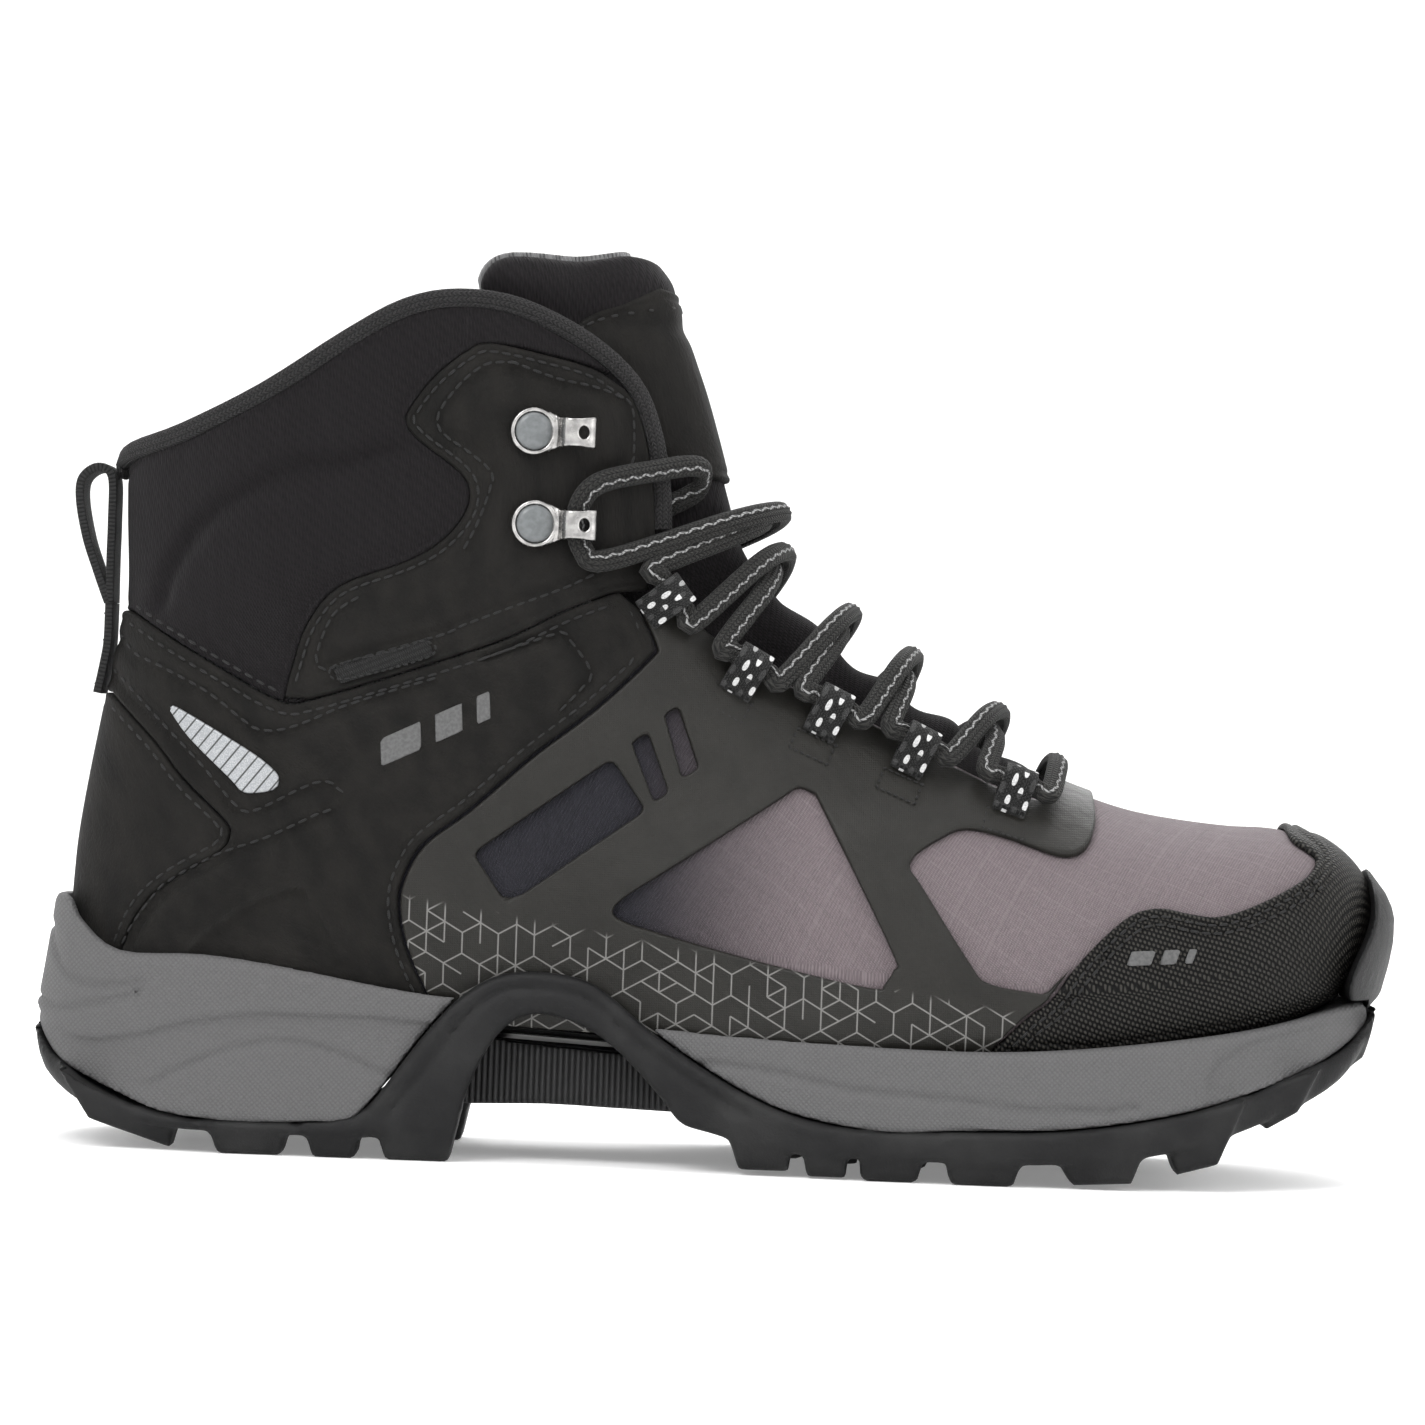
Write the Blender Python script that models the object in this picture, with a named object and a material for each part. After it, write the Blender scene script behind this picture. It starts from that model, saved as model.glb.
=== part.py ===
"""A right hiking boot, laced, as an assembly of its sewn, moulded and riveted pieces.

Run with: blender --background --python part.py

Frame: +X towards the toe, +Z up, -Y the outer (lateral) side of a right boot. The boot stands on Z = 0 and
the origin is under the middle of its box. Outlines are given in millimetres as (x, z) in the side view.

The upper follows one form, the last: a tube from the collar (station 0) round the heel and instep to the
toe. Each station is a line across the side view from the throat to the heel or floor, with a superellipse
as its cross-section. Every layer of the upper is that form moved in or out by an offset, cut to an outline.
"""

import math

import bmesh
import bpy
import numpy as np
from mathutils import Matrix, Vector

MM = 0.001
GAP = 0.35  # kept between pieces that touch
SKIN = -1.2  # from the last's outlines, which bound the finished upper, to the level that layers count from

# ---- layers of the upper, as offsets from the last in mm, inside to outside -------------------------------
LINING = (-5.4, -4.4)
STIFFENER = (-4.05, -2.9)
TEXTILE = (-1.6, -0.45)
OVERLAY = (0.0, 1.3)
CUFF = (-1.5, 1.0)
COLLAR_FOAM = (-4.05, -1.85)
BOARD = (-3.9, -1.9)
FILLER = (0.0, 1.75)
SOLE_CLEARANCE = 2.1
TRIM = (1.65, 2.25)
BUMPER = (1.7, 4.6)

# ---- the last: throat end, heel or floor end, half widths near each, middle, exponents -------------------
LAST = [
    ((-20.0, 206.0), (-138.5, 199.5), 38.0, 39.0, 0.50, 2.3, 2.2),
    ((-12.5, 184.0), (-137.5, 168.0), 36.5, 38.0, 0.50, 2.3, 2.2),
    ((-4.0, 161.0), (-137.0, 142.0), 35.0, 36.5, 0.50, 2.2, 2.2),
    ((3.0, 140.5), (-136.5, 122.0), 34.5, 35.0, 0.50, 2.1, 2.2),
    ((14.5, 128.5), (-139.5, 103.0), 34.0, 34.5, 0.50, 2.0, 2.2),
    ((29.0, 117.0), (-143.0, 82.0), 35.5, 34.0, 0.50, 2.0, 2.3),
    ((43.0, 108.5), (-145.0, 62.0), 38.0, 33.5, 0.50, 2.0, 2.5),
    ((55.0, 101.5), (-144.5, 44.0), 41.0, 33.0, 0.52, 2.0, 3.0),
    ((65.5, 95.0), (-136.0, 30.5), 44.5, 33.5, 0.54, 2.0, 4.0),
    ((75.5, 90.0), (-112.0, 27.5), 47.5, 34.0, 0.56, 2.0, 5.0),
    ((85.0, 86.5), (-75.0, 26.5), 49.0, 35.0, 0.60, 2.0, 5.0),
    ((94.0, 84.0), (-22.0, 23.5), 49.0, 39.5, 0.62, 2.0, 5.0),
    ((104.0, 82.5), (33.0, 21.5), 48.5, 47.0, 0.64, 2.1, 4.5),
    ((115.5, 81.5), (84.0, 24.5), 46.5, 48.0, 0.64, 2.2, 4.0),
    ((127.5, 81.0), (117.0, 30.5), 41.0, 42.5, 0.62, 2.3, 3.4),
    ((138.5, 77.5), (137.0, 39.5), 31.0, 31.5, 0.58, 2.3, 2.8),
    ((146.5, 70.5), (147.0, 49.0), 17.5, 17.5, 0.54, 2.2, 2.4),
    ((151.0, 60.0), (151.0, 60.0), 0.0, 0.0, 0.50, 2.0, 2.0),
]
TOE_SHIFT = 7.0  # the toe leans to the inner side of the foot
TOE_SHIFT_FROM, TOE_SHIFT_OVER = 20.0, 130.0
RINGS, HALF_RING = 20, 12
TOE_MARGIN = 1.06  # how many stations before the tip the last ring of a sheet is
TOE_PULL = 0.11  # how many stations earlier it is for each mm that the sheet lies inside the last
POLE = 0.03  # near the throat's and the floor's middle lines, in radians, a normal has no y

# ---- the sole's plan, outer (lateral) and inner (medial) edges from heel to toe ---------------------------
PLAN_OUTER = [(-150, 0), (-146.5, -16), (-134, -30), (-112, -36.5), (-80, -38), (-40, -38.5), (0, -42.5),
              (35, -48), (70, -50), (100, -46.5), (125, -36), (142.5, -20), (150.5, 6)]
PLAN_INNER = [(-150, 0), (-146.5, 16), (-134, 30), (-112, 36), (-80, 36.5), (-40, 37), (0, 42),
              (35, 48.5), (70, 53), (100, 53), (125, 46.5), (142.5, 31), (150.5, 6)]
PLAN_STEPS = 3
CORE_INSET = 6.0

# ---- side view outlines of the sole unit -----------------------------------------------------------------
MIDSOLE_TOP = [(-160, 55), (-146, 55), (-142, 50), (-132.5, 43.5), (-113.5, 43.5), (-94, 41.5), (-64, 37),
               (-45, 36.5), (-16.5, 32), (20, 30), (54.5, 29), (77, 30), (99.5, 32.5), (122, 36),
               (144.5, 41.5), (147, 41.5), (160, 43)]
OUTSOLE_TOP = [(-160, 29), (-153.5, 27), (-147.5, 20), (-138.5, 14), (-127, 9.5), (-108.5, 7), (-86, 7.5),
               (-77, 9.5), (-64, 27), (-55, 37), (-46, 42), (-35, 42.5), (-25.5, 40), (-14, 31),
               (-2.5, 23.5), (9.5, 17), (21, 13), (39, 10.5), (55, 11.5), (77.5, 12.5), (100, 16),
               (118, 21), (136, 28.5), (145, 34.5), (149, 39.5), (160, 45)]
OUTSOLE_UNDER = [(160, 43), (152.5, 37), (149.5, 31.5), (141, 24.5), (128.5, 18), (112, 11.5), (94, 7), (72, 5),
                 (45, 4.8), (17, 5.4), (0, 9), (-15.5, 12), (-36, 13), (-54, 11.5), (-60, 6.5), (-75, 4.8),
                 (-100, 4.8), (-122, 5.4), (-138, 9), (-149, 16), (-154, 26), (-160, 27)]
ARCH_WINDOW = [(-54.5, 12), (-50, 24), (-42.5, 32.5), (-32, 32.5), (-20.5, 26), (-7, 11.5), (-7, 4), (-54.5, 4)]
ARCH_SPACE = [(-64, 15), (-54.5, 12), (-54.5, 3), (-7, 3), (-7, 12), (8, 15.5), (8, 80), (-64, 80)]
ARCH_CORE = [(-63.6, 15.5), (-54.2, 12.4), (-36, 13), (-7.4, 12.4), (7.6, 16), (7.6, 80), (-63.6, 80)]
TOE_BUMPER = [(149, 72), (160, 70), (160, 42), (148, 40.5), (143, 43.5), (144, 49), (147, 57), (148, 64)]
# each lug: side-view quad, as (root rear, root front, tip front, tip rear)
HEEL_LUGS = [((-146, 16), (-116.5, 6.5), (-119, 0.6), (-137, 6.4)),
             ((-112, 6.5), (-91.5, 6.5), (-94, 0), (-108, 0)),
             ((-90, 6.5), (-76, 6.5), (-77.5, 0), (-87, 0)),
             ((-74, 6.5), (-54.5, 8), (-57, 0), (-71, 0))]
FORE_LUGS = [((3, 9), (19, 7), (18, 1.2), (7, 1.2)),
             ((20, 7), (31.5, 7), (30.5, 0.4), (22, 0.4)),
             ((33, 7), (49, 7), (46, 0), (34, 0)),
             ((51, 7), (70.5, 7), (67, 0), (53.5, 0)),
             ((73.5, 7), (97, 9.5), (93, 1.6), (80, 0.8)),
             ((99, 10), (118, 17), (112, 6.2), (103, 3.6)),
             ((121, 18), (136, 26), (130, 17.8), (123, 13.6)),
             ((138.5, 27), (149, 36), (146.5, 29.5), (141.5, 25.6))]
LUG_ROOT = 4.0  # how far a lug runs into the sole
LUG_TAPER = 1.6  # how much narrower its tip is on each side
HEEL_LUG_LEAN, FORE_LUG_LEAN = -2.5, 3.5  # how far the middle row of lugs is set along x
OUTER_LUGS_GROW, END_LUGS_GROW, END_LUGS_FROM = 4.0, 1.0, 135.0
SIDE_LUG_WIDTH, MIDDLE_LUG_WIDTH = 17.0, 20.0

# ---- side view outlines of the upper's panels ------------------------------------------------------------
FAR = 170.0
FLOOR = [(-FAR, 33), (-142, 33), (-112, 32.5), (-75, 31.5), (-22, 28.5), (33, 27), (84, 29.5),
         (117, 36), (140, 46), (FAR, 50)]
COLLAR = [(-141, 149), (-136, 152), (-132, 154.5), (-117.5, 159.5), (-98.5, 170), (-81, 182), (-70, 187.5),
          (-58.5, 189), (-45, 186.5), (-31, 179), (-22.5, 170.5), (-19, 160.5), (-17, 149), (-16.5, 139)]
THROAT = [(-16.5, 139), (-15, 131), (-8.5, 123), (1, 115.5), (10.5, 110), (22, 105), (31, 101.5),
          (41.5, 96.5), (52, 91.5), (63.5, 86.5), (73, 84.5), (77, 88), (78, 96)]
STRAP_TOP = [(-138, 119), (-134.5, 119), (-124, 113), (-110, 105.5), (-98.5, 100), (-91.5, 100.5),
             (-70.5, 107.5), (-50, 115), (-36.5, 122), (-26, 126.5)]
STRAP_FRONT = [(-19.5, 123.5), (-16, 116), (-17, 113), (-28.5, 101.5), (-42.5, 90), (-55.5, 78), (-65, 70.5),
               (-69, 64), (-70.5, 57), (-68.5, 47), (-63.5, 36)]
HEEL_PATCH_EDGE = [(-138.5, 101), (-127, 90.5), (-119.5, 82), (-109.5, 73), (-108.5, 70), (-110.5, 66.5),
                   (-121, 60), (-128, 53.5), (-132, 44.5), (-134, 34)]
HOOK_PANEL_REAR = [(-97.5, 101), (-96, 108), (-93, 117.5), (-86, 126), (-71.5, 132), (-63.5, 137),
                   (-58.5, 143.5), (-58, 149), (-61, 153), (-69.5, 159), (-72.5, 163), (-71, 167),
                   (-66, 173.5), (-59.5, 179), (-54.5, 181), (-42, 179), (-31.5, 176.5), (-24.5, 172.5)]
TOE_CAP_EDGE = [(61, 27.5), (63.5, 30.5), (69, 36.5), (74.5, 41), (78.5, 47), (83, 52.5), (88.5, 58),
                (93, 61), (98.5, 62), (104.5, 61), (111, 60.5), (119, 63), (128, 67.5), (133, 71),
                (134.5, 74), (132, 76), (128.5, 77.5), (125.5, 81), (124, 90)]
FILM_FRONT = [(73, 42), (60.5, 44), (56, 48.5), (45, 65), (42.5, 68.5), (43.5, 71.5), (49, 75.5), (55, 78),
              (64, 76.5), (75.5, 73), (81, 74), (84, 79), (84.5, 84.5), (85, 96)]
WINDOW = [(-23.5, 56), (-17.5, 61.5), (13.5, 83), (17, 85.5), (20.5, 84.5), (23, 81), (39, 50), (39.5, 46.5),
          (37.5, 43), (34.5, 42), (10.5, 46.5), (-14.5, 52.5), (-21.5, 54.5)]
SLOT = [(-53.5, 68), (-51.5, 69.5), (-25, 89), (-22.5, 88.5), (-18, 81), (-18.5, 77.5), (-44.5, 59),
        (-47, 58.5), (-52.5, 66)]
BARS = [[(-20, 94), (-16.5, 96.5), (-11.5, 83.5), (-14.5, 81)],
        [(-13, 100.5), (-10, 102.5), (-5, 89), (-8.5, 86.5)]]
REFLECTOR = [(-123.5, 97.5), (-122, 98), (-106, 89.5), (-100, 85.5), (-98, 83), (-99, 80.5), (-104, 79.5),
             (-106.5, 80), (-109, 82.5), (-118.5, 91), (-123, 96.5)]
LABEL = [(-87, 108), (-72, 113), (-66, 115.5), (-64.5, 111.5), (-85, 104.5)]
TONGUE_TOP = [(-57, 186), (-57, 193), (-56, 197), (-52, 200), (-45.5, 201), (-36, 200), (-29.5, 202),
              (-24, 203.5), (-17, 203)]
TONGUE_REAR = [(86, 78), (70, 77.5), (55, 80), (38, 86), (20, 94), (2, 102), (-12, 110), (-24, 120),
               (-33, 133), (-40, 150), (-47, 166), (-57, 186)]
TONGUE_HINGE = (-10.0, 150.0)
TONGUE_SINK = 3.2  # how much lower the tongue lies under the laces than at its top
TONGUE_TURN, TONGUE_END = 72, 10.4  # how far the tongue runs round the last, in degrees, and its last station
THROAT_TURNS = ([0, 3, 5, 6.3, 8, 9, 10], [42, 42, 37, 32, 27, 25, 25])  # stations, and degrees there
TONGUE_PATCH = [(-36, 183.5), (-34, 188), (-25.5, 192), (-10, 194.5), (10, 156.5), (-7, 154.5), (-14, 156.5),
                (-19, 160), (-23, 171.5), (-30.5, 179)]
VAMP_SEAM = 40.0  # the x of the seam between vamp and quarters

# ---- lacing ------------------------------------------------------------------------------------------------
LACE_DIAMETER = 4.4
LOOPS = [(65.0, 84.5), (42.5, 93.5), (23.0, 101.5), (4.5, 110.0), (-14.0, 125.5)]  # toe end first
LOOP_HEADINGS = [(-1, 0.28), (-1, 0.40), (-1, 0.42), (-1, 0.52), (-0.62, 0.78)]
LOOP_LENGTH, LOOP_WALL = 9.0, 0.9
TOP_SLACK = 4.5  # how much higher the last crossing stands
LACE_SEAT = 4.8  # height of the lace's middle above the last, inside a loop
HOOKS = [(-43.5, 141.5), (-44.5, 162.0)]
RIVET_RADIUS, RIVET_HEIGHT = 4.1, 1.1
# the lace's end, from the hook into the gap between tongue and collar, as (x, z, height above the last)
LACE_TUCK = [(-20.5, 153.8, 4.6), (-10.2, 155.4, 5.2), (-7.4, 151.0, 0.9), (-12.9, 146.8, -3.3),
             (-17.6, 143.6, -4.7), (-22.5, 137.5, -4.5), (-24.5, 131.0, -4.5)]

BINDING_RADIUS, BINDING_LIFT = 1.3, 2.3
PULL_LOOP_WIDTH, WEBBING = 15.0, 1.5
SHANK_WIDTH = 18.0
PULL_HINGE = (-140.4, 121.0)
FOOTBED_HINGE = (134.0, 42.0)
TONGUE_AXIS = (-1.6, 150.0)

COLOURS = {
    "rubber": ((0.018, 0.018, 0.018), 0.65, 0.0),
    "eva_grey": ((0.16, 0.16, 0.165), 0.7, 0.0),
    "eva_black": ((0.02, 0.02, 0.02), 0.55, 0.0),
    "leather": ((0.012, 0.012, 0.011), 0.6, 0.0),
    "film": ((0.035, 0.034, 0.03), 0.45, 0.0),
    "ripstop": ((0.19, 0.16, 0.165), 0.8, 0.0),
    "softshell": ((0.013, 0.011, 0.013), 0.9, 0.0),
    "toe_tpu": ((0.014, 0.014, 0.013), 0.6, 0.0),
    "lining": ((0.22, 0.22, 0.22), 0.95, 0.0),
    "foam": ((0.4, 0.38, 0.3), 0.95, 0.0),
    "board": ((0.5, 0.42, 0.3), 0.9, 0.0),
    "steel": ((0.45, 0.43, 0.42), 0.3, 1.0),
    "enamel": ((0.25, 0.27, 0.28), 0.4, 0.0),
    "webbing": ((0.012, 0.012, 0.012), 0.9, 0.0),
    "lace": ((0.02, 0.02, 0.018), 0.9, 0.0),
    "reflective": ((0.55, 0.56, 0.57), 0.3, 0.2),
}


# ---- the scene ---------------------------------------------------------------------------------------------
def clear_scene():
    for obj in list(bpy.data.objects):
        bpy.data.objects.remove(obj)


def collection(name):
    made = bpy.data.collections.new(name)
    bpy.context.scene.collection.children.link(made)
    return made


clear_scene()
PARTS = collection("hiking_boot")
CUTTERS = collection("cutters")
CUTTERS.hide_render = True


def material(name):
    found = bpy.data.materials.get(name)
    if found:
        return found
    colour, roughness, metallic = COLOURS[name]
    made = bpy.data.materials.new(name)
    made.use_nodes = True
    shader = made.node_tree.nodes["Principled BSDF"]
    shader.inputs["Base Color"].default_value = (*colour, 1)
    shader.inputs["Roughness"].default_value = roughness
    shader.inputs["Metallic"].default_value = metallic
    return made


def add_mesh(name, points, faces, stuff=None):
    """A mesh object from points in mm. Without a material it is a cutter."""
    mesh = bpy.data.meshes.new(name)
    mesh.from_pydata([tuple(np.asarray(p, float) * MM) for p in points], [], faces)
    build = bmesh.new()
    build.from_mesh(mesh)
    bmesh.ops.remove_doubles(build, verts=build.verts, dist=1e-6)
    bmesh.ops.dissolve_degenerate(build, edges=build.edges, dist=1e-7)
    bmesh.ops.recalc_face_normals(build, faces=build.faces)
    build.to_mesh(mesh)
    build.free()
    obj = bpy.data.objects.new(name, mesh)
    return place(obj, stuff)


def place(obj, stuff=None):
    if stuff:
        PARTS.objects.link(obj)
        obj.data.materials.append(material(stuff))
    else:
        CUTTERS.objects.link(obj)
        obj.hide_render = True
        obj.display_type = "WIRE"
    return obj


def cut(obj, cutter, operation="DIFFERENCE"):
    modifier = obj.modifiers.new(operation.lower(), "BOOLEAN")
    modifier.object = cutter
    modifier.operation = operation
    modifier.solver = "EXACT"
    return obj


def settle(obj):
    """The object with its modifiers applied, so that it can be cut again or be a cutter."""
    graph = bpy.context.evaluated_depsgraph_get()
    mesh = bpy.data.meshes.new_from_object(obj.evaluated_get(graph))
    obj.modifiers.clear()
    obj.data = mesh
    return obj


def add_built(name, build, stuff=None):
    """A mesh object from a bmesh, in mm."""
    bmesh.ops.scale(build, vec=(MM, MM, MM), verts=build.verts)
    bmesh.ops.recalc_face_normals(build, faces=build.faces)
    mesh = bpy.data.meshes.new(name)
    build.to_mesh(mesh)
    build.free()
    return place(bpy.data.objects.new(name, mesh), stuff)


def box(name, low, high):
    """A cutter: a box between two corners."""
    build = bmesh.new()
    bmesh.ops.create_cube(build, size=1)
    bmesh.ops.scale(build, vec=[b - a for a, b in zip(low, high)], verts=build.verts)
    bmesh.ops.translate(build, vec=[(a + b) / 2 for a, b in zip(low, high)], verts=build.verts)
    return add_built(name, build)


def hull(name, points):
    """A cutter: the convex solid round the points."""
    build = bmesh.new()
    verts = [build.verts.new(p) for p in points]
    bmesh.ops.convex_hull(build, input=verts)
    return add_built(name, build)


def hang(names, joint, pivot):
    """Parents the pieces of a moving body to an empty on its joint's axis."""
    axis = bpy.data.objects.new(joint, None)
    axis.location = Vector(pivot) * MM
    PARTS.objects.link(axis)
    for name in names:
        piece = bpy.data.objects[name]
        piece.parent = axis
        piece.matrix_parent_inverse = Matrix.Translation(-axis.location)


# ---- curves and outlines -----------------------------------------------------------------------------------
def catmull(a, b, c, d, t):
    """The place at t, from 0 to 1, on a Catmull-Rom curve between b and c."""
    square = 2 * a - 5 * b + 4 * c - d
    cube = 3 * b - a - 3 * c + d
    return 0.5 * (2 * b + (c - a) * t + square * t**2 + cube * t**3)


def with_ends(points):
    """The points with one more at each end, so that a Catmull-Rom curve runs through all of them."""
    return np.vstack([2 * points[0] - points[1], points, 2 * points[-1] - points[-2]])


def smooth(points, steps):
    """A Catmull-Rom curve through the points, with that many steps between two of them."""
    p = with_ends(np.asarray(points, float))
    t = np.linspace(0, 1, steps, endpoint=False)[:, None]
    out = [catmull(a, b, c, d, t) for a, b, c, d in zip(p[:-3], p[1:-2], p[2:-1], p[3:])]
    return np.vstack(out + [p[-2:-1]])


def clean(outline):
    """The outline without points that nearly coincide."""
    kept = []
    for p in outline:
        if not kept or math.dist(kept[-1], p) > 0.3:
            kept.append((float(p[0]), float(p[1])))
    return kept[:-1] if math.dist(kept[0], kept[-1]) < 0.3 else kept


def grown(outline, by):
    """A closed outline moved outwards by that many mm, or inwards where it is negative."""
    p = np.asarray(clean(outline), float)
    before, after = np.roll(p, 1, 0), np.roll(p, -1, 0)
    area = float(np.sum(p[:, 0] * after[:, 1] - after[:, 0] * p[:, 1]))
    a, b = p - before, after - p
    a /= np.linalg.norm(a, axis=1)[:, None]
    b /= np.linalg.norm(b, axis=1)[:, None]
    na, nb = np.stack([a[:, 1], -a[:, 0]], 1), np.stack([b[:, 1], -b[:, 0]], 1)
    mid = na + nb
    mid /= np.maximum((mid * na).sum(1), 0.5)[:, None]
    return p + mid * by * math.copysign(1, area)


def prism(name, outline, low=-90.0, high=90.0):
    """A cutter: a side view outline extruded from y = low to y = high."""
    ring = clean(outline)
    n = len(ring)
    points = [(x, low, z) for x, z in ring] + [(x, high, z) for x, z in ring]
    faces = [tuple(range(n)), tuple(range(2 * n - 1, n - 1, -1))]
    faces += [(i, (i + 1) % n, n + (i + 1) % n, n + i) for i in range(n)]
    return add_mesh(name, points, faces)


# ---- the last ----------------------------------------------------------------------------------------------
def last_rows():
    return np.array([[*a, *b, *rest] for a, b, *rest in LAST], float)


def station(u):
    """The last's values at station u, a float or an array, on a Catmull-Rom curve through the rows."""
    rows = last_rows()
    p = with_ends(rows)
    u = np.clip(np.asarray(u, float), 0, len(rows) - 1)
    i = np.minimum(u.astype(int), len(rows) - 2)
    return catmull(p[i], p[i + 1], p[i + 2], p[i + 3], (u - i)[..., None])


def toe_end(offset):
    """The last station that a sheet moved inwards by offset can reach without folding."""
    return len(LAST) - TOE_MARGIN + TOE_PULL * min(offset, 0)


def toe_shift(x):
    t = np.clip((x - TOE_SHIFT_FROM) / TOE_SHIFT_OVER, 0, 1)
    return TOE_SHIFT * t * t * (3 - 2 * t)


def last_point(u, turn):
    """A point of the last. turn is 0 at the throat, pi at the heel or floor, negative on the inner side."""
    s = station(u)
    ax, az, bx, bz, front, rear, middle, top, low = [s[..., k] for k in range(9)]
    cosine, sine = np.cos(turn), np.abs(np.sin(turn))
    upper = cosine > 0
    power = np.where(upper, 2 / np.maximum(top, 1), 2 / np.maximum(low, 1))
    along = np.abs(cosine) ** power
    a = np.where(upper, middle * (1 - along), middle + (1 - middle) * along)
    blend = a * a * (3 - 2 * a)
    width = (front + (rear - front) * blend) * sine**power
    x, z = ax + (bx - ax) * a, az + (bz - az) * a
    y = toe_shift(x) - np.sign(turn) * np.maximum(width, 0)
    return np.stack([x, y, z], -1)


def last_normal(u, turn):
    """The outward normal of the last, by small steps."""
    step = 1e-3
    end = len(LAST) - 1.001
    u = np.clip(u, step, end)
    sign = np.where(np.asarray(turn) < 0, -1.0, 1.0)
    size = np.clip(np.abs(turn), POLE, math.pi - POLE)
    along = last_point(u + step, sign * size) - last_point(u - step, sign * size)
    round_it = last_point(u, sign * (size + step)) - last_point(u, sign * (size - step))
    normal = np.cross(along, round_it)
    at_pole = (np.abs(turn) < POLE) | (np.abs(turn) > math.pi - POLE)
    normal = np.where(at_pole[..., None], normal * [1, 0, 1], normal)
    normal /= np.maximum(np.linalg.norm(normal, axis=-1), 1e-9)[..., None]
    return normal * -sign[..., None]


def off_last(u, turn, height):
    return last_point(u, turn) + last_normal(u, turn) * (np.asarray(height) + SKIN)[..., None]


def locate(x, z):
    """(station, turn) of a side view point, by halving the range of stations."""
    low, high = 0.0, len(LAST) - 1.0
    for _ in range(40):
        middle = (low + high) / 2
        ax, az, bx, bz = station(middle)[:4]
        side = (bx - ax) * (z - az) - (bz - az) * (x - ax)
        low, high = (middle, high) if side > 0 else (low, middle)
    ax, az, bx, bz, _, _, mid, top, bottom = station(low)
    a = ((x - ax) * (bx - ax) + (z - az) * (bz - az)) / ((bx - ax) ** 2 + (bz - az) ** 2)
    a = min(max(a, 0.0), 1.0)
    if a < mid:
        return low, math.acos(((mid - a) / mid) ** (top / 2))
    return low, math.pi - math.acos(((a - mid) / (1 - mid)) ** (bottom / 2))


def on_last(x, z, side, height=0.0):
    """A point that many mm above the last. side is -1 outside of the foot, 1 inside of it."""
    u, turn = locate(x, z)
    return off_last(u, -side * turn, height)


def frame_on_last(x, z, side, heading, height=0.0):
    """A matrix in metres: Z out of the last, X along the side view heading, Y up. It may mirror."""
    u, turn = locate(x, z)
    out = Vector(last_normal(u, -side * turn))
    origin = Vector(on_last(x, z, side, height))
    ahead = Vector((heading[0], 0, heading[1]))
    ahead = (ahead - out * ahead.dot(out)).normalized()
    up = out.cross(ahead)
    if up.z < 0:
        up = -up
    columns = Matrix((ahead, up, out)).transposed().to_4x4()
    return Matrix.Translation(origin * MM) @ columns


def last_solid(name, offset, stuff=None):
    """The last moved out by offset, as a closed solid that is flat at the top."""
    turns = np.linspace(0, math.pi, HALF_RING + 1)
    turns = np.concatenate([turns, -turns[-2:0:-1]])
    grid = [off_last(np.full(len(turns), u), turns, offset) for u in np.linspace(0, toe_end(offset), RINGS)]
    n = len(turns)
    points = [p for ring in grid for p in ring]
    faces = []
    for r in range(len(grid) - 1):
        for i in range(n):
            a, b, c, d = r * n + i, r * n + (i + 1) % n, (r + 1) * n + (i + 1) % n, (r + 1) * n + i
            faces += [(a, b, c), (a, c, d)]
    tip = len(points)
    points.append(last_point(len(LAST) - 1.0, 0.0) + [offset + SKIN, 0, 0])
    faces += [(tip - n + i, tip - n + (i + 1) % n, tip) for i in range(n)]
    top = len(points)
    points.append(np.mean(grid[0], 0))
    faces += [((i + 1) % n, i, top) for i in range(n)]
    return add_mesh(name, points, faces, stuff)


def layer(name, stuff, span, outline, side=0, holes=()):
    """A sheet of the upper: the space between two offsets of the last, cut to a side view outline."""
    obj = last_solid(name, span[1], stuff)
    cut(obj, last_solid(name + "_inside", span[0]))
    low, high = {0: (-90, 90), -1: (-90, -GAP / 2), 1: (GAP / 2, 90)}[side]
    cut(obj, prism(name + "_outline", outline, low, high), "INTERSECT")
    for i, hole in enumerate(holes):
        cut(obj, prism(f"{name}_hole_{i}", hole))
    return settle(obj)


def largest(obj):
    """Keeps the largest connected body of a mesh, dropping slivers that a cut leaves."""
    build = bmesh.new()
    build.from_mesh(obj.data)
    left, bodies = set(build.verts), []
    while left:
        todo, found = [next(iter(left))], set()
        while todo:
            v = todo.pop()
            if v in found:
                continue
            found.add(v)
            todo += [e.other_vert(v) for e in v.link_edges]
        left -= found
        bodies.append(found)
    bodies.sort(key=len)
    for body in bodies[:-1]:
        bmesh.ops.delete(build, geom=list(body), context="VERTS")
    build.to_mesh(obj.data)
    build.free()
    return obj


# ---- sole --------------------------------------------------------------------------------------------------
def plan(grow):
    """Points round the sole, from heel to toe on the outer side and back on the inner, moved out by grow."""
    ring = PLAN_OUTER + PLAN_INNER[-2:0:-1]
    loop = smooth([*ring[-2:], *ring, *ring[:3]], PLAN_STEPS)[2 * PLAN_STEPS:-2 * PLAN_STEPS - 1]
    ahead = np.roll(loop, -1, 0) - np.roll(loop, 1, 0)
    out = np.stack([ahead[:, 1], -ahead[:, 0]], 1)
    out /= np.linalg.norm(out, axis=1)[:, None]
    return loop + out * grow


def heights(outline, x):
    line = np.asarray(sorted(outline), float)
    return np.interp(x, line[:, 0], line[:, 1])


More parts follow.
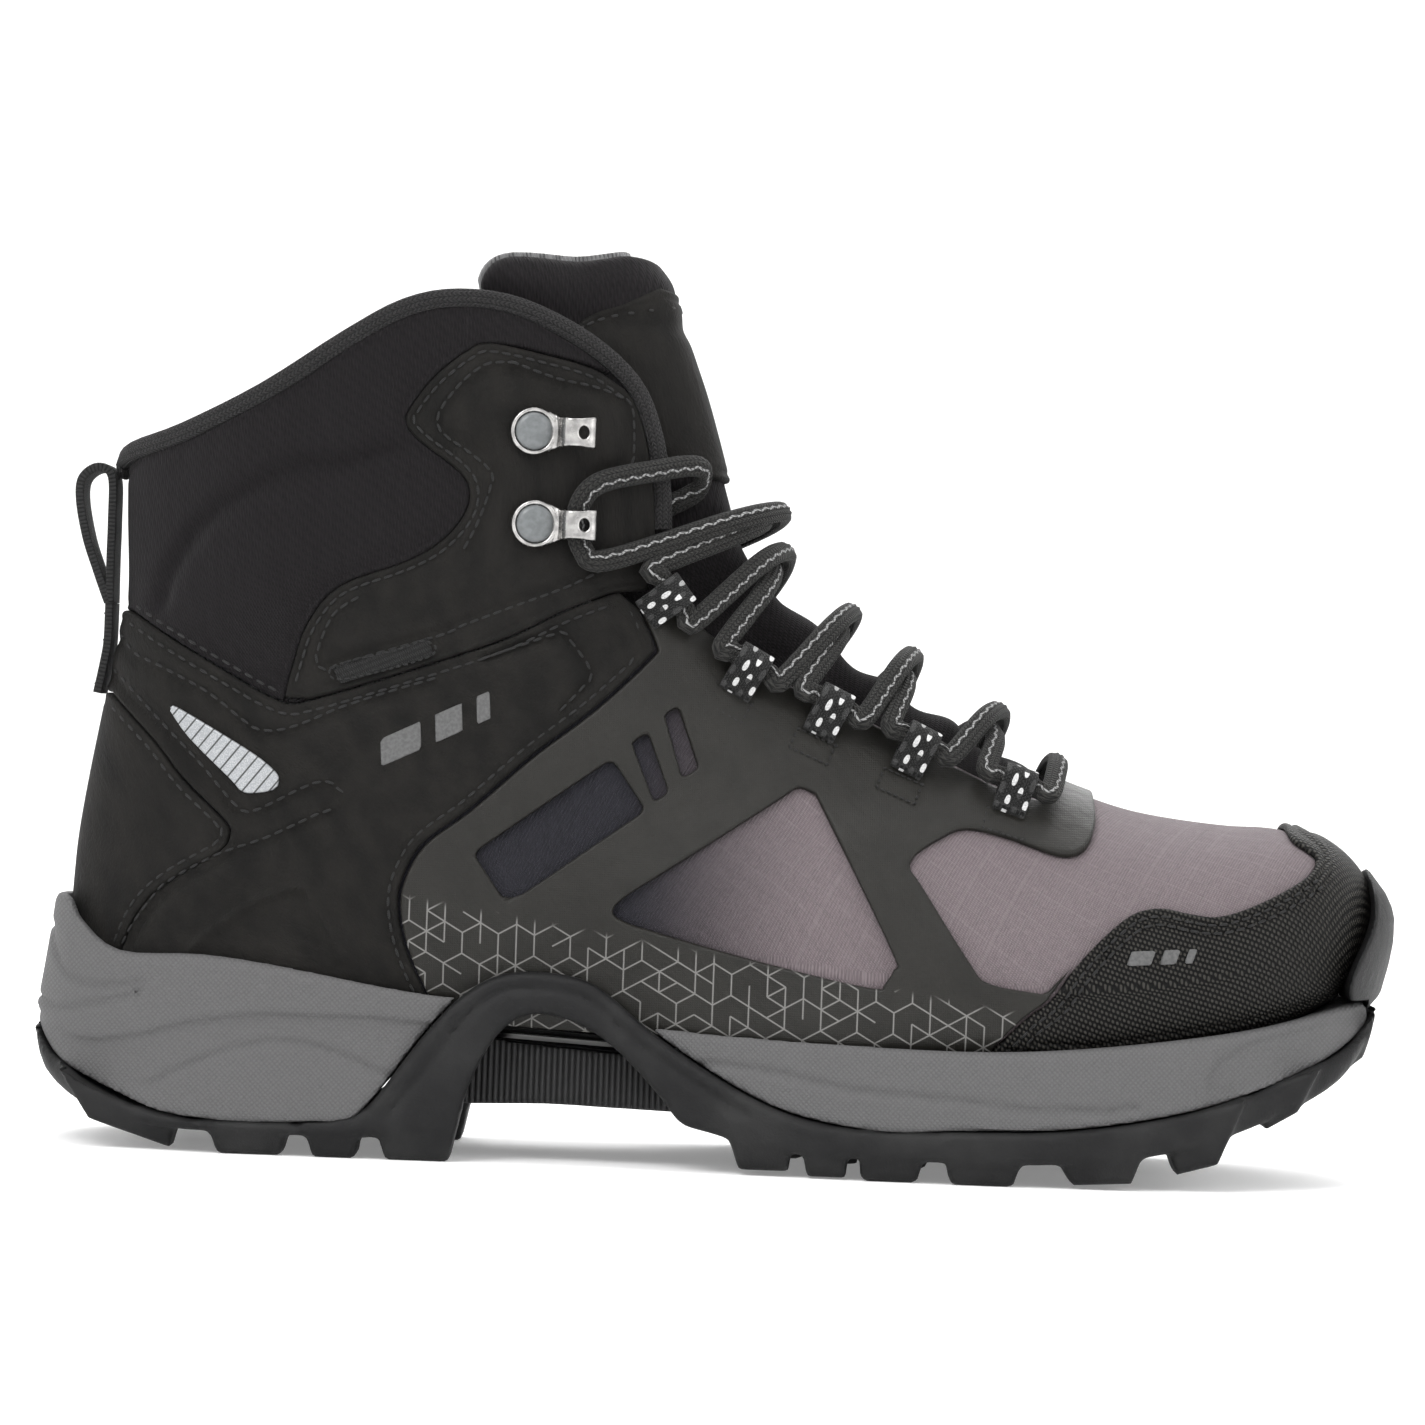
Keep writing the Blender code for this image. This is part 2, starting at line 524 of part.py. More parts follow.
def sole_block(name, grow_low, grow_high, low, high, levels=3, stuff=None):
    """A block with the sole's plan, between two heights along x, leaning from one growth to the other."""
    points, rings = [], []
    for k in range(levels + 1):
        share = k / levels
        loop = plan(grow_low + (grow_high - grow_low) * share)
        z = low(loop[:, 0]) * (1 - share) + high(loop[:, 0]) * share
        rings.append(list(range(len(points), len(points) + len(loop))))
        points += [(x, y, h) for (x, y), h in zip(loop, z)]
    faces = []
    n = len(rings[0])
    for a, b in zip(rings, rings[1:]):
        faces += [(a[i], a[(i + 1) % n], b[(i + 1) % n], b[i]) for i in range(n)]
    for ring, flip in ((rings[0], True), (rings[-1], False)):
        for i in range(n // 2):
            quad = [ring[i], ring[i + 1], ring[(n - i - 1) % n], ring[(n - i) % n]]
            quad = [q for k, q in enumerate(quad) if q not in quad[:k]]
            faces.append(tuple(reversed(quad)) if flip else tuple(quad))
    return add_mesh(name, points, faces, stuff)


def flat(z):
    return lambda x: np.full(len(x), float(z))


def lug(name, quad, low, high):
    """A tread lug: a side view quad between two y values, narrower at its tip."""
    (rear_x, rear_z), (front_x, front_z), (tip_front_x, tip_front_z), (tip_rear_x, tip_rear_z) = quad
    root = [(x, y, z + LUG_ROOT) for x, z in ((rear_x, rear_z), (front_x, front_z)) for y in (low, high)]
    tip = [(x, y, z) for x, z in ((tip_front_x, tip_front_z), (tip_rear_x, tip_rear_z))
           for y in (low + LUG_TAPER, high - LUG_TAPER)]
    return hull(name, root + tip)


def edge_at(x, sign, grow):
    """The y of the sole's edge at x, on the outer (-1) or inner (1) side."""
    line = smooth(PLAN_OUTER if sign < 0 else PLAN_INNER, 8)
    return float(np.interp(x, line[:, 0], line[:, 1])) + sign * grow


def build_sole():
    foot = last_solid("foot_space", SOLE_CLEARANCE)
    under = sorted(OUTSOLE_UNDER)
    tread = OUTSOLE_TOP + OUTSOLE_UNDER
    whole = sole_block("outsole", 5.0, 2.2, flat(-2), flat(60), 3, "rubber")
    cut(whole, prism("outsole_side", tread), "INTERSECT")
    core_space = sole_block("arch_space", -CORE_INSET, -CORE_INSET, flat(1), flat(70), 2)
    settle(cut(core_space, prism("arch_span", ARCH_SPACE), "INTERSECT"))
    cut(whole, core_space)
    cut(whole, prism("arch_window", ARCH_WINDOW))
    cut(whole, foot)
    settle(whole)
    for row, lugs in enumerate((HEEL_LUGS, FORE_LUGS)):
        for i, quad in enumerate(lugs):
            middle = (quad[2][0] + quad[3][0]) / 2
            for sign in (-1, 1):
                grow = OUTER_LUGS_GROW if abs(middle) < END_LUGS_FROM else END_LUGS_GROW
                edge = edge_at(middle, sign, grow)
                inner = edge - sign * min(SIDE_LUG_WIDTH, abs(edge) * 0.45)
                cut(whole, lug(f"lug_{row}_{i}_{sign}", quad, min(edge, inner), max(edge, inner)), "UNION")
            if abs(edge_at(middle, -1, 0)) > 24:
                centre = (edge_at(middle, -1, 0) + edge_at(middle, 1, 0)) / 2
                half = MIDDLE_LUG_WIDTH / 2
                back = [(x + (FORE_LUG_LEAN if row else HEEL_LUG_LEAN), z) for x, z in quad]
                cut(whole, lug(f"lug_{row}_{i}_m", back, centre - half, centre + half), "UNION")
    cut(whole, prism("below_midsole", [*OUTSOLE_TOP, (160, -5), (-160, -5)]), "INTERSECT")
    settle(whole)
    heel_side = [(-160, 60), (-160, 24), (-100, 0), (-60, 0), (-45, 60)]
    fore_side = [(-30, 60), (-14, 5), (160, 5), (160, 60)]
    for name, side, top in (("midsole_heel", heel_side, -0.6), ("midsole_forefoot", fore_side, -0.3)):
        part = sole_block(name, 4.2, top, lambda x: heights(under, x) - 3, lambda x: heights(MIDSOLE_TOP, x),
                          4, "eva_grey")
        cut(part, prism(name + "_side", side), "INTERSECT")
        cut(part, prism(name + "_rubber", grown(tread, GAP)))
        cut(part, prism(name + "_bumper", grown(TOE_BUMPER, GAP)))
        cut(part, foot)
        largest(settle(part))
    core = sole_block("arch_core", -CORE_INSET - GAP, -CORE_INSET - GAP, flat(2), flat(60), 2, "eva_black")
    cut(core, prism("arch_core_side", ARCH_CORE), "INTERSECT")
    cut(core, prism("arch_core_tread", tread), "INTERSECT")
    cut(core, foot)
    largest(settle(core))
    bumper = layer("toe_bumper", "rubber", BUMPER, TOE_BUMPER)
    cut(bumper, prism("toe_bumper_rubber", grown(tread, GAP)))
    largest(settle(bumper))
    return foot


# ---- upper -------------------------------------------------------------------------------------------------
def line(points, steps=2):
    return [tuple(p) for p in smooth(points, steps)]


def build_upper():
    sides = ((-1, "lateral"), (1, "medial"))
    collar, throat = line(COLLAR), line(THROAT)
    strap_top, strap_front = line(STRAP_TOP), line(STRAP_FRONT, 1)
    patch_edge, toe_edge, film_front = line(HEEL_PATCH_EDGE, 1), line(TOE_CAP_EDGE, 1), line(FILM_FRONT, 1)
    panel_rear, tongue_rear = line(HOOK_PANEL_REAR, 1), line(TONGUE_REAR, 1)

    # inner bootie, with its top at the collar and its throat open behind the tongue
    bootie = [(-FAR, 140), *[(x, z - 1) for x, z in collar if x < -62], (-60, 186)]
    bootie += [(x - 2.0, z - 1.0) for x, z in reversed(tongue_rear)][1:]
    bootie += [(88, 76.5), (90, 110), (FAR, 110), (FAR, 0), (-FAR, 0)]
    layer("bootie_lining", "lining", LINING, bootie)
    layer("insole_board", "board", BOARD, [*FLOOR, (FAR, 0), (-FAR, 0)])
    shank = [(-95, 0), (-95, 60), (5, 60), (5, 0)]
    strip = layer("shank", "steel", FILLER, shank)
    filler = layer("bottom_filler", "foam", FILLER, [*[(x, z - 3) for x, z in FLOOR], (FAR, 0), (-FAR, 0)])
    half = SHANK_WIDTH / 2
    settle(cut(strip, box("shank_width", (-120, -half, 10), (30, half, 60)), "INTERSECT"))
    settle(cut(filler, box("shank_slot", (-95 - GAP, -half - GAP, 10), (5 + GAP, half + GAP, 60))))
    layer("heel_counter", "board", STIFFENER,
          [(-FAR, 38), (-80, 38), (-80, 50), (-98, 72), (-118, 88), (-130, 93), (-FAR, 95)])
    layer("toe_puff", "board", STIFFENER,
          [(FAR, 50), (112, 50), (108, 58), (112, 68), (120, 75), (124, 100), (FAR, 100)])
    layer("collar_foam", "foam", COLLAR_FOAM,
          [(-FAR, 120), (-FAR, 150), *[(x, z - 3) for x, z in collar[1:17]], (-62, 182), (-56, 160),
           (-50, 140), (-46, 128), (-60, 118), (-80, 112), (-98, 106), (-120, 116)])

    # base textile: vamp and two quarters, with a seam between them and at the heel
    base_top = [(-FAR, 117), *[(x, z - 2.2) for x, z in strap_top[1:]], (-24, 122), *throat[4:]]
    vamp = [(VAMP_SEAM, 15), (VAMP_SEAM, 97), *[p for p in throat if p[0] > VAMP_SEAM]]
    layer("vamp_textile", "ripstop", TEXTILE, [*vamp, (78, 110), (FAR, 110), (FAR, 15)])
    quarter = [p for p in base_top if p[0] < VAMP_SEAM - GAP]
    quarter += [(VAMP_SEAM - GAP, 97.3), (VAMP_SEAM - GAP, 33), (0, 30), (-60, 33), (-90, 35), (-FAR, 36)]
    for side, word in sides:
        layer(f"quarter_textile_{word}", "softshell", TEXTILE, quarter, side)

    # padded cuff, hook panels and the strap that ties heel to eyestay
    cuff = [(-FAR, 119.3), *[(x, z + GAP) for x, z in strap_top[1:8]], *[(x + 2, z) for x, z in panel_rear[1:]]]
    cuff += [*reversed([p for p in collar if p[0] < -26]), (-FAR, 149)]
    panel = [*panel_rear, *[p for p in collar if p[0] > -23], (-17.5, 128), (-22, 127.6),
             *[(x, z + GAP) for x, z in reversed(strap_top[10:])]]
    largest(layer("cuff", "softshell", CUFF, cuff, holes=[grown(panel, GAP)]))
    for side, word in sides:
        layer(f"hook_panel_{word}", "leather", CUFF, panel, side)
    strap = [*strap_top, (-24, 127), *strap_front, (-63.5, 30.6), (-134, 30.6), *reversed(patch_edge)]
    strap = [(-FAR, 119), *strap, (-FAR, 101)]
    layer("heel_strap", "leather", OVERLAY, strap)
    patch = [(-FAR, 101 - GAP), *[(x - GAP, z - GAP * 0.6) for x, z in patch_edge], (-FAR, 34)]
    layer("heel_patch", "leather", OVERLAY, patch)
    shift = 2 * GAP
    film = [*[(x + shift, z - GAP) for x, z in strap_front], (-62, 30.5), (60, 26),
            *[(x - 0.8, z) for x, z in toe_edge[1:5]], *film_front, *reversed(throat[4:])]
    layer("film_overlay", "film", OVERLAY, film, holes=[WINDOW, SLOT, *BARS])
    feather = [(x, z - 2.4) for x, z in reversed(FLOOR) if x > 61]
    layer("toe_cap", "toe_tpu", OVERLAY, [*toe_edge, (FAR, 100), *feather])

    # trim
    for side, word in sides:
        layer(f"reflector_{word}", "reflective", TRIM, REFLECTOR, side)
    layer("woven_label", "webbing", (1.35, 1.9), LABEL, -1)
    largest(bpy.data.objects["woven_label"])
    build_tongue(tongue_rear)
    build_binding(collar)


def throat_turn(u):
    """The turn of the throat's edge at station u."""
    return np.radians(np.interp(u, *THROAT_TURNS))


def tongue_height(middle, wing):
    """A height that is middle at the throat's top, lower under the laces, and wing under its edges."""
    def height(u, turns):
        t = np.clip((np.abs(turns) / throat_turn(u) - 0.25) / 0.8, 0, 1)
        top = middle - TONGUE_SINK * np.clip((u - 2.6) / 1.4, 0, 1)
        return top + (min(wing, top) - top) * t * t * (3 - 2 * t)
    return height


def tongue_sheet(name, outer, inner, stuff):
    """The space between two heights over the front of the last."""
    turns = np.radians(np.linspace(-TONGUE_TURN, TONGUE_TURN, 19))
    rows = np.linspace(0, TONGUE_END, 19)
    n, count = len(turns), len(turns) * len(rows)
    points = []
    for height in (outer, inner):
        for u in rows:
            points += list(off_last(np.full(n, u), turns, height(u, turns)))
    faces = []
    for base in (0, count):
        faces += [(base + r * n + i, base + r * n + i + 1, base + (r + 1) * n + i + 1, base + (r + 1) * n + i)
                  for r in range(len(rows) - 1) for i in range(n - 1)]
    border = [*range(n), *[r * n + n - 1 for r in range(1, len(rows))], *range(count - 2, count - n - 1, -1),
              *[r * n for r in range(len(rows) - 2, 0, -1)]]
    faces += [(a, b, b + count, a + count) for a, b in zip(border, border[1:] + border[:1])]
    return add_mesh(name, points, faces, stuff)


def build_tongue(rear):
    front = [(70, 120), (60, 215), (-17, 215)]
    whole = [*rear[:-1], *TONGUE_TOP, (-17, 215), *reversed(front[:-1]), (86, 100)]
    hx, hz = TONGUE_HINGE
    above = [(-90, hz + 3.5 + GAP), (hx, hz + GAP / 2), (80, hz + GAP / 2), (80, 230), (-90, 230)]
    below = [(-90, hz + 3.5), (hx, hz - GAP / 2), (120, hz - GAP / 2), (120, 0), (-90, 0)]
    outer, inner = tongue_height(1.0, -7.0), tongue_height(-3.6, -9.6)
    for name, half in (("tongue_base", below), ("tongue_flap", above)):
        obj = tongue_sheet(name, outer, inner, "softshell")
        cut(obj, prism(name + "_outline", whole), "INTERSECT")
        cut(obj, prism(name + "_half", half), "INTERSECT")
        largest(settle(obj))
    patch = tongue_sheet("tongue_patch", tongue_height(2.6, -5.4), tongue_height(1.0 + GAP, -6.65), "leather")
    cut(patch, prism("tongue_patch_outline", TONGUE_PATCH), "INTERSECT")
    largest(settle(patch))
    outer, inner = tongue_height(-3.95, -9.95), tongue_height(-4.95, -10.95)
    backing = tongue_sheet("tongue_lining", outer, inner, "lining")
    inside = grown(whole, -1.0)
    cut(backing, prism("tongue_lining_outline", inside), "INTERSECT")
    cut(backing, prism("tongue_lining_half", above), "INTERSECT")
    largest(settle(backing))


def tube(name, points, radius, stuff, resolution=2):
    """A round cord through points in mm."""
    curve = bpy.data.curves.new(name, "CURVE")
    curve.dimensions = "3D"
    curve.bevel_depth = radius * MM
    curve.bevel_resolution = resolution
    curve.use_fill_caps = True
    spline = curve.splines.new("POLY")
    spline.points.add(len(points) - 1)
    for point, p in zip(spline.points, points):
        point.co = (*(np.asarray(p) * MM), 1)
    return place(bpy.data.objects.new(name, curve), stuff)


def build_binding(collar):
    """Braided binding along the collar's edge, on each side from the heel to the throat."""
    for side, word in ((-1, "lateral"), (1, "medial")):
        edge = np.array(collar[2:])
        ahead = np.gradient(edge, axis=0)
        ahead /= np.linalg.norm(ahead, axis=1)[:, None]
        route = []
        for (x, z), (dx, dz) in zip(edge, ahead):
            u, turn = locate(x, z)
            route.append((x - BINDING_LIFT * dz, off_last(u, -side * turn, -0.3)[1], z + BINDING_LIFT * dx))
        tube(f"collar_binding_{word}", route, BINDING_RADIUS, "webbing", 1)


# ---- footbed and pull loop ---------------------------------------------------------------------------------
def build_footbed():
    bed = last_solid("footbed", LINING[0] - 1.1, "foam")
    top = [(-FAR, 38), (-135, 42.5), (-112, 40), (-75, 38.5), (-22, 35.5), (33, 32.5), (84, 35.5),
           (117, 41.5), (136, 49), (FAR, 52), (FAR, 0), (-FAR, 0)]
    cut(bed, prism("footbed_side", top), "INTERSECT")
    settle(bed)


def build_pull_loop():
    hx, hz = PULL_HINGE
    loop = [(hx - 0.2, hz + 1), (-142.4, 127), (-145.2, 135.5), (-147, 144), (-146.6, 149), (-143.2, 151.5),
            (-140.0, 149.5), (-139.6, 140), (-139.6, 131), (-139.5, hz + 1)]
    path = smooth(loop, 3)
    ahead = np.gradient(path, axis=0)
    ahead /= np.linalg.norm(ahead, axis=1)[:, None]
    out = np.stack([-ahead[:, 1], ahead[:, 0]], 1)
    band = np.vstack([path + out * WEBBING / 2, (path - out * WEBBING / 2)[::-1]])
    ribbon("pull_loop", [(x, z) for x, z in band], "webbing")
    tail = [(hx - WEBBING / 2 - 0.1, hz), (hx + WEBBING / 2 - 0.1, hz), (-141.1, 110), (-142.2, 101),
            (-143.8, 101), (-142.8, 110)]
    ribbon("pull_loop_tail", tail, "webbing")


def ribbon(name, outline, stuff):
    """A flat side view outline, as wide in y as the pull loop's webbing."""
    ring = clean(outline)
    n = len(ring)
    half = PULL_LOOP_WIDTH / 2
    points = [(x, -half, z) for x, z in ring] + [(x, half, z) for x, z in ring]
    faces = [tuple(range(n)), tuple(range(2 * n - 1, n - 1, -1))]
    faces += [(i, (i + 1) % n, n + (i + 1) % n, n + i) for i in range(n)]
    return add_mesh(name, points, faces, stuff)


# ---- lacing ------------------------------------------------------------------------------------------------
def extruded(name, outer, inner, length, stuff, matrix):
    """A 2D outline with a hole, extruded along the frame's X axis."""
    curve = bpy.data.curves.new(name, "CURVE")
    curve.dimensions = "2D"
    curve.fill_mode = "BOTH"
    curve.extrude = length / 2 * MM
    for ring in (outer, inner):
        spline = curve.splines.new("POLY")
        spline.points.add(len(ring) - 1)
        for point, (a, b) in zip(spline.points, ring):
            point.co = (a * MM, b * MM, 0, 1)
        spline.use_cyclic_u = True
    obj = place(bpy.data.objects.new(name, curve), stuff)
    turned = Matrix(((0, 0, 1, 0), (1, 0, 0, 0), (0, 1, 0, 0), (0, 0, 0, 1)))
    obj.matrix_world = matrix @ turned
    return obj


def teardrop(radius, tail, seat):
    """A sleeve's outline: round over the lace, drawn out flat to its sewn end."""
    ring = [(-tail, seat - radius), (-tail, seat - radius + 0.9)]
    ring += [(1.0 + radius * math.cos(a), seat + radius * math.sin(a))
             for a in np.radians(np.linspace(125, -90, 9))]
    return ring


def build_loops():
    bore = LACE_DIAMETER / 2 + 2 * GAP
    for i, ((x, z), heading) in enumerate(zip(LOOPS, LOOP_HEADINGS)):
        for side, word in ((-1, "lateral"), (1, "medial")):
            matrix = frame_on_last(x, z, side, heading)
            outer = teardrop(bore + LOOP_WALL, 6.0, LACE_SEAT + 0.6)
            inner = [(1.0 + bore * math.cos(a), LACE_SEAT + 0.6 + bore * math.sin(a))
                     for a in np.radians(np.arange(0, 360, 36))]
            extruded(f"lace_loop_{word}_{i + 1}", outer, inner, LOOP_LENGTH, "webbing", matrix)


def build_hooks():
    """Riveted lace hooks: a round seat, a neck that rises off it, and a tip folded down beyond the lace."""
    profile = [(-5.2, 1.1), (4.4, 1.1), (5.2, 1.6), (5.7, 5.6), (6.4, 6.4), (12.4, 6.4), (13.2, 5.6),
               (13.2, 1.6), (12.3, 1.6), (12.3, 5.3), (12.0, 5.5), (6.8, 5.5), (6.5, 5.2), (6.2, 0.9),
               (5.2, 0.2), (-5.2, 0.2)]
    for i, (x, z) in enumerate(HOOKS):
        for side, word in ((-1, "lateral"), (1, "medial")):
            seat = frame_on_last(x, z, side, (1, 0), CUFF[1] + GAP)
            name = f"hook_{word}_{i + 1}"
            n = len(profile)
            points = [(a, -6, b) for a, b in profile] + [(a, 6, b) for a, b in profile]
            faces = [tuple(range(n)), tuple(range(2 * n - 1, n - 1, -1))]
            faces += [(k, (k + 1) % n, n + (k + 1) % n, n + k) for k in range(n)]
            hook = add_mesh(name, points, faces, "steel")
            shape = [(5.1 * math.cos(a), 5.1 * math.sin(a)) for a in np.radians(np.arange(50, 315, 20))]
            shape += [(7.0, -4.2), (14.0, -3.4), (14.0, 3.4), (7.0, 4.2)]
            m = len(shape)
            points = [(a, b, -1) for a, b in shape] + [(a, b, 9) for a, b in shape]
            faces = [tuple(range(m)), tuple(range(2 * m - 1, m - 1, -1))]
            faces += [(k, (k + 1) % m, m + (k + 1) % m, m + k) for k in range(m)]
            cut(hook, add_mesh(name + "_plan", points, faces), "INTERSECT")
            settle(hook).matrix_world = seat
            bpy.ops.mesh.primitive_cylinder_add(vertices=20, radius=RIVET_RADIUS * MM, depth=RIVET_HEIGHT * MM)
            rivet = bpy.context.active_object
            rivet.name = f"rivet_{word}_{i + 1}"
            for owner in list(rivet.users_collection):
                owner.objects.unlink(rivet)
            place(rivet, "enamel")
            rivet.matrix_world = seat @ Matrix.Translation((0, 0, (1.1 + GAP + RIVET_HEIGHT / 2) * MM))


def loop_pass(i, side):
    """The lace through one loop: in at its toe end, out at its ankle end."""
    (x, z), heading = LOOPS[i], LOOP_HEADINGS[i]
    matrix = frame_on_last(x, z, side, heading)
    return [np.array(matrix @ Vector((along * MM, 1.0 * MM, (LACE_SEAT + 0.6) * MM))) / MM
            for along in (-7.5, -4.5, 4.5, 7.5)]


def crossing(start, end, lift, shares=(0.2, 0.4, 0.6, 0.8)):
    """Points from one loop's end over the tongue to the next one's start, lift above the last in the middle."""
    start, end = np.array(start), np.array(end)
    spine = last_point(np.linspace(1, 11, 201), 0.0)
    gaps = (spine - (start + end) / 2) * [1, 0, 1]
    sizes = np.linalg.norm(gaps, axis=1)
    near = int(np.argmin(sizes))
    rise = gaps[near] / sizes[near] * (sizes[near] + SKIN + lift)
    return [start + (end - start) * share + rise * math.sin(math.pi * share) ** 0.6 for share in shares]


def lace_strand(first_side):
    """One half of the lace, from the middle of the toe bar up to a hook and into the boot."""
    low, high = LACE_DIAMETER / 2 + 0.6, 1.5 * LACE_DIAMETER + 0.9
    side = first_side
    route = list(loop_pass(0, side))
    for i in range(1, len(LOOPS)):
        side = -side
        ahead = loop_pass(i, side)
        over = high if (i % 2 == 0) == (first_side < 0) else low
        route += crossing(route[-1], ahead[0], over) + ahead
    side = -side
    x, z = HOOKS[0]
    seat = frame_on_last(x, z, side, (1, 0), CUFF[1] + GAP)
    around = [(16.0, -7.5, 3.4), (10.6, -5.2, 2.9), (9.3, 0.0, 2.9), (9.9, 5.2, 2.9), (14.0, 9.6, 3.2)]
    wrap = [np.array(seat @ (Vector(p) * MM)) / MM for p in around]
    over = high if (len(LOOPS) % 2 == 0) == (first_side < 0) else low
    route += crossing(route[-1], wrap[0], over + TOP_SLACK) + wrap
    return route + [on_last(x, z, side, height) for x, z, height in LACE_TUCK]


def thinned(route, slack):
    """The route without the points that lie within slack of a straight line between their neighbours."""
    kept = [route[0]]
    for here, after in zip(route[1:], route[2:]):
        chord = after - kept[-1]
        off = here - kept[-1]
        if np.linalg.norm(np.cross(chord, off)) > slack * np.linalg.norm(chord):
            kept.append(here)
    return np.array([*kept, route[-1]])


def build_lace():
    outer, inner = lace_strand(-1), lace_strand(1)
    bar = crossing(outer[0], inner[0], OVERLAY[1] + LACE_DIAMETER / 2 + 0.8, (0.25, 0.5, 0.75))
    route = thinned(smooth([*reversed(outer), *bar, *inner], 2), 0.25)
    tube("lace", route, LACE_DIAMETER / 2, "lace", 1)


# ---- the boot ----------------------------------------------------------------------------------------------
build_sole()
build_upper()
build_footbed()
build_pull_loop()
build_loops()
build_hooks()
build_lace()
TONGUE_TOP_PIECES = ["tongue_flap", "tongue_patch", "tongue_lining"]
hang(TONGUE_TOP_PIECES, "tongue_fold_axis", (TONGUE_AXIS[0], 0, TONGUE_AXIS[1]))
hang(["pull_loop"], "pull_loop_axis", (PULL_HINGE[0], 0, PULL_HINGE[1]))
hang(["footbed"], "footbed_axis", (FOOTBED_HINGE[0], 0, FOOTBED_HINGE[1]))
for shown in PARTS.objects:
    if shown.type == "MESH":
        shown.data.shade_smooth()
        shown.data.set_sharp_from_angle(angle=math.radians(40))
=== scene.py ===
"""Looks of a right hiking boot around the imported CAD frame: panels, sole, laces, hooks and tongue.

Frame: +X towards the toe, +Z up, -Y the outer (lateral) side. Sizes here are in millimetres, and a mesh is
scaled to metres when it is made. The upper's pieces are cut from one chart of the last, the form that the CAD
model's upper follows. The moulded pieces are level sets of distance fields.
"""

import math

import bpy
import numpy as np
from mathutils import Matrix, Vector
from mathutils.kdtree import KDTree


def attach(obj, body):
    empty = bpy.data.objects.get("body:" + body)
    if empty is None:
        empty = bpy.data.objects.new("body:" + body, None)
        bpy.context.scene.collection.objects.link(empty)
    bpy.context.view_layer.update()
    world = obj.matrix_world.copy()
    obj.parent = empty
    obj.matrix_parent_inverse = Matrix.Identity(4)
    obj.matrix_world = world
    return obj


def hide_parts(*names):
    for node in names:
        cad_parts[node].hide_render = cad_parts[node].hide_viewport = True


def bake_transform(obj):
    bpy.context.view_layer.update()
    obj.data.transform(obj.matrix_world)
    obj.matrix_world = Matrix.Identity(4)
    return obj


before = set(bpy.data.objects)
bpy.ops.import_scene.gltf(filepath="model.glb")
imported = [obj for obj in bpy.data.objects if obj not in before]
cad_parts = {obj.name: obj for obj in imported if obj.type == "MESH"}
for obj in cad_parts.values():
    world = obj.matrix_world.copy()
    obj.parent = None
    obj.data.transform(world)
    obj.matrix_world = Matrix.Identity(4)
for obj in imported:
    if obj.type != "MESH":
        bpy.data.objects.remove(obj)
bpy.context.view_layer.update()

MM = 0.001
SKIN = -1.2  # from the last's outlines, which bound the finished upper, to the level that layers count from
GAP = 0.35

# ---- the last's stations, as in the CAD model --------------------------------------------------------------
# each row: throat end, floor end, front and rear half widths, middle, upper and lower exponents
LAST = [
    ((-20.0, 206.0), (-138.5, 199.5), 38.0, 39.0, 0.50, 2.3, 2.2),
    ((-12.5, 184.0), (-137.5, 168.0), 36.5, 38.0, 0.50, 2.3, 2.2),
    ((-4.0, 161.0), (-137.0, 142.0), 35.0, 36.5, 0.50, 2.2, 2.2),
    ((3.0, 140.5), (-136.5, 122.0), 34.5, 35.0, 0.50, 2.1, 2.2),
    ((14.5, 128.5), (-139.5, 103.0), 34.0, 34.5, 0.50, 2.0, 2.2),
    ((29.0, 117.0), (-143.0, 82.0), 35.5, 34.0, 0.50, 2.0, 2.3),
    ((43.0, 108.5), (-145.0, 62.0), 38.0, 33.5, 0.50, 2.0, 2.5),
    ((55.0, 101.5), (-144.5, 44.0), 41.0, 33.0, 0.52, 2.0, 3.0),
    ((65.5, 95.0), (-136.0, 30.5), 44.5, 33.5, 0.54, 2.0, 4.0),
    ((75.5, 90.0), (-112.0, 27.5), 47.5, 34.0, 0.56, 2.0, 5.0),
    ((85.0, 86.5), (-75.0, 26.5), 49.0, 35.0, 0.60, 2.0, 5.0),
    ((94.0, 84.0), (-22.0, 23.5), 49.0, 39.5, 0.62, 2.0, 5.0),
    ((104.0, 82.5), (33.0, 21.5), 48.5, 47.0, 0.64, 2.1, 4.5),
    ((115.5, 81.5), (84.0, 24.5), 46.5, 48.0, 0.64, 2.2, 4.0),
    ((127.5, 81.0), (117.0, 30.5), 41.0, 42.5, 0.62, 2.3, 3.4),
    ((138.5, 77.5), (137.0, 39.5), 31.0, 31.5, 0.58, 2.3, 2.8),
    ((146.5, 70.5), (147.0, 49.0), 17.5, 17.5, 0.54, 2.2, 2.4),
    ((151.0, 60.0), (151.0, 60.0), 0.0, 0.0, 0.50, 2.0, 2.0),
]
TIP = len(LAST) - 1.0
TOE_SHIFT, TOE_SHIFT_FROM, TOE_SHIFT_OVER = 7.0, 20.0, 130.0
POLE = 0.03  # near the throat's and the floor's middle lines, in radians, a normal has no y
TIP_ROUND = 1.0  # over how many stations the normals turn to +X at the toe's tip


# ---- curves ------------------------------------------------------------------------------------------------
def catmull(a, b, c, d, t):
    square = 2 * a - 5 * b + 4 * c - d
    cube = 3 * b - a - 3 * c + d
    return 0.5 * (2 * b + (c - a) * t + square * t**2 + cube * t**3)


def with_ends(points):
    return np.vstack([2 * points[0] - points[1], points, 2 * points[-1] - points[-2]])


def smooth(points, steps):
    """A Catmull-Rom curve through the points, with that many steps between two of them."""
    p = with_ends(np.asarray(points, float))
    t = np.linspace(0, 1, steps, endpoint=False)[:, None]
    out = [catmull(a, b, c, d, t) for a, b, c, d in zip(p[:-3], p[1:-2], p[2:-1], p[3:])]
    return np.vstack(out + [p[-2:-1]])


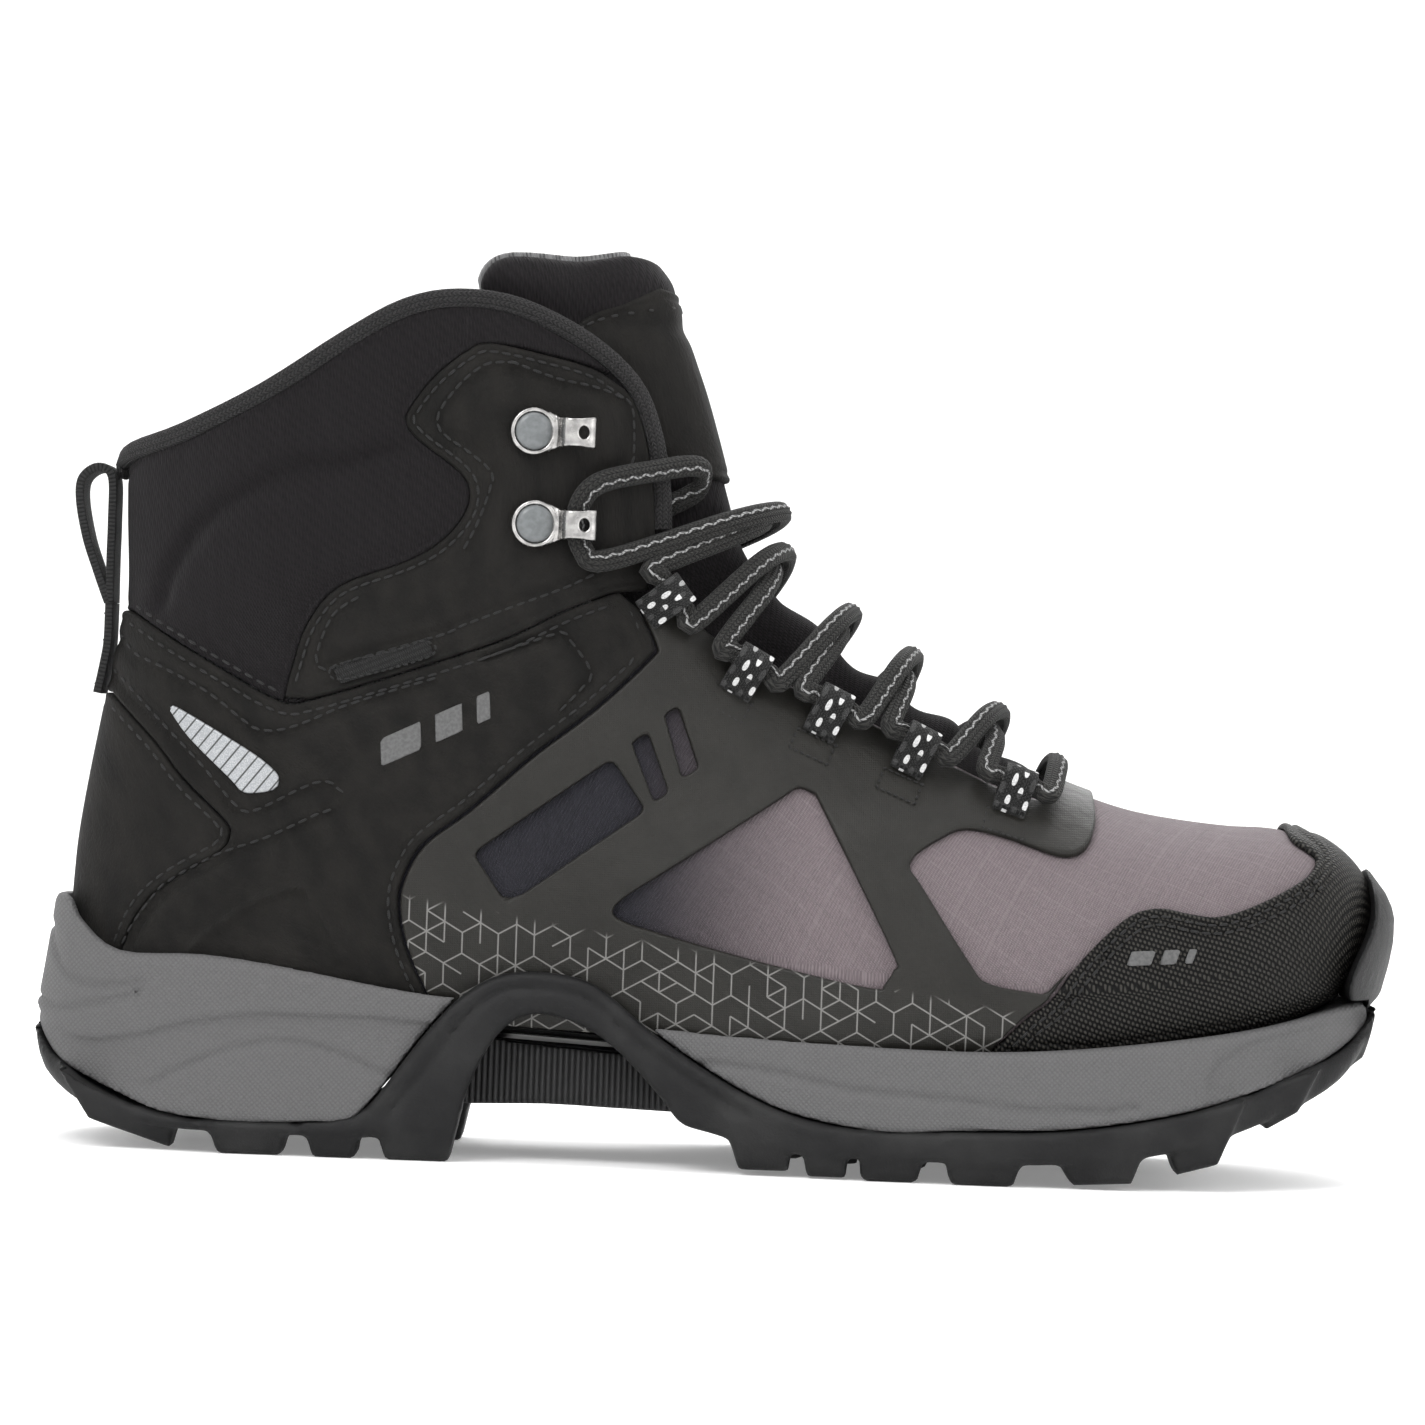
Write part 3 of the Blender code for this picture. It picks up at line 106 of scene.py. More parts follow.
def closed(points, steps):
    """The same through a closed outline's points."""
    ring = [*points[-2:], *points, *points[:3]]
    return smooth(ring, steps)[2 * steps:-2 * steps - 1]


def rounded(corners, radius, steps=5):
    """A closed outline with straight sides and rounded corners."""
    p = np.asarray(corners, float)
    out = []
    for before, here, after in zip(np.roll(p, 1, 0), p, np.roll(p, -1, 0)):
        a, b = (before - here) / np.linalg.norm(before - here), (after - here) / np.linalg.norm(after - here)
        reach = radius / math.tan(math.acos(np.clip(a @ b, -1, 1)) / 2)
        for t in np.linspace(0, 1, steps):
            out.append(here + a * reach * (1 - t)**2 + b * reach * t**2)
    return np.array(out)


def runs(path):
    """The length along a path at each of its points."""
    return np.concatenate([[0], np.cumsum(np.linalg.norm(np.diff(path, axis=0), axis=1))])


def even(path, pitch):
    """The path's points again, that far apart."""
    path = np.asarray(path, float)
    run = runs(path)
    at = np.linspace(0, run[-1], max(2, int(round(run[-1] / pitch)) + 1))
    return np.stack([np.interp(at, run, path[:, k]) for k in range(path.shape[1])], 1)


def headings(path):
    ahead = np.gradient(np.asarray(path, float), axis=0)
    return ahead / np.maximum(np.linalg.norm(ahead, axis=1), 1e-9)[:, None]


def beside(path, distance):
    """A side view path moved to its left by that distance."""
    ahead = headings(path)
    return np.asarray(path, float) + np.stack([-ahead[:, 1], ahead[:, 0]], 1) * distance


# ---- distances in the side view ----------------------------------------------------------------------------
def nearest(points, starts, ends):
    """The distance from each point to the nearest of the segments."""
    along = ends - starts
    length = np.maximum((along**2).sum(1), 1e-9)
    found = np.empty(len(points))
    for i in range(0, len(points), 20000):
        p = points[i:i + 20000, None] - starts
        t = np.clip((p * along).sum(2) / length, 0, 1)
        found[i:i + 20000] = np.sqrt(((p - along * t[..., None])**2).sum(2).min(1))
    return found


def from_path(points, path):
    path = np.asarray(path, float)
    return nearest(points, path[:-1], path[1:])


def inside_by(points, outline):
    """How far each point is inside a closed outline; it is negative outside."""
    a = np.asarray(outline, float)
    b = np.roll(a, -1, 0)
    odd = np.zeros(len(points), bool)
    for (ax, az), (bx, bz) in zip(a, b):
        if az != bz:
            spans = (az > points[:, 1]) != (bz > points[:, 1])
            odd ^= spans & (points[:, 0] < (bx - ax) * (points[:, 1] - az) / (bz - az) + ax)
    return nearest(points, a, b) * np.where(odd, 1, -1)


def bell(distance, width):
    return np.exp(-(distance / width)**2)


def ease(t):
    t = np.clip(t, 0, 1)
    return t * t * (3 - 2 * t)


# ---- the last ----------------------------------------------------------------------------------------------
ROWS_OF_LAST = np.array([[*a, *b, *rest] for a, b, *rest in LAST], float)


def station(u):
    """The last's values at station u, on a Catmull-Rom curve through the rows."""
    p = with_ends(ROWS_OF_LAST)
    u = np.clip(np.asarray(u, float), 0, TIP)
    i = np.minimum(u.astype(int), int(TIP) - 1)
    return catmull(p[i], p[i + 1], p[i + 2], p[i + 3], (u - i)[..., None])


def toe_shift(x):
    return TOE_SHIFT * ease((x - TOE_SHIFT_FROM) / TOE_SHIFT_OVER)


def last_point(u, turn):
    """A point of the last. turn is 0 at the throat, pi at the heel or floor, negative on the inner side."""
    s = station(u)
    ax, az, bx, bz, front, rear, middle, top, low = [s[..., k] for k in range(9)]
    cosine, sine = np.cos(turn), np.abs(np.sin(turn))
    upper = cosine > 0
    power = np.where(upper, 2 / np.maximum(top, 1), 2 / np.maximum(low, 1))
    along = np.abs(cosine)**power
    a = np.where(upper, middle * (1 - along), middle + (1 - middle) * along)
    width = (front + (rear - front) * a * a * (3 - 2 * a)) * sine**power
    x, z = ax + (bx - ax) * a, az + (bz - az) * a
    y = toe_shift(x) - np.sign(turn) * np.maximum(width, 0)
    return np.stack([x, y, z], -1)


def last_normal(u, turn):
    """The last's outward normal, by small steps, turned to +X at the toe's tip."""
    step = 1e-3
    u = np.clip(u, step, TIP - step)
    sign = np.where(np.asarray(turn) < 0, -1.0, 1.0)
    size = np.clip(np.abs(turn), POLE, math.pi - POLE)
    along = last_point(u + step, sign * size) - last_point(u - step, sign * size)
    round_it = last_point(u, sign * (size + step)) - last_point(u, sign * (size - step))
    normal = np.cross(round_it, along) * sign[..., None]
    at_pole = (np.abs(turn) < POLE) | (np.abs(turn) > math.pi - POLE)
    normal = np.where(at_pole[..., None], normal * [1, 0, 1], normal)
    normal /= np.maximum(np.linalg.norm(normal, axis=-1), 1e-9)[..., None]
    share = ease((u - TIP + TIP_ROUND) / TIP_ROUND)[..., None]
    normal = normal * (1 - share) + np.array([1.0, 0, 0]) * share
    return normal / np.linalg.norm(normal, axis=-1)[..., None]


def locate(x, z):
    """(station, turn) of side view points, by halving the range of stations."""
    x, z = np.broadcast_arrays(np.asarray(x, float), np.asarray(z, float))
    low, high = np.zeros(x.shape), np.full(x.shape, TIP)
    for _ in range(32):
        middle = (low + high) / 2
        s = station(middle)
        side = (s[..., 2] - s[..., 0]) * (z - s[..., 1]) - (s[..., 3] - s[..., 1]) * (x - s[..., 0])
        low, high = np.where(side > 0, middle, low), np.where(side > 0, high, middle)
    ax, az, bx, bz, _, _, mid, top, bottom = [station(low)[..., k] for k in range(9)]
    size = np.maximum((bx - ax)**2 + (bz - az)**2, 1e-9)
    a = np.clip(((x - ax) * (bx - ax) + (z - az) * (bz - az)) / size, 0, 1)
    near = np.arccos(np.clip((mid - a) / mid, 0, 1)**(top / 2))
    far = math.pi - np.arccos(np.clip((a - mid) / (1 - mid), 0, 1)**(bottom / 2))
    return low, np.where(a < mid, near, far)


def on_last(x, z, side, height=0.0):
    """Points that many mm above the last, and their normals.

    side is -1 on the outer side of the boot and 1 on its inner side.
    """
    u, turn = locate(x, z)
    normal = last_normal(u, -side * turn)
    return last_point(u, -side * turn) + normal * (np.asarray(height) + SKIN)[..., None], normal


def frame_on_last(x, z, side, heading, height=0.0):
    """A matrix in metres: Z out of the last, X along the side view heading, Y up. It may mirror."""
    origin, normal = on_last(np.array(x), np.array(z), side, height)
    out = Vector(normal)
    ahead = Vector((heading[0], 0, heading[1]))
    ahead = (ahead - out * ahead.dot(out)).normalized()
    up = out.cross(ahead)
    if up.z < 0:
        up = -up
    columns = Matrix((ahead, up, out)).transposed().to_4x4()
    return Matrix.Translation(Vector(origin) * MM) @ columns


# ---- making pieces -----------------------------------------------------------------------------------------
def tree_of(points):
    """A search tree that finds the nearest of the points by its number."""
    tree = KDTree(len(points))
    for number, point in enumerate(points):
        tree.insert(point, number)
    tree.balance()
    return tree


def in_scene(name, data):
    obj = bpy.data.objects.new(name, data)
    bpy.context.scene.collection.objects.link(obj)
    return obj


def volume(points, faces):
    """Six times the signed volume that the faces bound."""
    a, b, c = points[faces[:, 0]], points[faces[:, 1]], points[faces[:, 2]]
    found = np.einsum("ij,ij->", a, np.cross(b, c))
    if faces.shape[1] == 4:
        found += np.einsum("ij,ij->", a, np.cross(c, points[faces[:, 3]]))
    return found


def piece(name, form, stuff, body="boot", nodes=(), sharp=42):
    """A mesh object riding on a body, from (points, faces) or (points, faces, cloth) in mm.

    The faces are all triangles or all quads. cloth holds each point's place in the cloth, with its distance
    from the edge as the third number.
    """
    points, faces = np.asarray(form[0], float), np.asarray(form[1])
    if volume(points, faces) < 0:
        faces = faces[:, ::-1]
    mesh = bpy.data.meshes.new(name)
    mesh.vertices.add(len(points))
    mesh.vertices.foreach_set("co", (points * MM).ravel())
    mesh.loops.add(faces.size)
    mesh.loops.foreach_set("vertex_index", faces.ravel().astype(np.int32))
    mesh.polygons.add(len(faces))
    mesh.polygons.foreach_set("loop_start", np.arange(0, faces.size, faces.shape[1], dtype=np.int32))
    mesh.update(calc_edges=True)
    mesh.validate()
    if len(form) > 2:
        layer = mesh.attributes.new("cloth", "FLOAT_VECTOR", "POINT")
        layer.data.foreach_set("vector", np.asarray(form[2], np.float32).ravel())
    mesh.materials.append(stuff)
    mesh.shade_smooth()
    mesh.set_sharp_from_angle(angle=math.radians(sharp))
    obj = in_scene(name, mesh)
    if body:
        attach(obj, body)
    if nodes:
        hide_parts(*nodes)
    return obj


def joined(parts):
    """Several (points, faces, cloth) as one."""
    points, faces, cloths, start = [], [], [], 0
    for p, f, c in parts:
        points.append(p)
        faces.append(np.asarray(f) + start)
        cloths.append(np.zeros((len(p), 3)) if c is None else c)
        start += len(p)
    return np.vstack(points), np.vstack(faces), np.vstack(cloths)


# ---- the chart: a fine grid over the last, from which the upper's sheets are cut ---------------------------
P, N, U, TURN, Q, D = slice(0, 3), slice(3, 6), 6, 7, 8, 9


def chart_places(rows, columns):
    """Stations and turns of the grid: even along the throat and the floor, and even round each station."""
    fine = np.linspace(0, TIP, 400)
    spine = runs(last_point(fine, np.full(400, 0.0)))
    floor = runs(last_point(fine, np.full(400, math.pi)))
    turns = np.linspace(0, math.pi, 241)
    arcs = np.linalg.norm(np.diff(last_point(fine[:, None], turns[None]), axis=1), axis=2)
    arcs = np.concatenate([np.zeros((400, 1)), np.cumsum(arcs, 1)], 1)
    arcs[-1] = arcs[-2] * 1e-3
    shares = np.linspace(0, 1, 241)
    table = np.array([np.interp(shares * arc[-1], arc, turns) for arc in arcs])
    t = np.linspace(0, 1, rows)[:, None]
    s = (-1 + 2 * np.arange(columns) / columns)[None]
    along_spine = np.interp(t, spine / spine[-1], fine)
    along_floor = np.interp(t, floor / floor[-1], fine)
    u = along_spine * (1 - np.abs(s)) + along_floor * np.abs(s)
    row, column = u / TIP * 399, np.abs(s) * 240 + 0 * u
    i, j = np.minimum(row.astype(int), 398), np.minimum(column.astype(int), 239)
    a, b = row - i, column - j
    near = table[i, j] * (1 - b) + table[i, j + 1] * b
    far = table[i + 1, j] * (1 - b) + table[i + 1, j + 1] * b
    reach = np.interp(u, fine, arcs[:, -1]) * np.abs(s)
    return u, (near * (1 - a) + far * a) * np.where(s < 0, -1, 1), reach


def build_chart(rows, columns):
    u, turn, reach = chart_places(rows, columns)
    chart = np.zeros((rows, columns, 10))
    chart[..., P] = last_point(u, turn)
    chart[..., N] = last_normal(u, turn)
    chart[..., U], chart[..., TURN], chart[..., Q] = u, np.abs(turn), reach
    index = np.arange(rows * columns).reshape(rows, columns)
    index[-1] = index[-1, 0]
    a, b = index[:-1], index[1:]
    quads = np.stack([a, np.roll(a, -1, 1), np.roll(b, -1, 1), b], -1).reshape(-1, 4)
    triangles = np.vstack([quads[:, [0, 1, 2]], quads[:, [0, 2, 3]]])
    good = (triangles[:, 0] != triangles[:, 1]) & (triangles[:, 1] != triangles[:, 2])
    good &= triangles[:, 0] != triangles[:, 2]
    return chart.reshape(-1, 10), triangles[good]


FINE, MEDIUM, COARSE = build_chart(540, 430), build_chart(370, 296), build_chart(240, 200)
CHART = FINE[0]


def split(rows, triangles, level):
    """The triangles cut along the line where column D has that level."""
    field = rows[:, D] - level
    field[np.abs(field) < 1e-7] = 1e-7
    above = field > 0
    count = above[triangles].sum(1)
    whole = triangles[(count == 0) | (count == 3)]
    crossed = triangles[(count == 1) | (count == 2)]
    if not len(crossed):
        return rows, triangles
    single = above[crossed] == (above[crossed].sum(1) == 1)[:, None]
    first = single.argmax(1)
    a, b, c = [np.take_along_axis(crossed, ((first + k) % 3)[:, None], 1)[:, 0] for k in range(3)]
    ends = np.sort(np.vstack([np.stack([a, b], 1), np.stack([a, c], 1)]), 1)
    edges, where = np.unique(ends, axis=0, return_inverse=True)
    where = where.reshape(-1)
    share = field[edges[:, 0]] / (field[edges[:, 0]] - field[edges[:, 1]])
    new = rows[edges[:, 0]] + (rows[edges[:, 1]] - rows[edges[:, 0]]) * share[:, None]
    new[:, D] = level
    ab, ac = len(rows) + where[:len(a)], len(rows) + where[len(a):]
    pieces = [whole, np.stack([a, ab, ac], 1), np.stack([ab, b, c], 1), np.stack([ab, c, ac], 1)]
    return np.vstack([rows, new]), np.vstack(pieces)


def compact(rows, triangles):
    used, index = np.unique(triangles, return_inverse=True)
    return rows[used], index.reshape(-1, 3)


def rim(triangles):
    """The directed edges that only one triangle has."""
    ends = np.vstack([triangles[:, [0, 1]], triangles[:, [1, 2]], triangles[:, [2, 0]]])
    _, where, count = np.unique(np.sort(ends, 1), axis=0, return_inverse=True, return_counts=True)
    return ends[count[where.reshape(-1)] == 1]


def side_view(rows, height):
    return (rows[:, P] + rows[:, N] * (height + SKIN)[:, None])[:, [0, 2]]


def cut_rows(grid, outline, height, side=0, holes=(), limit=None):
    """The chart's rows and triangles inside a side view outline and outside the holes.

    Column D of the rows becomes the distance from the cut.
    """
    chart, triangles = grid
    outline = np.asarray(outline, float)
    seen = side_view(chart, height(chart))
    low, high = outline.min(0) - 1.5, outline.max(0) + 1.5
    near = ((seen > low) & (seen < high)).all(1)
    rows = chart.copy()
    rows[:, D] = -9.0
    depth = inside_by(seen[near], outline)
    for hole in holes:
        depth = np.minimum(depth, -inside_by(seen[near], hole))
    if side:
        depth = np.minimum(depth, side * (rows[near, 1] - toe_shift(rows[near, 0])) - GAP / 2)
    if limit is not None:
        depth = np.minimum(depth, limit(rows[near]))
    rows[near, D] = depth
    touching = (rows[triangles, D] > 0).any(1)
    rows, triangles = compact(rows, triangles[touching])
    rows, triangles = split(rows, triangles, 0.0)
    inside = (rows[triangles, D] >= 0).all(1)
    return compact(rows, triangles[inside])


LIP_STEPS = (0.08, 0.3, 0.65, 1.0)


def lip_drop(depth, lip):
    share = np.clip(1 - depth / lip, 0, 1)
    return lip * (1 - np.sqrt(1 - share**2))


def sheet(outline, span, side=0, holes=(), lip=0.5, under_lip=0.0, relief=None, limit=None, grid=FINE):
    """A closed sheet between two heights over the last, rounded at its edge, as (points, faces, cloth).

    relief(rows, seen) is added to the outer height, where seen is the side view place of each row.
    """
    bottom, top = [h if callable(h) else (lambda rows, h=h: np.full(len(rows), float(h))) for h in span]
    rows, triangles = cut_rows(grid, outline, top, side, holes, limit)
    for share in LIP_STEPS:
        rows, triangles = split(rows, triangles, share * max(lip, under_lip))
    high, low = top(rows), bottom(rows)
    if relief is not None:
        high = high + relief(rows, side_view(rows, high))
    high = high - lip_drop(rows[:, D], lip)
    if under_lip:
        low = low + lip_drop(rows[:, D], under_lip)
    low = np.minimum(low, high - 0.05)
    upper = rows[:, P] + rows[:, N] * (high + SKIN)[:, None]
    lower = rows[:, P] + rows[:, N] * (low + SKIN)[:, None]
    n = len(rows)
    edge = rim(triangles)
    a, b = edge[:, 0], edge[:, 1]
    walls = np.vstack([np.stack([b, a, a + n], 1), np.stack([b, a + n, b + n], 1)])
    faces = np.vstack([triangles, triangles[:, ::-1] + n, walls])
    cloth = np.stack([rows[:, 0], rows[:, Q], rows[:, D]], 1)
    return np.vstack([upper, lower]), faces, np.vstack([cloth, cloth])


def located(spots):
    """Chart rows that hold just the stations and turns of side view points."""
    rows = np.zeros((len(spots), 10))
    rows[:, U], rows[:, TURN] = locate(spots[:, 0], spots[:, 1])
    return rows


# ---- stitches ----------------------------------------------------------------------------------------------
STITCH_SIDES, STITCH_RINGS = 6, (-1.0, -0.75, 0.0, 0.75, 1.0)


def capsules(centres, aheads, outs, length, radius, flat=1.0):
    """Short rounded threads, one at each centre, as (points, faces, cloth)."""
    centres, aheads, outs = [np.asarray(v, float) for v in (centres, aheads, outs)]
    aside = np.cross(aheads, outs)
    angles = np.arange(STITCH_SIDES) * 2 * math.pi / STITCH_SIDES
    rings = []
    for k in STITCH_RINGS:
        r = radius * math.sqrt(max(1 - abs(k)**4, 0.06))
        for angle in angles:
            rings.append(centres + aheads * k * length / 2 + aside * r * math.cos(angle)
                         + outs * r * flat * math.sin(angle))
    m, n = len(rings), len(centres)
    points = np.stack(rings, 1).reshape(-1, 3)
    one = []
    for r in range(len(STITCH_RINGS) - 1):
        for i in range(STITCH_SIDES):
            j = (i + 1) % STITCH_SIDES
            a, b, c, d = (r * STITCH_SIDES + i, r * STITCH_SIDES + j,
                          (r + 1) * STITCH_SIDES + j, (r + 1) * STITCH_SIDES + i)
            one += [(a, b, c), (a, c, d)]
    last = (len(STITCH_RINGS) - 1) * STITCH_SIDES
    for i in range(1, STITCH_SIDES - 1):
        one += [(0, i + 1, i), (last, last + i, last + i + 1)]
    faces = (np.array(one)[None] + np.arange(n)[:, None, None] * m).reshape(-1, 3)
    return points, faces, np.zeros((len(points), 3))


def sewn(path, side, height, pitch=3.1, length=2.1, radius=0.33):
    """A row of stitches along a side view path, on one side of the upper.

    height is a number, or a function of chart rows.
    """
    spots = even(path, pitch)
    ahead = headings(spots)
    level = np.full(len(spots), height) if not callable(height) else height(located(spots))
    places, normals = on_last(spots[:, 0], spots[:, 1], side, level)
    further, _ = on_last(spots[:, 0] + ahead[:, 0] * 0.5, spots[:, 1] + ahead[:, 1] * 0.5, side, level)
    run = further - places
    run -= normals * (run * normals).sum(1)[:, None]
    run /= np.maximum(np.linalg.norm(run, axis=1), 1e-9)[:, None]
    return capsules(places, run, normals, length, radius, 0.8)


# ---- materials ---------------------------------------------------------------------------------------------
class Surface:
    """One material: values on the shader's own sockets, and short calls that add nodes."""

    def __init__(self, name, roughness=0.6, **values):
        self.made = bpy.data.materials.new(name)
        self.made.use_nodes = True
        self.nodes = self.made.node_tree.nodes
        self.links = self.made.node_tree.links
        self.shader = self.nodes["Principled BSDF"]
        self.shader.inputs["Roughness"].default_value = roughness
        self.shader.inputs["Specular IOR Level"].default_value = 0.28
        for key, value in values.items():
            self.shader.inputs[key.replace("_", " ")].default_value = value
        self.place = self.node("VectorMath", [self.node("TexCoord", output="Object"), (1000, 1000, 1000)],
                               operation="MULTIPLY")
        self.cloth = self.node("Attribute", output="Vector", attribute_name="cloth")

    def feed(self, socket, value):
        if isinstance(value, bpy.types.NodeSocket):
            self.links.new(value, socket)
        else:
            socket.default_value = value

    def node(self, kind, inputs=(), output=0, **settings):
        made = self.nodes.new("ShaderNode" + kind)
        for key, value in settings.items():
            setattr(made, key, value)
        pairs = inputs.items() if isinstance(inputs, dict) else enumerate(inputs)
        for key, value in pairs:
            self.feed(made.inputs[key], value)
        return made.outputs[output]

    def calc(self, operation, a, b=0.0):
        return self.node("Math", [a, b], operation=operation)

    def total(self, *terms):
        result = terms[0]
        for term in terms[1:]:
            result = self.calc("ADD", result, term)
        return result

    def axis(self, vector, k):
        return self.node("SeparateXYZ", [vector], output=k)

    def spread(self, vector, x=1.0, y=1.0, z=1.0):
        return self.node("VectorMath", [vector, (x, y, z)], operation="MULTIPLY")

    def noise(self, vector, scale, detail=3.0, output="Fac"):
        return self.node("TexNoise", {"Vector": vector, "Scale": scale, "Detail": detail}, output=output)

    def cells(self, vector, scale, feature="F1", output="Distance"):
        return self.node("TexVoronoi", {"Vector": vector, "Scale": scale}, output=output, feature=feature)

    def between(self, value, low, high):
        inputs = {"Value": value, "From Min": low, "From Max": high}
        return self.node("MapRange", inputs, interpolation_type="SMOOTHSTEP")

    def mix(self, share, a, b):
        a, b = [(*c, 1.0) if isinstance(c, tuple) else c for c in (a, b)]
        return self.node("Mix", {0: share, 6: a, 7: b}, output=2, data_type="RGBA")

    def bump(self, *layers):
        """Each layer is a height from 0 to 1 and what it stands for in mm."""
        normal = None
        for height, depth in layers:
            inputs = {"Height": height, "Distance": depth * MM, "Strength": 1.0}
            if normal is not None:
                inputs["Normal"] = normal
            normal = self.node("Bump", inputs)
        self.feed(self.shader.inputs["Normal"], normal)

    def colour(self, value):
        if isinstance(value, tuple):
            value = (*value, 1.0)
        self.feed(self.shader.inputs["Base Color"], value)

    def domes(self, x, y, width, height, stagger=0.0):
        """A grid of domes; every second row is moved along by stagger of a width."""
        row = self.calc("DIVIDE", y, height)
        odd = self.calc("MODULO", self.calc("FLOOR", row), 2.0)
        column = self.calc("ADD", self.calc("DIVIDE", x, width), self.calc("MULTIPLY", odd, stagger))
        return self.calc("MULTIPLY", self.arches(row), self.arches(column))

    def axes(self, vector, *numbers):
        return [self.axis(vector, k) for k in numbers]

    def arches(self, value, pitch=1.0):
        """A row of half waves, each as wide as the pitch."""
        return self.calc("ABSOLUTE", self.calc("SINE", self.calc("MULTIPLY", value, math.pi / pitch)))

    def off_middle(self, value, pitch):
        """How far a value is from the middle of its cell, as a share of the pitch."""
        return self.calc("ABSOLUTE", self.calc("SUBTRACT", self.calc("FRACT",
                                                                     self.calc("DIVIDE", value, pitch)), 0.5))

    def weighed(self, a, share, b):
        """share of a and the rest of b."""
        return self.calc("ADD", self.calc("MULTIPLY", a, share), self.calc("MULTIPLY", b, 1 - share))

    def ribs(self, along, pitch):
        """Round ribs across a direction, from 0 to 1."""
        wave = self.calc("SINE", self.calc("MULTIPLY", along, 2 * math.pi / pitch))
        return self.between(wave, -1.0, 1.0)

    def knit(self, x, y, pitch):
        """Rows of small V-shaped stitches."""
        across = self.arches(x, pitch)
        lean = self.calc("MULTIPLY", across, 0.45)
        row = self.calc("ADD", self.calc("DIVIDE", y, pitch * 0.8), lean)
        return self.calc("MULTIPLY", self.arches(row), self.calc("POWER", across, 0.5))


BLACK_RUBBER, RUBBER_DUST = (0.0055, 0.0055, 0.0058), (0.0135, 0.0135, 0.0135)
EVA_GREY, EVA_LIGHT = (0.069, 0.068, 0.069), (0.096, 0.095, 0.096)
LEATHER_DARK, LEATHER_LIGHT = (0.0032, 0.0030, 0.0026), (0.0088, 0.0080, 0.0070)
FILM_DARK, FILM_LIGHT, FILM_PRINT = (0.0078, 0.0073, 0.0060), (0.0122, 0.0115, 0.0096), (0.175, 0.172, 0.165)
MAUVE_DARK, MAUVE_LIGHT = (0.090, 0.073, 0.079), (0.160, 0.132, 0.140)
NAVY = (0.0045, 0.0045, 0.0070)
KNIT_DARK, KNIT_LIGHT = (0.0028, 0.0023, 0.0027), (0.0085, 0.0070, 0.0080)
BLACK_THREAD, GREY_THREAD = (0.013, 0.013, 0.013), (0.27, 0.27, 0.27)

# pitches of the materials' patterns, in mm
ARCH_RIB_PITCH, THREAD_TWIST, REFLECTOR_LINES = 1.3, 0.42, 2.3
RIPSTOP_THREAD, RIPSTOP_GRID, RIPSTOP_SLANT, NAVY_FADE = 0.62, 4.6, 0.35, 48.0
BRAID_ROW, BRAID_STRAND, FLECK_LENGTH, FLECK_WIDTH = 1.35, 1.05, 5.0, 2.1
PRINT_SIDE, PRINT_LINE, PRINT_TOP = 4.6, 0.055, (48.5, 46.5)


def rubber():
    s = Surface("moulded_rubber", 0.54, Specular_IOR_Level=0.20)
    grain = s.noise(s.place, 2.2, 4)
    s.colour(s.mix(s.between(s.noise(s.place, 0.06, 3), 0.4, 0.72), BLACK_RUBBER, RUBBER_DUST))
    s.feed(s.shader.inputs["Roughness"], s.node("MapRange", {"Value": grain, "To Min": 0.46, "To Max": 0.68}))
    s.bump((grain, 0.10), (s.noise(s.place, 0.25, 2), 0.25))
    return s.made


def grey_foam():
    """Moulded foam: a fine woven look in its upper band, smooth and pebbled elsewhere."""
    s = Surface("midsole_foam", 0.72)
    x, z = s.axes(s.place, 0, 2)
    weave = s.domes(s.calc("ADD", x, z), s.calc("SUBTRACT", x, z), 1.15, 1.15)
    pores = s.noise(s.place, 2.6, 4)
    s.colour(s.mix(s.between(s.weighed(weave, 0.35, pores), 0.15, 0.75), EVA_GREY, EVA_LIGHT))
    s.bump((weave, 0.10), (pores, 0.12), (s.noise(s.place, 0.12, 2), 0.30))
    return s.made


def ribbed_foam():
    s = Surface("arch_foam", 0.55)
    wave = s.arches(s.axis(s.place, 0), ARCH_RIB_PITCH)
    s.colour(s.mix(wave, (0.004, 0.004, 0.004), (0.017, 0.017, 0.0175)))
    s.bump((wave, 0.45), (s.noise(s.place, 3.0, 3), 0.06))
    return s.made


def nubuck():
    """Matte synthetic leather with a pebbled grain and a dusty bloom."""
    s = Surface("strap_leather", 0.78, Specular_IOR_Level=0.16, Sheen_Weight=0.012, Sheen_Roughness=0.5)
    pebbles = s.cells(s.cloth, 1.5)
    fine = s.noise(s.cloth, 3.5, 4)
    bloom = s.noise(s.cloth, 0.11, 4)
    s.colour(s.mix(s.between(s.weighed(bloom, 0.7, fine), 0.32, 0.68), LEATHER_DARK, LEATHER_LIGHT))
    s.bump((pebbles, 0.12), (fine, 0.10), (s.noise(s.cloth, 0.35, 2), 0.25))
    return s.made


def toe_sheet():
    """Rubberised sheet moulded with a brick grid of small domes, its colour painted light on their tops and
    dark between them: painted highlights and painted shade.
    """
    s = Surface("toe_cap_sheet", 0.55, Specular_IOR_Level=0.12)
    dome = s.domes(s.axis(s.cloth, 0), s.axis(s.cloth, 1), 1.0, 1.15, 0.5)
    # painted highlights on the domes' tops and painted shade between them
    s.colour(s.mix(s.between(dome, 0.35, 0.85), (0.0012, 0.0012, 0.0012), (0.036, 0.034, 0.030)))
    s.bump((dome, 0.30), (s.noise(s.cloth, 3.0, 3), 0.06))
    return s.made


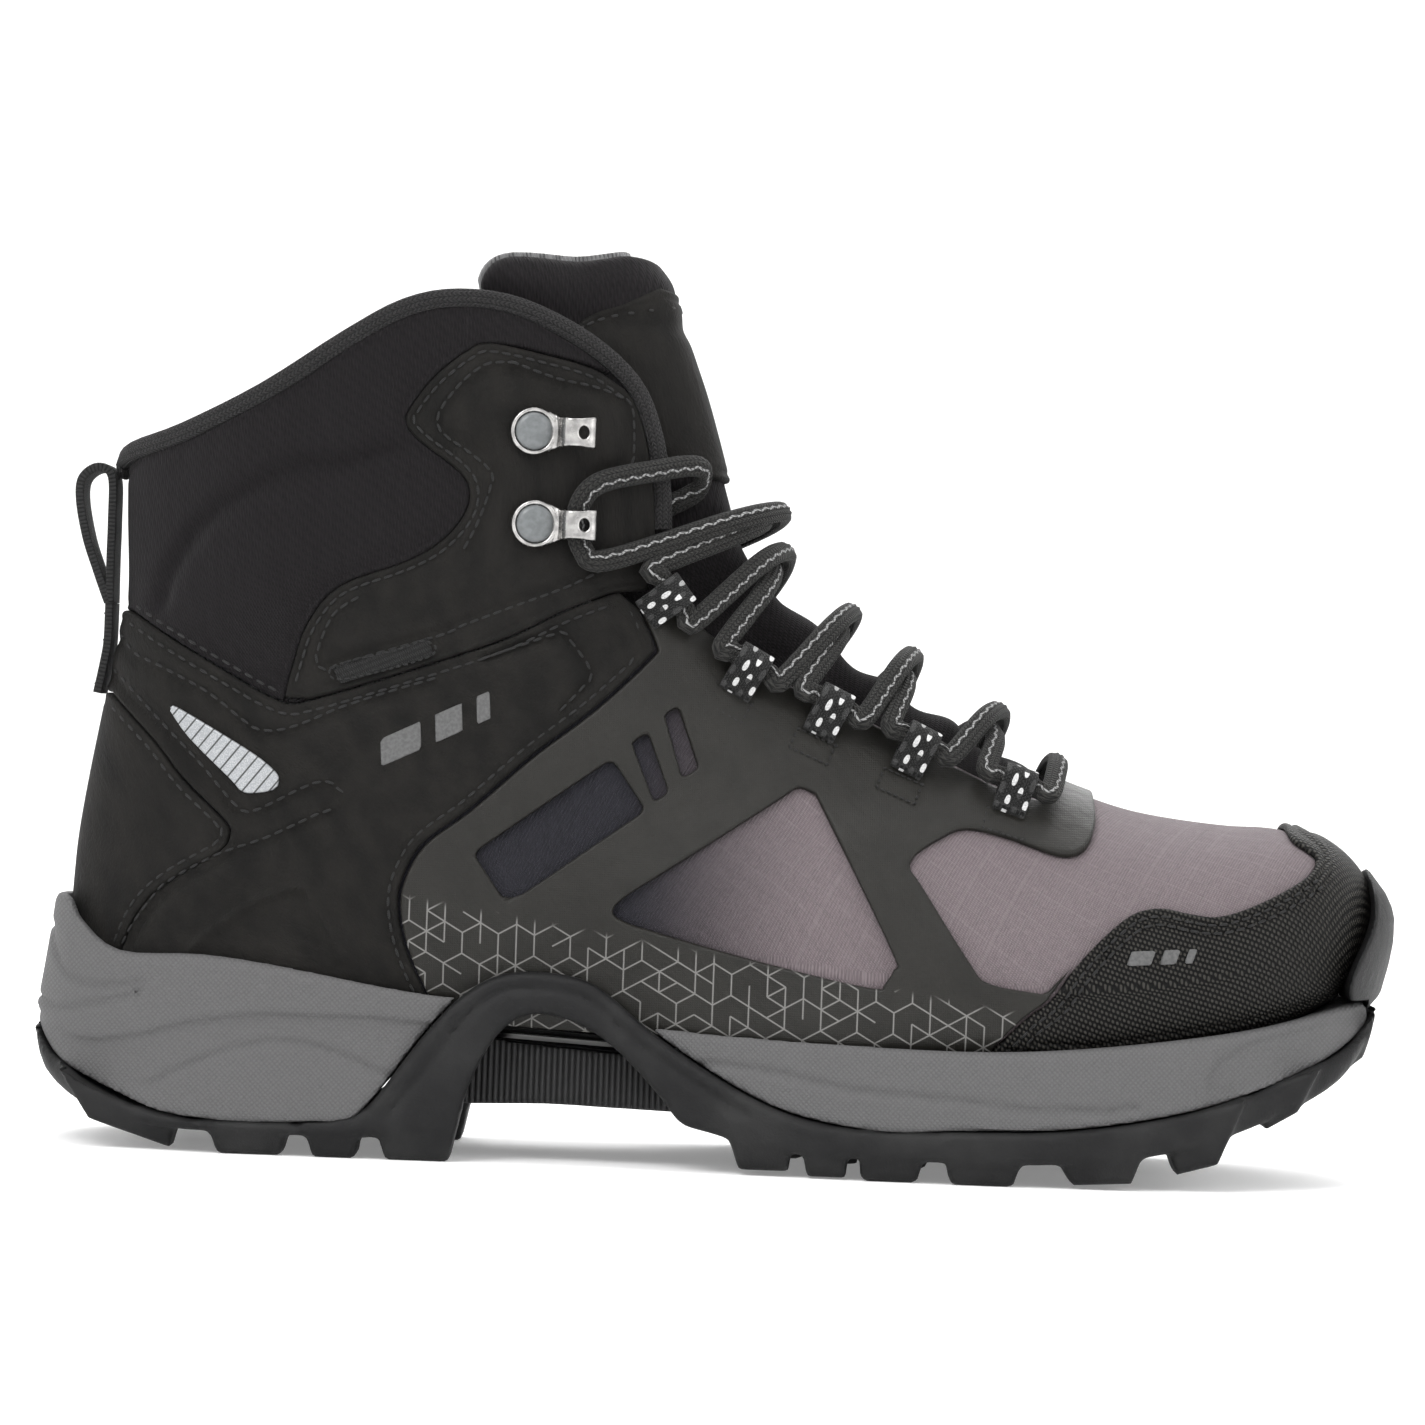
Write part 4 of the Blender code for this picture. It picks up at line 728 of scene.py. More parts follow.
def ripstop(name, left=None):
    """A fine weave with thicker threads in a grid.

    Where left is given, it is dark blue up to that x and fades to mauve towards the toe.
    """
    s = Surface(name, 0.82, Sheen_Weight=0.04, Sheen_Roughness=0.4)
    x, y = s.axes(s.cloth, 0, 1)
    slant = s.calc("ADD", x, s.calc("MULTIPLY", y, RIPSTOP_SLANT))
    rise = s.calc("SUBTRACT", y, s.calc("MULTIPLY", x, RIPSTOP_SLANT))
    weave = s.domes(slant, rise, RIPSTOP_THREAD, RIPSTOP_THREAD)
    lines = []
    for v in (slant, rise):
        lines.append(s.between(s.off_middle(v, RIPSTOP_GRID), 0.465, 0.49))
    grid = s.calc("MAXIMUM", *lines)
    tone = s.weighed(weave, 0.5, s.noise(s.cloth, 0.9, 3))
    plain = s.mix(s.between(tone, 0.1, 0.8), MAUVE_DARK, MAUVE_LIGHT)
    plain = s.mix(s.calc("MULTIPLY", grid, 0.22), plain, (0.24, 0.215, 0.222))
    if left is not None:
        share = s.between(x, left, left + NAVY_FADE)
        dark = s.mix(s.between(tone, 0.1, 0.8), NAVY, (0.0125, 0.0120, 0.0175))
        plain = s.mix(share, dark, plain)
    s.colour(plain)
    s.bump((weave, 0.12), (grid, 0.08), (s.noise(s.cloth, 0.18, 2), 0.35))
    return s.made


def printed_film():
    """Welded satin film with a thin line print low on it: isometric lines, some left out."""
    s = Surface("film", 0.46, Specular_IOR_Level=0.24)
    x, y = s.axes(s.place, 0, 2)
    shown = None
    pitch = PRINT_SIDE * math.sqrt(3) / 2
    for k, angle in enumerate((30, 90, 150)):
        c, sn = math.cos(math.radians(angle)), math.sin(math.radians(angle))
        across = s.total(s.calc("MULTIPLY", x, -sn / pitch), s.calc("MULTIPLY", y, c / pitch), 0.5)
        line = s.calc("FLOOR", across)
        along = s.calc("ADD", s.calc("MULTIPLY", x, c / PRINT_SIDE), s.calc("MULTIPLY", y, sn / PRINT_SIDE))
        part = s.calc("FLOOR", s.calc("SUBTRACT", along, s.calc("MULTIPLY", line, 0.5)))
        off = s.calc("ABSOLUTE", s.calc("SUBTRACT", s.calc("FRACT", across), 0.5))
        stripe = s.between(off, PRINT_LINE, PRINT_LINE * 0.5)
        kind = s.calc("FLOORED_MODULO", s.calc("SUBTRACT", part, line), 3.0)
        outer = s.calc("LESS_THAN", s.calc("ABSOLUTE", s.calc("SUBTRACT", kind, 1.0)), 0.5)
        least = s.calc("SUBTRACT", 0.64, s.calc("MULTIPLY", outer, 0.54))
        seed = s.node("CombineXYZ", [line, part, 3.7 + k])
        kept = s.calc("GREATER_THAN", s.node("TexWhiteNoise", {"Vector": seed}, output="Value"), least)
        stripe = s.calc("MULTIPLY", stripe, kept)
        shown = stripe if shown is None else s.calc("MAXIMUM", shown, stripe)
    border = s.calc("ADD", y, s.calc("MULTIPLY", x, 0.15))
    band = s.between(border, *PRINT_TOP)
    grain = s.noise(s.cloth, 2.4, 4)
    tone = s.weighed(grain, 0.5, s.noise(s.cloth, 0.08, 3))
    base = s.mix(s.between(tone, 0.35, 0.65), FILM_DARK, FILM_LIGHT)
    s.colour(s.mix(s.calc("MULTIPLY", s.calc("MULTIPLY", shown, band), 0.8), base, FILM_PRINT))
    s.bump((grain, 0.07), (s.domes(x, y, 0.5, 0.5), 0.035), (s.noise(s.cloth, 0.2, 2), 0.3))
    return s.made


def softshell(name="softshell", pitch=0.8):
    s = Surface(name, 0.9, Specular_IOR_Level=0.2, Sheen_Weight=0.018, Sheen_Roughness=0.45)
    knit = s.knit(s.axis(s.cloth, 0), s.axis(s.cloth, 1), pitch)
    lint = s.noise(s.cloth, 1.2, 5)
    tone = s.weighed(knit, 0.6, lint)
    s.colour(s.mix(s.between(tone, 0.2, 0.85), KNIT_DARK, KNIT_LIGHT))
    s.bump((knit, 0.16), (lint, 0.08), (s.noise(s.cloth, 0.15, 2), 0.4))
    return s.made


def lining_knit():
    """Spacer knit with small round holes."""
    s = Surface("lining_knit", 0.95, Sheen_Weight=0.3, Sheen_Roughness=0.5)
    x, y = s.axes(s.cloth, 0, 1)
    hole = s.domes(x, y, 1.5, 1.3, 0.5)
    knit = s.knit(x, y, 0.75)
    s.colour(s.mix(s.between(hole, 0.45, 0.95), (0.17, 0.17, 0.172), (0.05, 0.05, 0.052)))
    s.bump((s.calc("SUBTRACT", 1.0, hole), 0.3), (knit, 0.12))
    return s.made


def thread(name, colour):
    s = Surface(name, 0.62)
    twist = s.total(*[s.axis(s.place, k) for k in range(3)])
    wave = s.ribs(twist, THREAD_TWIST)
    s.colour(s.mix(wave, tuple(c * 0.55 for c in colour), tuple(c * 1.7 for c in colour)))
    s.bump((wave, 0.08))
    return s.made


def braid(name, dark, light, stripe=None):
    """A flat or round braid: cloth x runs along it, y round it, in mm."""
    s = Surface(name, 0.86, Sheen_Weight=0.03, Sheen_Roughness=0.5)
    x, y = s.axes(s.cloth, 0, 1)
    rib = s.off_middle(y, BRAID_ROW)
    chevron = s.calc("ADD", s.calc("DIVIDE", x, BRAID_STRAND), s.calc("MULTIPLY", rib, 1.5))
    strand = s.arches(chevron)
    valley = s.between(rib, 0.0, 0.16)
    height = s.calc("MULTIPLY", strand, valley)
    shade = s.mix(s.between(s.calc("ADD", height, s.noise(s.cloth, 1.5, 3)), 0.5, 1.5), dark, light)
    if stripe is not None:
        wave = s.calc("MULTIPLY", s.calc("SINE", s.calc("MULTIPLY", x, 2 * math.pi / 3.4)), 0.28)
        off = s.calc("ABSOLUTE", s.calc("SUBTRACT", s.calc("ADD", y, wave), stripe))
        line = s.between(off, 0.36, 0.2)
        dashes = s.between(strand, 0.15, 0.5)
        shade = s.mix(s.calc("MULTIPLY", line, dashes), shade, GREY_THREAD)
    s.colour(shade)
    s.bump((height, 0.3), (s.noise(s.cloth, 4.0, 3), 0.08))
    return s.made


def webbing(name, flecks=True):
    """Narrow woven tape. Flecked, it shows staggered light ovals."""
    s = Surface(name, 0.86, Sheen_Weight=0.03, Sheen_Roughness=0.5)
    x, y = s.axes(s.cloth, 0, 1)
    weave = s.domes(x, y, 0.9, 0.55, 0.5)
    shade = s.mix(s.between(weave, 0.0, 0.9), (0.003, 0.003, 0.003), (0.017, 0.017, 0.017))
    if flecks:
        fleck = s.domes(x, y, FLECK_LENGTH, FLECK_WIDTH, 0.5)
        column, row = [s.calc("FLOOR", s.calc("DIVIDE", *v)) for v in ((x, FLECK_LENGTH), (y, FLECK_WIDTH))]
        seed = s.node("CombineXYZ", [column, row, 1.0])
        lightness = s.node("TexWhiteNoise", {"Vector": seed}, output="Value")
        pale = s.mix(s.between(lightness, 0.35, 0.6), (0.035, 0.035, 0.035), (0.55, 0.55, 0.55))
        shade = s.mix(s.between(fleck, 0.60, 0.70), shade, pale)
    s.colour(shade)
    s.bump((weave, 0.22), (s.noise(s.cloth, 3.0, 3), 0.06))
    return s.made


def nickel():
    s = Surface("nickel", 0.27, Metallic=1.0)
    blotch = s.noise(s.place, 0.5, 4)
    s.colour(s.mix(s.between(blotch, 0.3, 0.7), (0.26, 0.255, 0.25), (0.46, 0.45, 0.44)))
    s.feed(s.shader.inputs["Roughness"], s.node("MapRange", {"Value": s.noise(s.place, 2.0, 4),
                                                            "To Min": 0.16, "To Max": 0.34}))
    s.bump((s.noise(s.spread(s.place, 1, 1, 6), 1.6, 3), 0.03))
    return s.made


def enamel():
    s = Surface("rivet_enamel", 0.33, Coat_Weight=0.3, Coat_Roughness=0.2)
    blotch = s.between(s.noise(s.place, 0.8, 3), 0.3, 0.7)
    s.colour(s.mix(blotch, (0.100, 0.107, 0.110), (0.132, 0.140, 0.144)))
    s.bump((s.noise(s.place, 2.5, 3), 0.03))
    return s.made


def reflector():
    """Silver film with thin dark diagonal lines, over fine glass beads."""
    s = Surface("reflector", 0.36, Metallic=0.35)
    x, z = s.axes(s.place, 0, 2)
    slant = s.calc("ADD", s.calc("MULTIPLY", x, 0.78), s.calc("MULTIPLY", z, -0.62))
    off = s.off_middle(slant, REFLECTOR_LINES)
    beads = s.cells(s.place, 3.2)
    silver = s.mix(s.between(beads, 0.0, 0.7), (0.42, 0.43, 0.44), (0.27, 0.28, 0.29))
    s.colour(s.mix(s.between(off, 0.1, 0.06), silver, (0.05, 0.05, 0.05)))
    s.bump((beads, 0.05))
    return s.made


def plain(name, dark, light, scale, depth, roughness=0.85, metallic=0.0):
    """A mottled solid: foam, board or cast metal."""
    s = Surface(name, roughness, Metallic=metallic)
    grain = s.noise(s.place, scale, 4)
    s.colour(s.mix(s.between(grain, 0.3, 0.7), dark, light))
    s.bump((grain, depth))
    return s.made


STUFF = {
    "rubber": rubber(),
    "eva_grey": grey_foam(),
    "eva_black": ribbed_foam(),
    "leather": nubuck(),
    "film": printed_film(),
    "ripstop": ripstop("vamp_ripstop"),
    "window": ripstop("window_ripstop", -22.0),
    "softshell": softshell(),
    "toe_tpu": toe_sheet(),
    "lining": lining_knit(),
    "board": plain("fibre_board", (0.42, 0.35, 0.25), (0.55, 0.47, 0.34), 0.7, 0.1),
    "shank_steel": plain("shank_steel", (0.35, 0.34, 0.33), (0.5, 0.49, 0.47), 0.6, 0.03, 0.35, 1.0),
    "steel": nickel(),
    "enamel": enamel(),
    "webbing": webbing("loop_webbing"),
    "tape": webbing("plain_tape", False),
    "lace": braid("lace_braid", (0.003, 0.003, 0.003), (0.022, 0.0215, 0.020), 2.6),
    "binding": braid("binding_braid", (0.0025, 0.0024, 0.0025), (0.018, 0.017, 0.0175)),
    "reflective": reflector(),
    "thread": thread("black_thread", BLACK_THREAD),
    "tongue": softshell("tongue_cloth", 1.0),
    "footbed": plain("footbed_cloth", (0.05, 0.05, 0.052), (0.09, 0.09, 0.092), 1.6, 0.15, 0.95),
    "mark": plain("mark_print", (0.065, 0.065, 0.065), (0.095, 0.095, 0.095), 1.5, 0.06, 0.6),
    "dark_foam": plain("filler_foam", (0.006, 0.006, 0.006), (0.012, 0.012, 0.012), 1.2, 0.2),
}


# ---- side view outlines of the upper's panels, as in the CAD model -----------------------------------------
FAR = 170.0
LINING, TEXTILE, OVERLAY, CUFF = (-5.4, -4.4), (-1.6, -0.45), (0.0, 1.3), (-1.5, 1.0)
TRIM, LABEL_SPAN = (1.4, 2.1), (1.35, 2.0)
FLOOR = [(-FAR, 33), (-142, 33), (-112, 32.5), (-75, 31.5), (-22, 28.5), (33, 27), (84, 29.5),
         (117, 36), (140, 46), (FAR, 50)]
COLLAR = [(-141, 149), (-136, 152), (-132, 154.5), (-117.5, 159.5), (-98.5, 170), (-81, 182), (-70, 187.5),
          (-58.5, 189), (-45, 186.5), (-31, 179), (-22.5, 170.5), (-19, 160.5), (-17, 149), (-16.5, 139)]
THROAT = [(-16.5, 139), (-15, 131), (-8.5, 123), (1, 115.5), (10.5, 110), (22, 105), (31, 101.5),
          (41.5, 96.5), (52, 91.5), (63.5, 86.5), (73, 84.5), (77, 88), (78, 96)]
STRAP_TOP = [(-138, 119), (-134.5, 119), (-124, 113), (-110, 105.5), (-98.5, 100), (-91.5, 100.5),
             (-70.5, 107.5), (-50, 115), (-36.5, 122), (-26, 126.5)]
STRAP_FRONT = [(-19.5, 123.5), (-16, 116), (-17, 113), (-28.5, 101.5), (-42.5, 90), (-55.5, 78), (-65, 70.5),
               (-69, 64), (-70.5, 57), (-68.5, 47), (-63.5, 36)]
HEEL_PATCH_EDGE = [(-138.5, 101), (-127, 90.5), (-119.5, 82), (-109.5, 73), (-108.5, 70), (-110.5, 66.5),
                   (-121, 60), (-128, 53.5), (-132, 44.5), (-134, 34)]
HOOK_PANEL_REAR = [(-97.5, 101), (-96, 108), (-93, 117.5), (-86, 126), (-71.5, 132), (-63.5, 137),
                   (-58.5, 143.5), (-58, 149), (-61, 153), (-69.5, 159), (-72.5, 163), (-71, 167),
                   (-66, 173.5), (-59.5, 179), (-54.5, 181), (-42, 179), (-31.5, 176.5), (-24.5, 172.5)]
TOE_CAP_EDGE = [(61, 27.5), (63.5, 30.5), (69, 36.5), (74.5, 41), (78.5, 47), (83, 52.5), (88.5, 58),
                (93, 61), (98.5, 62), (104.5, 61), (111, 60.5), (119, 63), (128, 67.5), (133, 71),
                (134.5, 74), (132.5, 76), (129.5, 78), (128.5, 81), (128.5, 90)]
FILM_FRONT = [(73, 42), (60.5, 44), (56, 48.5), (45, 65), (42.5, 68.5), (43.5, 71.5), (49, 75.5), (55, 78),
              (64, 76.5), (75.5, 73), (81, 74), (84, 79), (84.5, 84.5), (85, 96)]
WINDOW = [(-22.8, 56.6), (-20.8, 59.3), (-14, 64.2), (13.5, 83), (17, 85.5), (20.5, 84.5), (23, 81), (39, 50),
          (39.5, 46.5), (37.5, 43), (34.5, 42), (10.5, 46.5), (-14.5, 52.5), (-21, 54.6)]
SLOT_CORNERS = [(-54.2, 68.2), (-24.2, 90.2), (-16.4, 79.2), (-46.2, 57.2)]
BARS = [[(-20, 94), (-16.5, 96.5), (-11.5, 83.5), (-14.5, 81)],
        [(-13, 100.5), (-10, 102.5), (-5, 89), (-8.5, 86.5)]]
REFLECTOR = [(-123.5, 97.5), (-122, 98), (-106, 89.5), (-100, 85.5), (-98, 83), (-99, 80.5), (-104, 79.5),
             (-106.5, 80), (-109, 82.5), (-118.5, 91), (-123, 96.5)]
LABEL = [(-87, 108), (-72, 113), (-66, 115.5), (-64.5, 111.5), (-85, 104.5)]
TONGUE_TOP = [(-57, 186), (-57.5, 193), (-56, 198), (-52, 200.8), (-45.5, 201.4), (-36, 201.2),
              (-29.5, 202.3), (-24, 203.5), (-17, 203)]
TONGUE_REAR = [(86, 78), (70, 77.5), (55, 80), (38, 86), (20, 94), (2, 102), (-12, 110), (-24, 120),
               (-33, 133), (-40, 150), (-47, 166), (-57, 186)]
TONGUE_PATCH = [(-36, 183.5), (-34, 188), (-25.5, 192), (-10, 194.5), (10, 156.5), (-7, 154.5), (-14, 156.5),
                (-19, 160), (-23, 171.5), (-30.5, 179)]

# creases, beads and sewn lines in the side view
STRAP_CREASES = [
    [(-137, 112.5), (-133, 108.5), (-127, 106), (-115.5, 100.5), (-108.5, 95.5), (-103.5, 92.5), (-98, 92.5),
     (-92, 94.5), (-84.5, 98), (-73.5, 102), (-64.5, 105)],
    [(-138, 104.5), (-134, 101), (-125.5, 93), (-117, 85), (-111.5, 79), (-108, 75.5), (-105, 74),
     (-102.5, 74.5), (-97.5, 77), (-92, 80), (-87.5, 81.5), (-85, 80)],
    [(-130.5, 45), (-128.5, 49), (-125, 54), (-121.5, 58), (-110.5, 64.5), (-100, 68.5), (-89, 74),
     (-86.5, 75)],
    [(-53, 111.5), (-44, 115), (-37, 117.5), (-35, 116.5), (-31, 111.5), (-29.5, 108.5), (-31.5, 105.5),
     (-35.5, 101)],
]
HEEL_BEAD = [(-116, 44), (-113.5, 47), (-109, 50.5), (-102, 55.5), (-96, 58), (-93, 59), (-90.5, 58),
             (-88.5, 54), (-85, 49), (-82.5, 44)]
HOOK_RECESSES = [
    [(-49.5, 175.5), (-54.5, 175), (-59, 171.5), (-62.5, 167), (-64, 164), (-63, 161.5), (-57.5, 158),
     (-52.5, 154), (-51.5, 151), (-53, 145), (-55, 139.5), (-57, 135.5)],
    [(-49.5, 175.5), (-40, 172.5), (-31, 171), (-25.5, 169), (-24, 167.5), (-23.5, 157.5), (-25, 155.5),
     (-29, 154)],
]
HOOK_PANEL_SEAM = [(-26.5, 134), (-35.5, 129), (-47.5, 124), (-59.5, 119), (-63.5, 117), (-83.5, 110.5),
                   (-88.5, 108.5), (-89.5, 111), (-86.5, 119), (-82, 122.5)]
CUFF_QUILT = [(-127.5, 120), (-124.5, 129), (-118, 138.5), (-109, 145.5), (-98, 151.5), (-85, 153.5),
              (-78, 156), (-70, 159), (-67, 160.5)]
VAMP_SEAM = 41.0
TOE_CAP_DROP, TOE_TIP_DROP, TOE_TIP_FROM, TOE_TIP_OVER = 2.4, 4.0, 110.0, 25.0
LABEL_RIB, LABEL_RIB_PITCH, LABEL_BORDER = 0.12, 1.1, (0.06, 0.16)
STITCH_LIFT = 0.05

SIDES = ((-1, "lateral"), (1, "medial"))

# the simulated pads: a coarse grid, scaled up so that the solver's tolerances suit it
PAD_GRID = build_chart(100, 90)
PAD_SCALE, PAD_FRAMES, PAD_SEAM, PAD_CAP, PRESSURE = 0.01, 20, 1.6, 4.5, 4.0
PAD_NEAREST, PAD_BLUR = 5, 0.3
QUILT_WIDTH, QUILT_DEPTH, QUILT_FADE = 2.4, 2.0, 6


def upper_outlines():
    """The outlines of the upper's sheets, put together from the shared edges."""
    collar, throat = smooth(COLLAR, 4), smooth(THROAT, 4)
    top, front, edge = smooth(STRAP_TOP, 4), smooth(STRAP_FRONT, 4), smooth(HEEL_PATCH_EDGE, 4)
    rear, toe, film_front = smooth(HOOK_PANEL_REAR, 4), smooth(TOE_CAP_EDGE, 4), smooth(FILM_FRONT, 4)
    made = {"collar": collar, "top": top, "front": front, "edge": edge, "rear": rear, "toe": toe}
    made["cuff"] = np.vstack([[(-FAR, 119.3)], top[4:32] + [0, GAP], rear[4:] + [2, 0],
                              collar[collar[:, 0] < -26][::-1], [(-FAR, 149)]])
    made["panel"] = np.vstack([rear, collar[collar[:, 0] > -23], [(-17.5, 128), (-22, 127.6)],
                               top[20:][::-1] + [0, GAP]])
    made["strap"] = np.vstack([[(-FAR, 119)], top, [(-24, 127)], front, [(-63.5, 30.6), (-134, 30.6)],
                               edge[::-1], [(-FAR, 101)]])
    made["patch"] = np.vstack([[(-FAR, 101 - GAP)], edge - [GAP, GAP * 0.6], [(-FAR, 34)]])
    feather = [(x, z - TOE_CAP_DROP - TOE_TIP_DROP * float(ease(np.array((x - TOE_TIP_FROM) / TOE_TIP_OVER))))
               for x, z in reversed(FLOOR)]
    made["film"] = np.vstack([front + [2 * GAP, -GAP], [(-62, 30.5), (60, 26)], toe[4:20] - [0.8, 0],
                              film_front, throat[throat[:, 0] > -14][::-1]])
    made["toe_cap"] = np.vstack([toe, [(FAR, 100)], [p for p in feather if p[0] > 61]])
    vamp = throat[throat[:, 0] > VAMP_SEAM]
    made["vamp"] = np.vstack([[(VAMP_SEAM, 15), (VAMP_SEAM, 97)], vamp, [(78, 110), (FAR, 110), (FAR, 15)]])
    base = np.vstack([[(-FAR, 117)], top[4:] - [0, 2.2], [(-24, 122)], throat[16:]])
    end = VAMP_SEAM - GAP
    base = base[base[:, 0] < end]
    made["quarter"] = np.vstack([base, [(end, 97.3), (end, 33), (0, 30), (-60, 33), (-90, 35), (-FAR, 36)]])
    return made


def creased(lines, width, depth):
    """A relief that sinks (or, with a negative depth, rises) along the lines."""
    paths = [smooth(p, 4) for p in lines]

    def relief(rows, seen):
        return -depth * sum(bell(from_path(seen, path), width) for path in paths)
    return relief


def reliefs(*parts):
    return lambda rows, seen: sum(part(rows, seen) for part in parts)


def stitched(distance, width=0.55, depth=0.3):
    """A relief that pinches a sheet along a sewn row at that distance from its edge."""
    return lambda rows, seen: -depth * bell(rows[:, D] - distance, width)


def swollen(broad, depth, low):
    """A slow unevenness, as of stuff drawn over a foot form."""
    def relief(rows, seen):
        x, q = rows[:, 0], rows[:, Q]
        wave = np.sin(x / broad + q / broad * 0.7) + np.sin(x / broad * 0.6 - q / broad * 1.3 + 1.0)
        return depth * wave * 0.5 + low
    return relief


def edge_rows(lines, height, pitch):
    """Rows of stitches, as (points, faces, cloth), along several side view lines on both sides."""
    return joined([sewn(path, side, height, pitch) for path in lines for side in (-1, 1)])


def in_span(path, low, high):
    path = np.asarray(path)
    return path[(path[:, 0] > low) & (path[:, 0] < high)]


def build_textile(o):
    form = sheet(o["vamp"], TEXTILE, lip=0.3, relief=swollen(11.0, 0.25, 0.0), grid=MEDIUM)
    piece("vamp_textile_cloth", form, STUFF["ripstop"], nodes=["vamp_textile"])
    for side, word in SIDES:
        form = sheet(o["quarter"], TEXTILE, side, lip=0.3, relief=swollen(11.0, 0.25, 0.0), grid=MEDIUM)
        piece(f"quarter_{word}_cloth", form, STUFF["window"], nodes=[f"quarter_textile_{word}"])


def build_film(o):
    holes = [closed(WINDOW, 3), rounded(SLOT_CORNERS, 1.8), *[rounded(bar, 0.9) for bar in BARS]]
    form = sheet(o["film"], OVERLAY, holes=holes, lip=0.7, relief=swollen(13.0, 0.35, 0.0), grid=MEDIUM)
    piece("film_sheet", form, STUFF["film"], nodes=["film_overlay"])


def build_toe_cap(o):
    ridge = reliefs(stitched(2.1, 0.4, 0.35), stitched(3.9, 0.4, 0.35), stitched(3.0, 0.5, -0.25))
    form = sheet(o["toe_cap"], OVERLAY, lip=0.9, relief=reliefs(ridge, swollen(14.0, 0.2, 0.1)))
    piece("toe_cap_cover", form, STUFF["toe_tpu"], nodes=["toe_cap"])
    edge = o["toe"][:52]
    edge = edge[edge[:, 0] > 63]
    rows = [beside(edge, -2.1), beside(edge, -3.9)]
    form = edge_rows(rows, OVERLAY[1] + STITCH_LIFT, 2.6)
    piece("toe_cap_stitches", form[:2], STUFF["thread"])


def build_strap(o):
    creases = creased(STRAP_CREASES, 1.3, 0.85)
    bead = creased([HEEL_BEAD], 1.1, -0.9)
    relief = reliefs(creases, bead, stitched(2.2), swollen(12.0, 0.3, 0.15))
    form = sheet(o["strap"], OVERLAY, lip=0.9, relief=relief)
    piece("heel_strap_cover", form, STUFF["leather"], nodes=["heel_strap"])
    rows = [beside(in_span(o["top"], -134, -27), -2.2), beside(in_span(o["front"], -71, -17), -2.0),
            *[beside(smooth(line, 3), 1.3) for line in STRAP_CREASES[:3]], smooth(STRAP_CREASES[3], 3)]
    form = edge_rows(rows, OVERLAY[1] + STITCH_LIFT, 2.9)
    piece("strap_stitches", form[:2], STUFF["thread"])


def build_heel_patch(o):
    relief = reliefs(stitched(2.0), swollen(10.0, 0.25, 0.1))
    form = sheet(o["patch"], OVERLAY, lip=0.8, relief=relief)
    piece("heel_patch_cover", form, STUFF["leather"], nodes=["heel_patch"])
    form = edge_rows([beside(in_span(o["edge"], -138, -100), -2.0)], OVERLAY[1] + STITCH_LIFT, 2.9)
    piece("heel_patch_stitches", form[:2], STUFF["thread"])


def build_hook_panels(o):
    recess = creased(HOOK_RECESSES, 1.5, 0.8)
    seam = creased([HOOK_PANEL_SEAM], 0.9, 0.5)
    relief = reliefs(recess, seam, stitched(1.8), swollen(10.0, 0.25, 0.15))
    for side, word in SIDES:
        form = sheet(o["panel"], CUFF, side, lip=0.9, relief=relief)
        piece(f"hook_panel_{word}_cover", form, STUFF["leather"], nodes=[f"hook_panel_{word}"])
    rear = o["rear"][3:]
    rows = [beside(rear, -1.8), beside(smooth(HOOK_PANEL_SEAM, 3), 1.0)]
    rows += [beside(smooth(line, 3), -1.5) for line in HOOK_RECESSES[:1]]
    rows += [beside(smooth(line, 3), 1.5) for line in HOOK_RECESSES[1:]]
    form = edge_rows(rows, CUFF[1] + STITCH_LIFT, 2.7)
    piece("hook_panel_stitches", form[:2], STUFF["thread"])


def inflated(name, outline, span, holes):
    """How far air inside a pad lifts its outer cloth, as a relief.

    It comes from a cloth simulation of a coarse pad.
    """
    points, faces, cloth = sheet(outline, span, holes=holes, lip=0.4, grid=PAD_GRID)
    half = len(points) // 2
    mesh = bpy.data.meshes.new(name)
    mesh.from_pydata([tuple(p) for p in points * PAD_SCALE], [], [tuple(f) for f in faces])
    pad = in_scene(name, mesh)
    pinned = [i for i in range(len(points)) if i >= half or cloth[i, 2] < PAD_SEAM]
    pad.vertex_groups.new(name="sewn").add(pinned, 1.0, "REPLACE")
    cloth_settings(pad)
    for number in range(1, PAD_FRAMES + 1):
        bpy.context.scene.frame_set(number)
    swollen_pad = pad.evaluated_get(bpy.context.evaluated_depsgraph_get())
    moved = np.empty(len(points) * 3)
    swollen_pad.data.vertices.foreach_get("co", moved)
    moved = moved.reshape(-1, 3)[:half] / PAD_SCALE
    bpy.data.objects.remove(pad)
    bpy.context.scene.frame_set(1)
    lift = np.clip(np.linalg.norm(moved - points[:half], axis=1), 0, PAD_CAP)
    tree = tree_of(points[:half])

    def lifted(rows, seen):
        return near_values(tree, lift, rows[:, P] + rows[:, N] * (span[1] + SKIN))
    return lifted


def cloth_settings(pad):
    settings = pad.modifiers.new("cloth", "CLOTH").settings
    settings.quality = 6
    settings.mass = 0.3
    settings.tension_stiffness = settings.compression_stiffness = 6
    settings.shear_stiffness = 4
    settings.bending_stiffness = 1.5
    settings.use_pressure = True
    settings.uniform_pressure_force = PRESSURE
    settings.effector_weights.gravity = 0
    settings.vertex_group_mass = "sewn"
    settings.pin_stiffness = 1.0


def near_values(tree, values, places):
    """The mean of the nearest samples' values, weighted by how near they are."""
    out = np.zeros(len(places))
    for i, place in enumerate(places):
        total = weights = 0.0
        for _, index, distance in tree.find_n(place, PAD_NEAREST):
            weight = 1.0 / (distance + PAD_BLUR)**2
            total += values[index] * weight
            weights += weight
        out[i] = total / weights
    return out


def cuff_puff(o):
    return inflated("cuff_pad", o["cuff"], CUFF, holes=[o["panel"]])


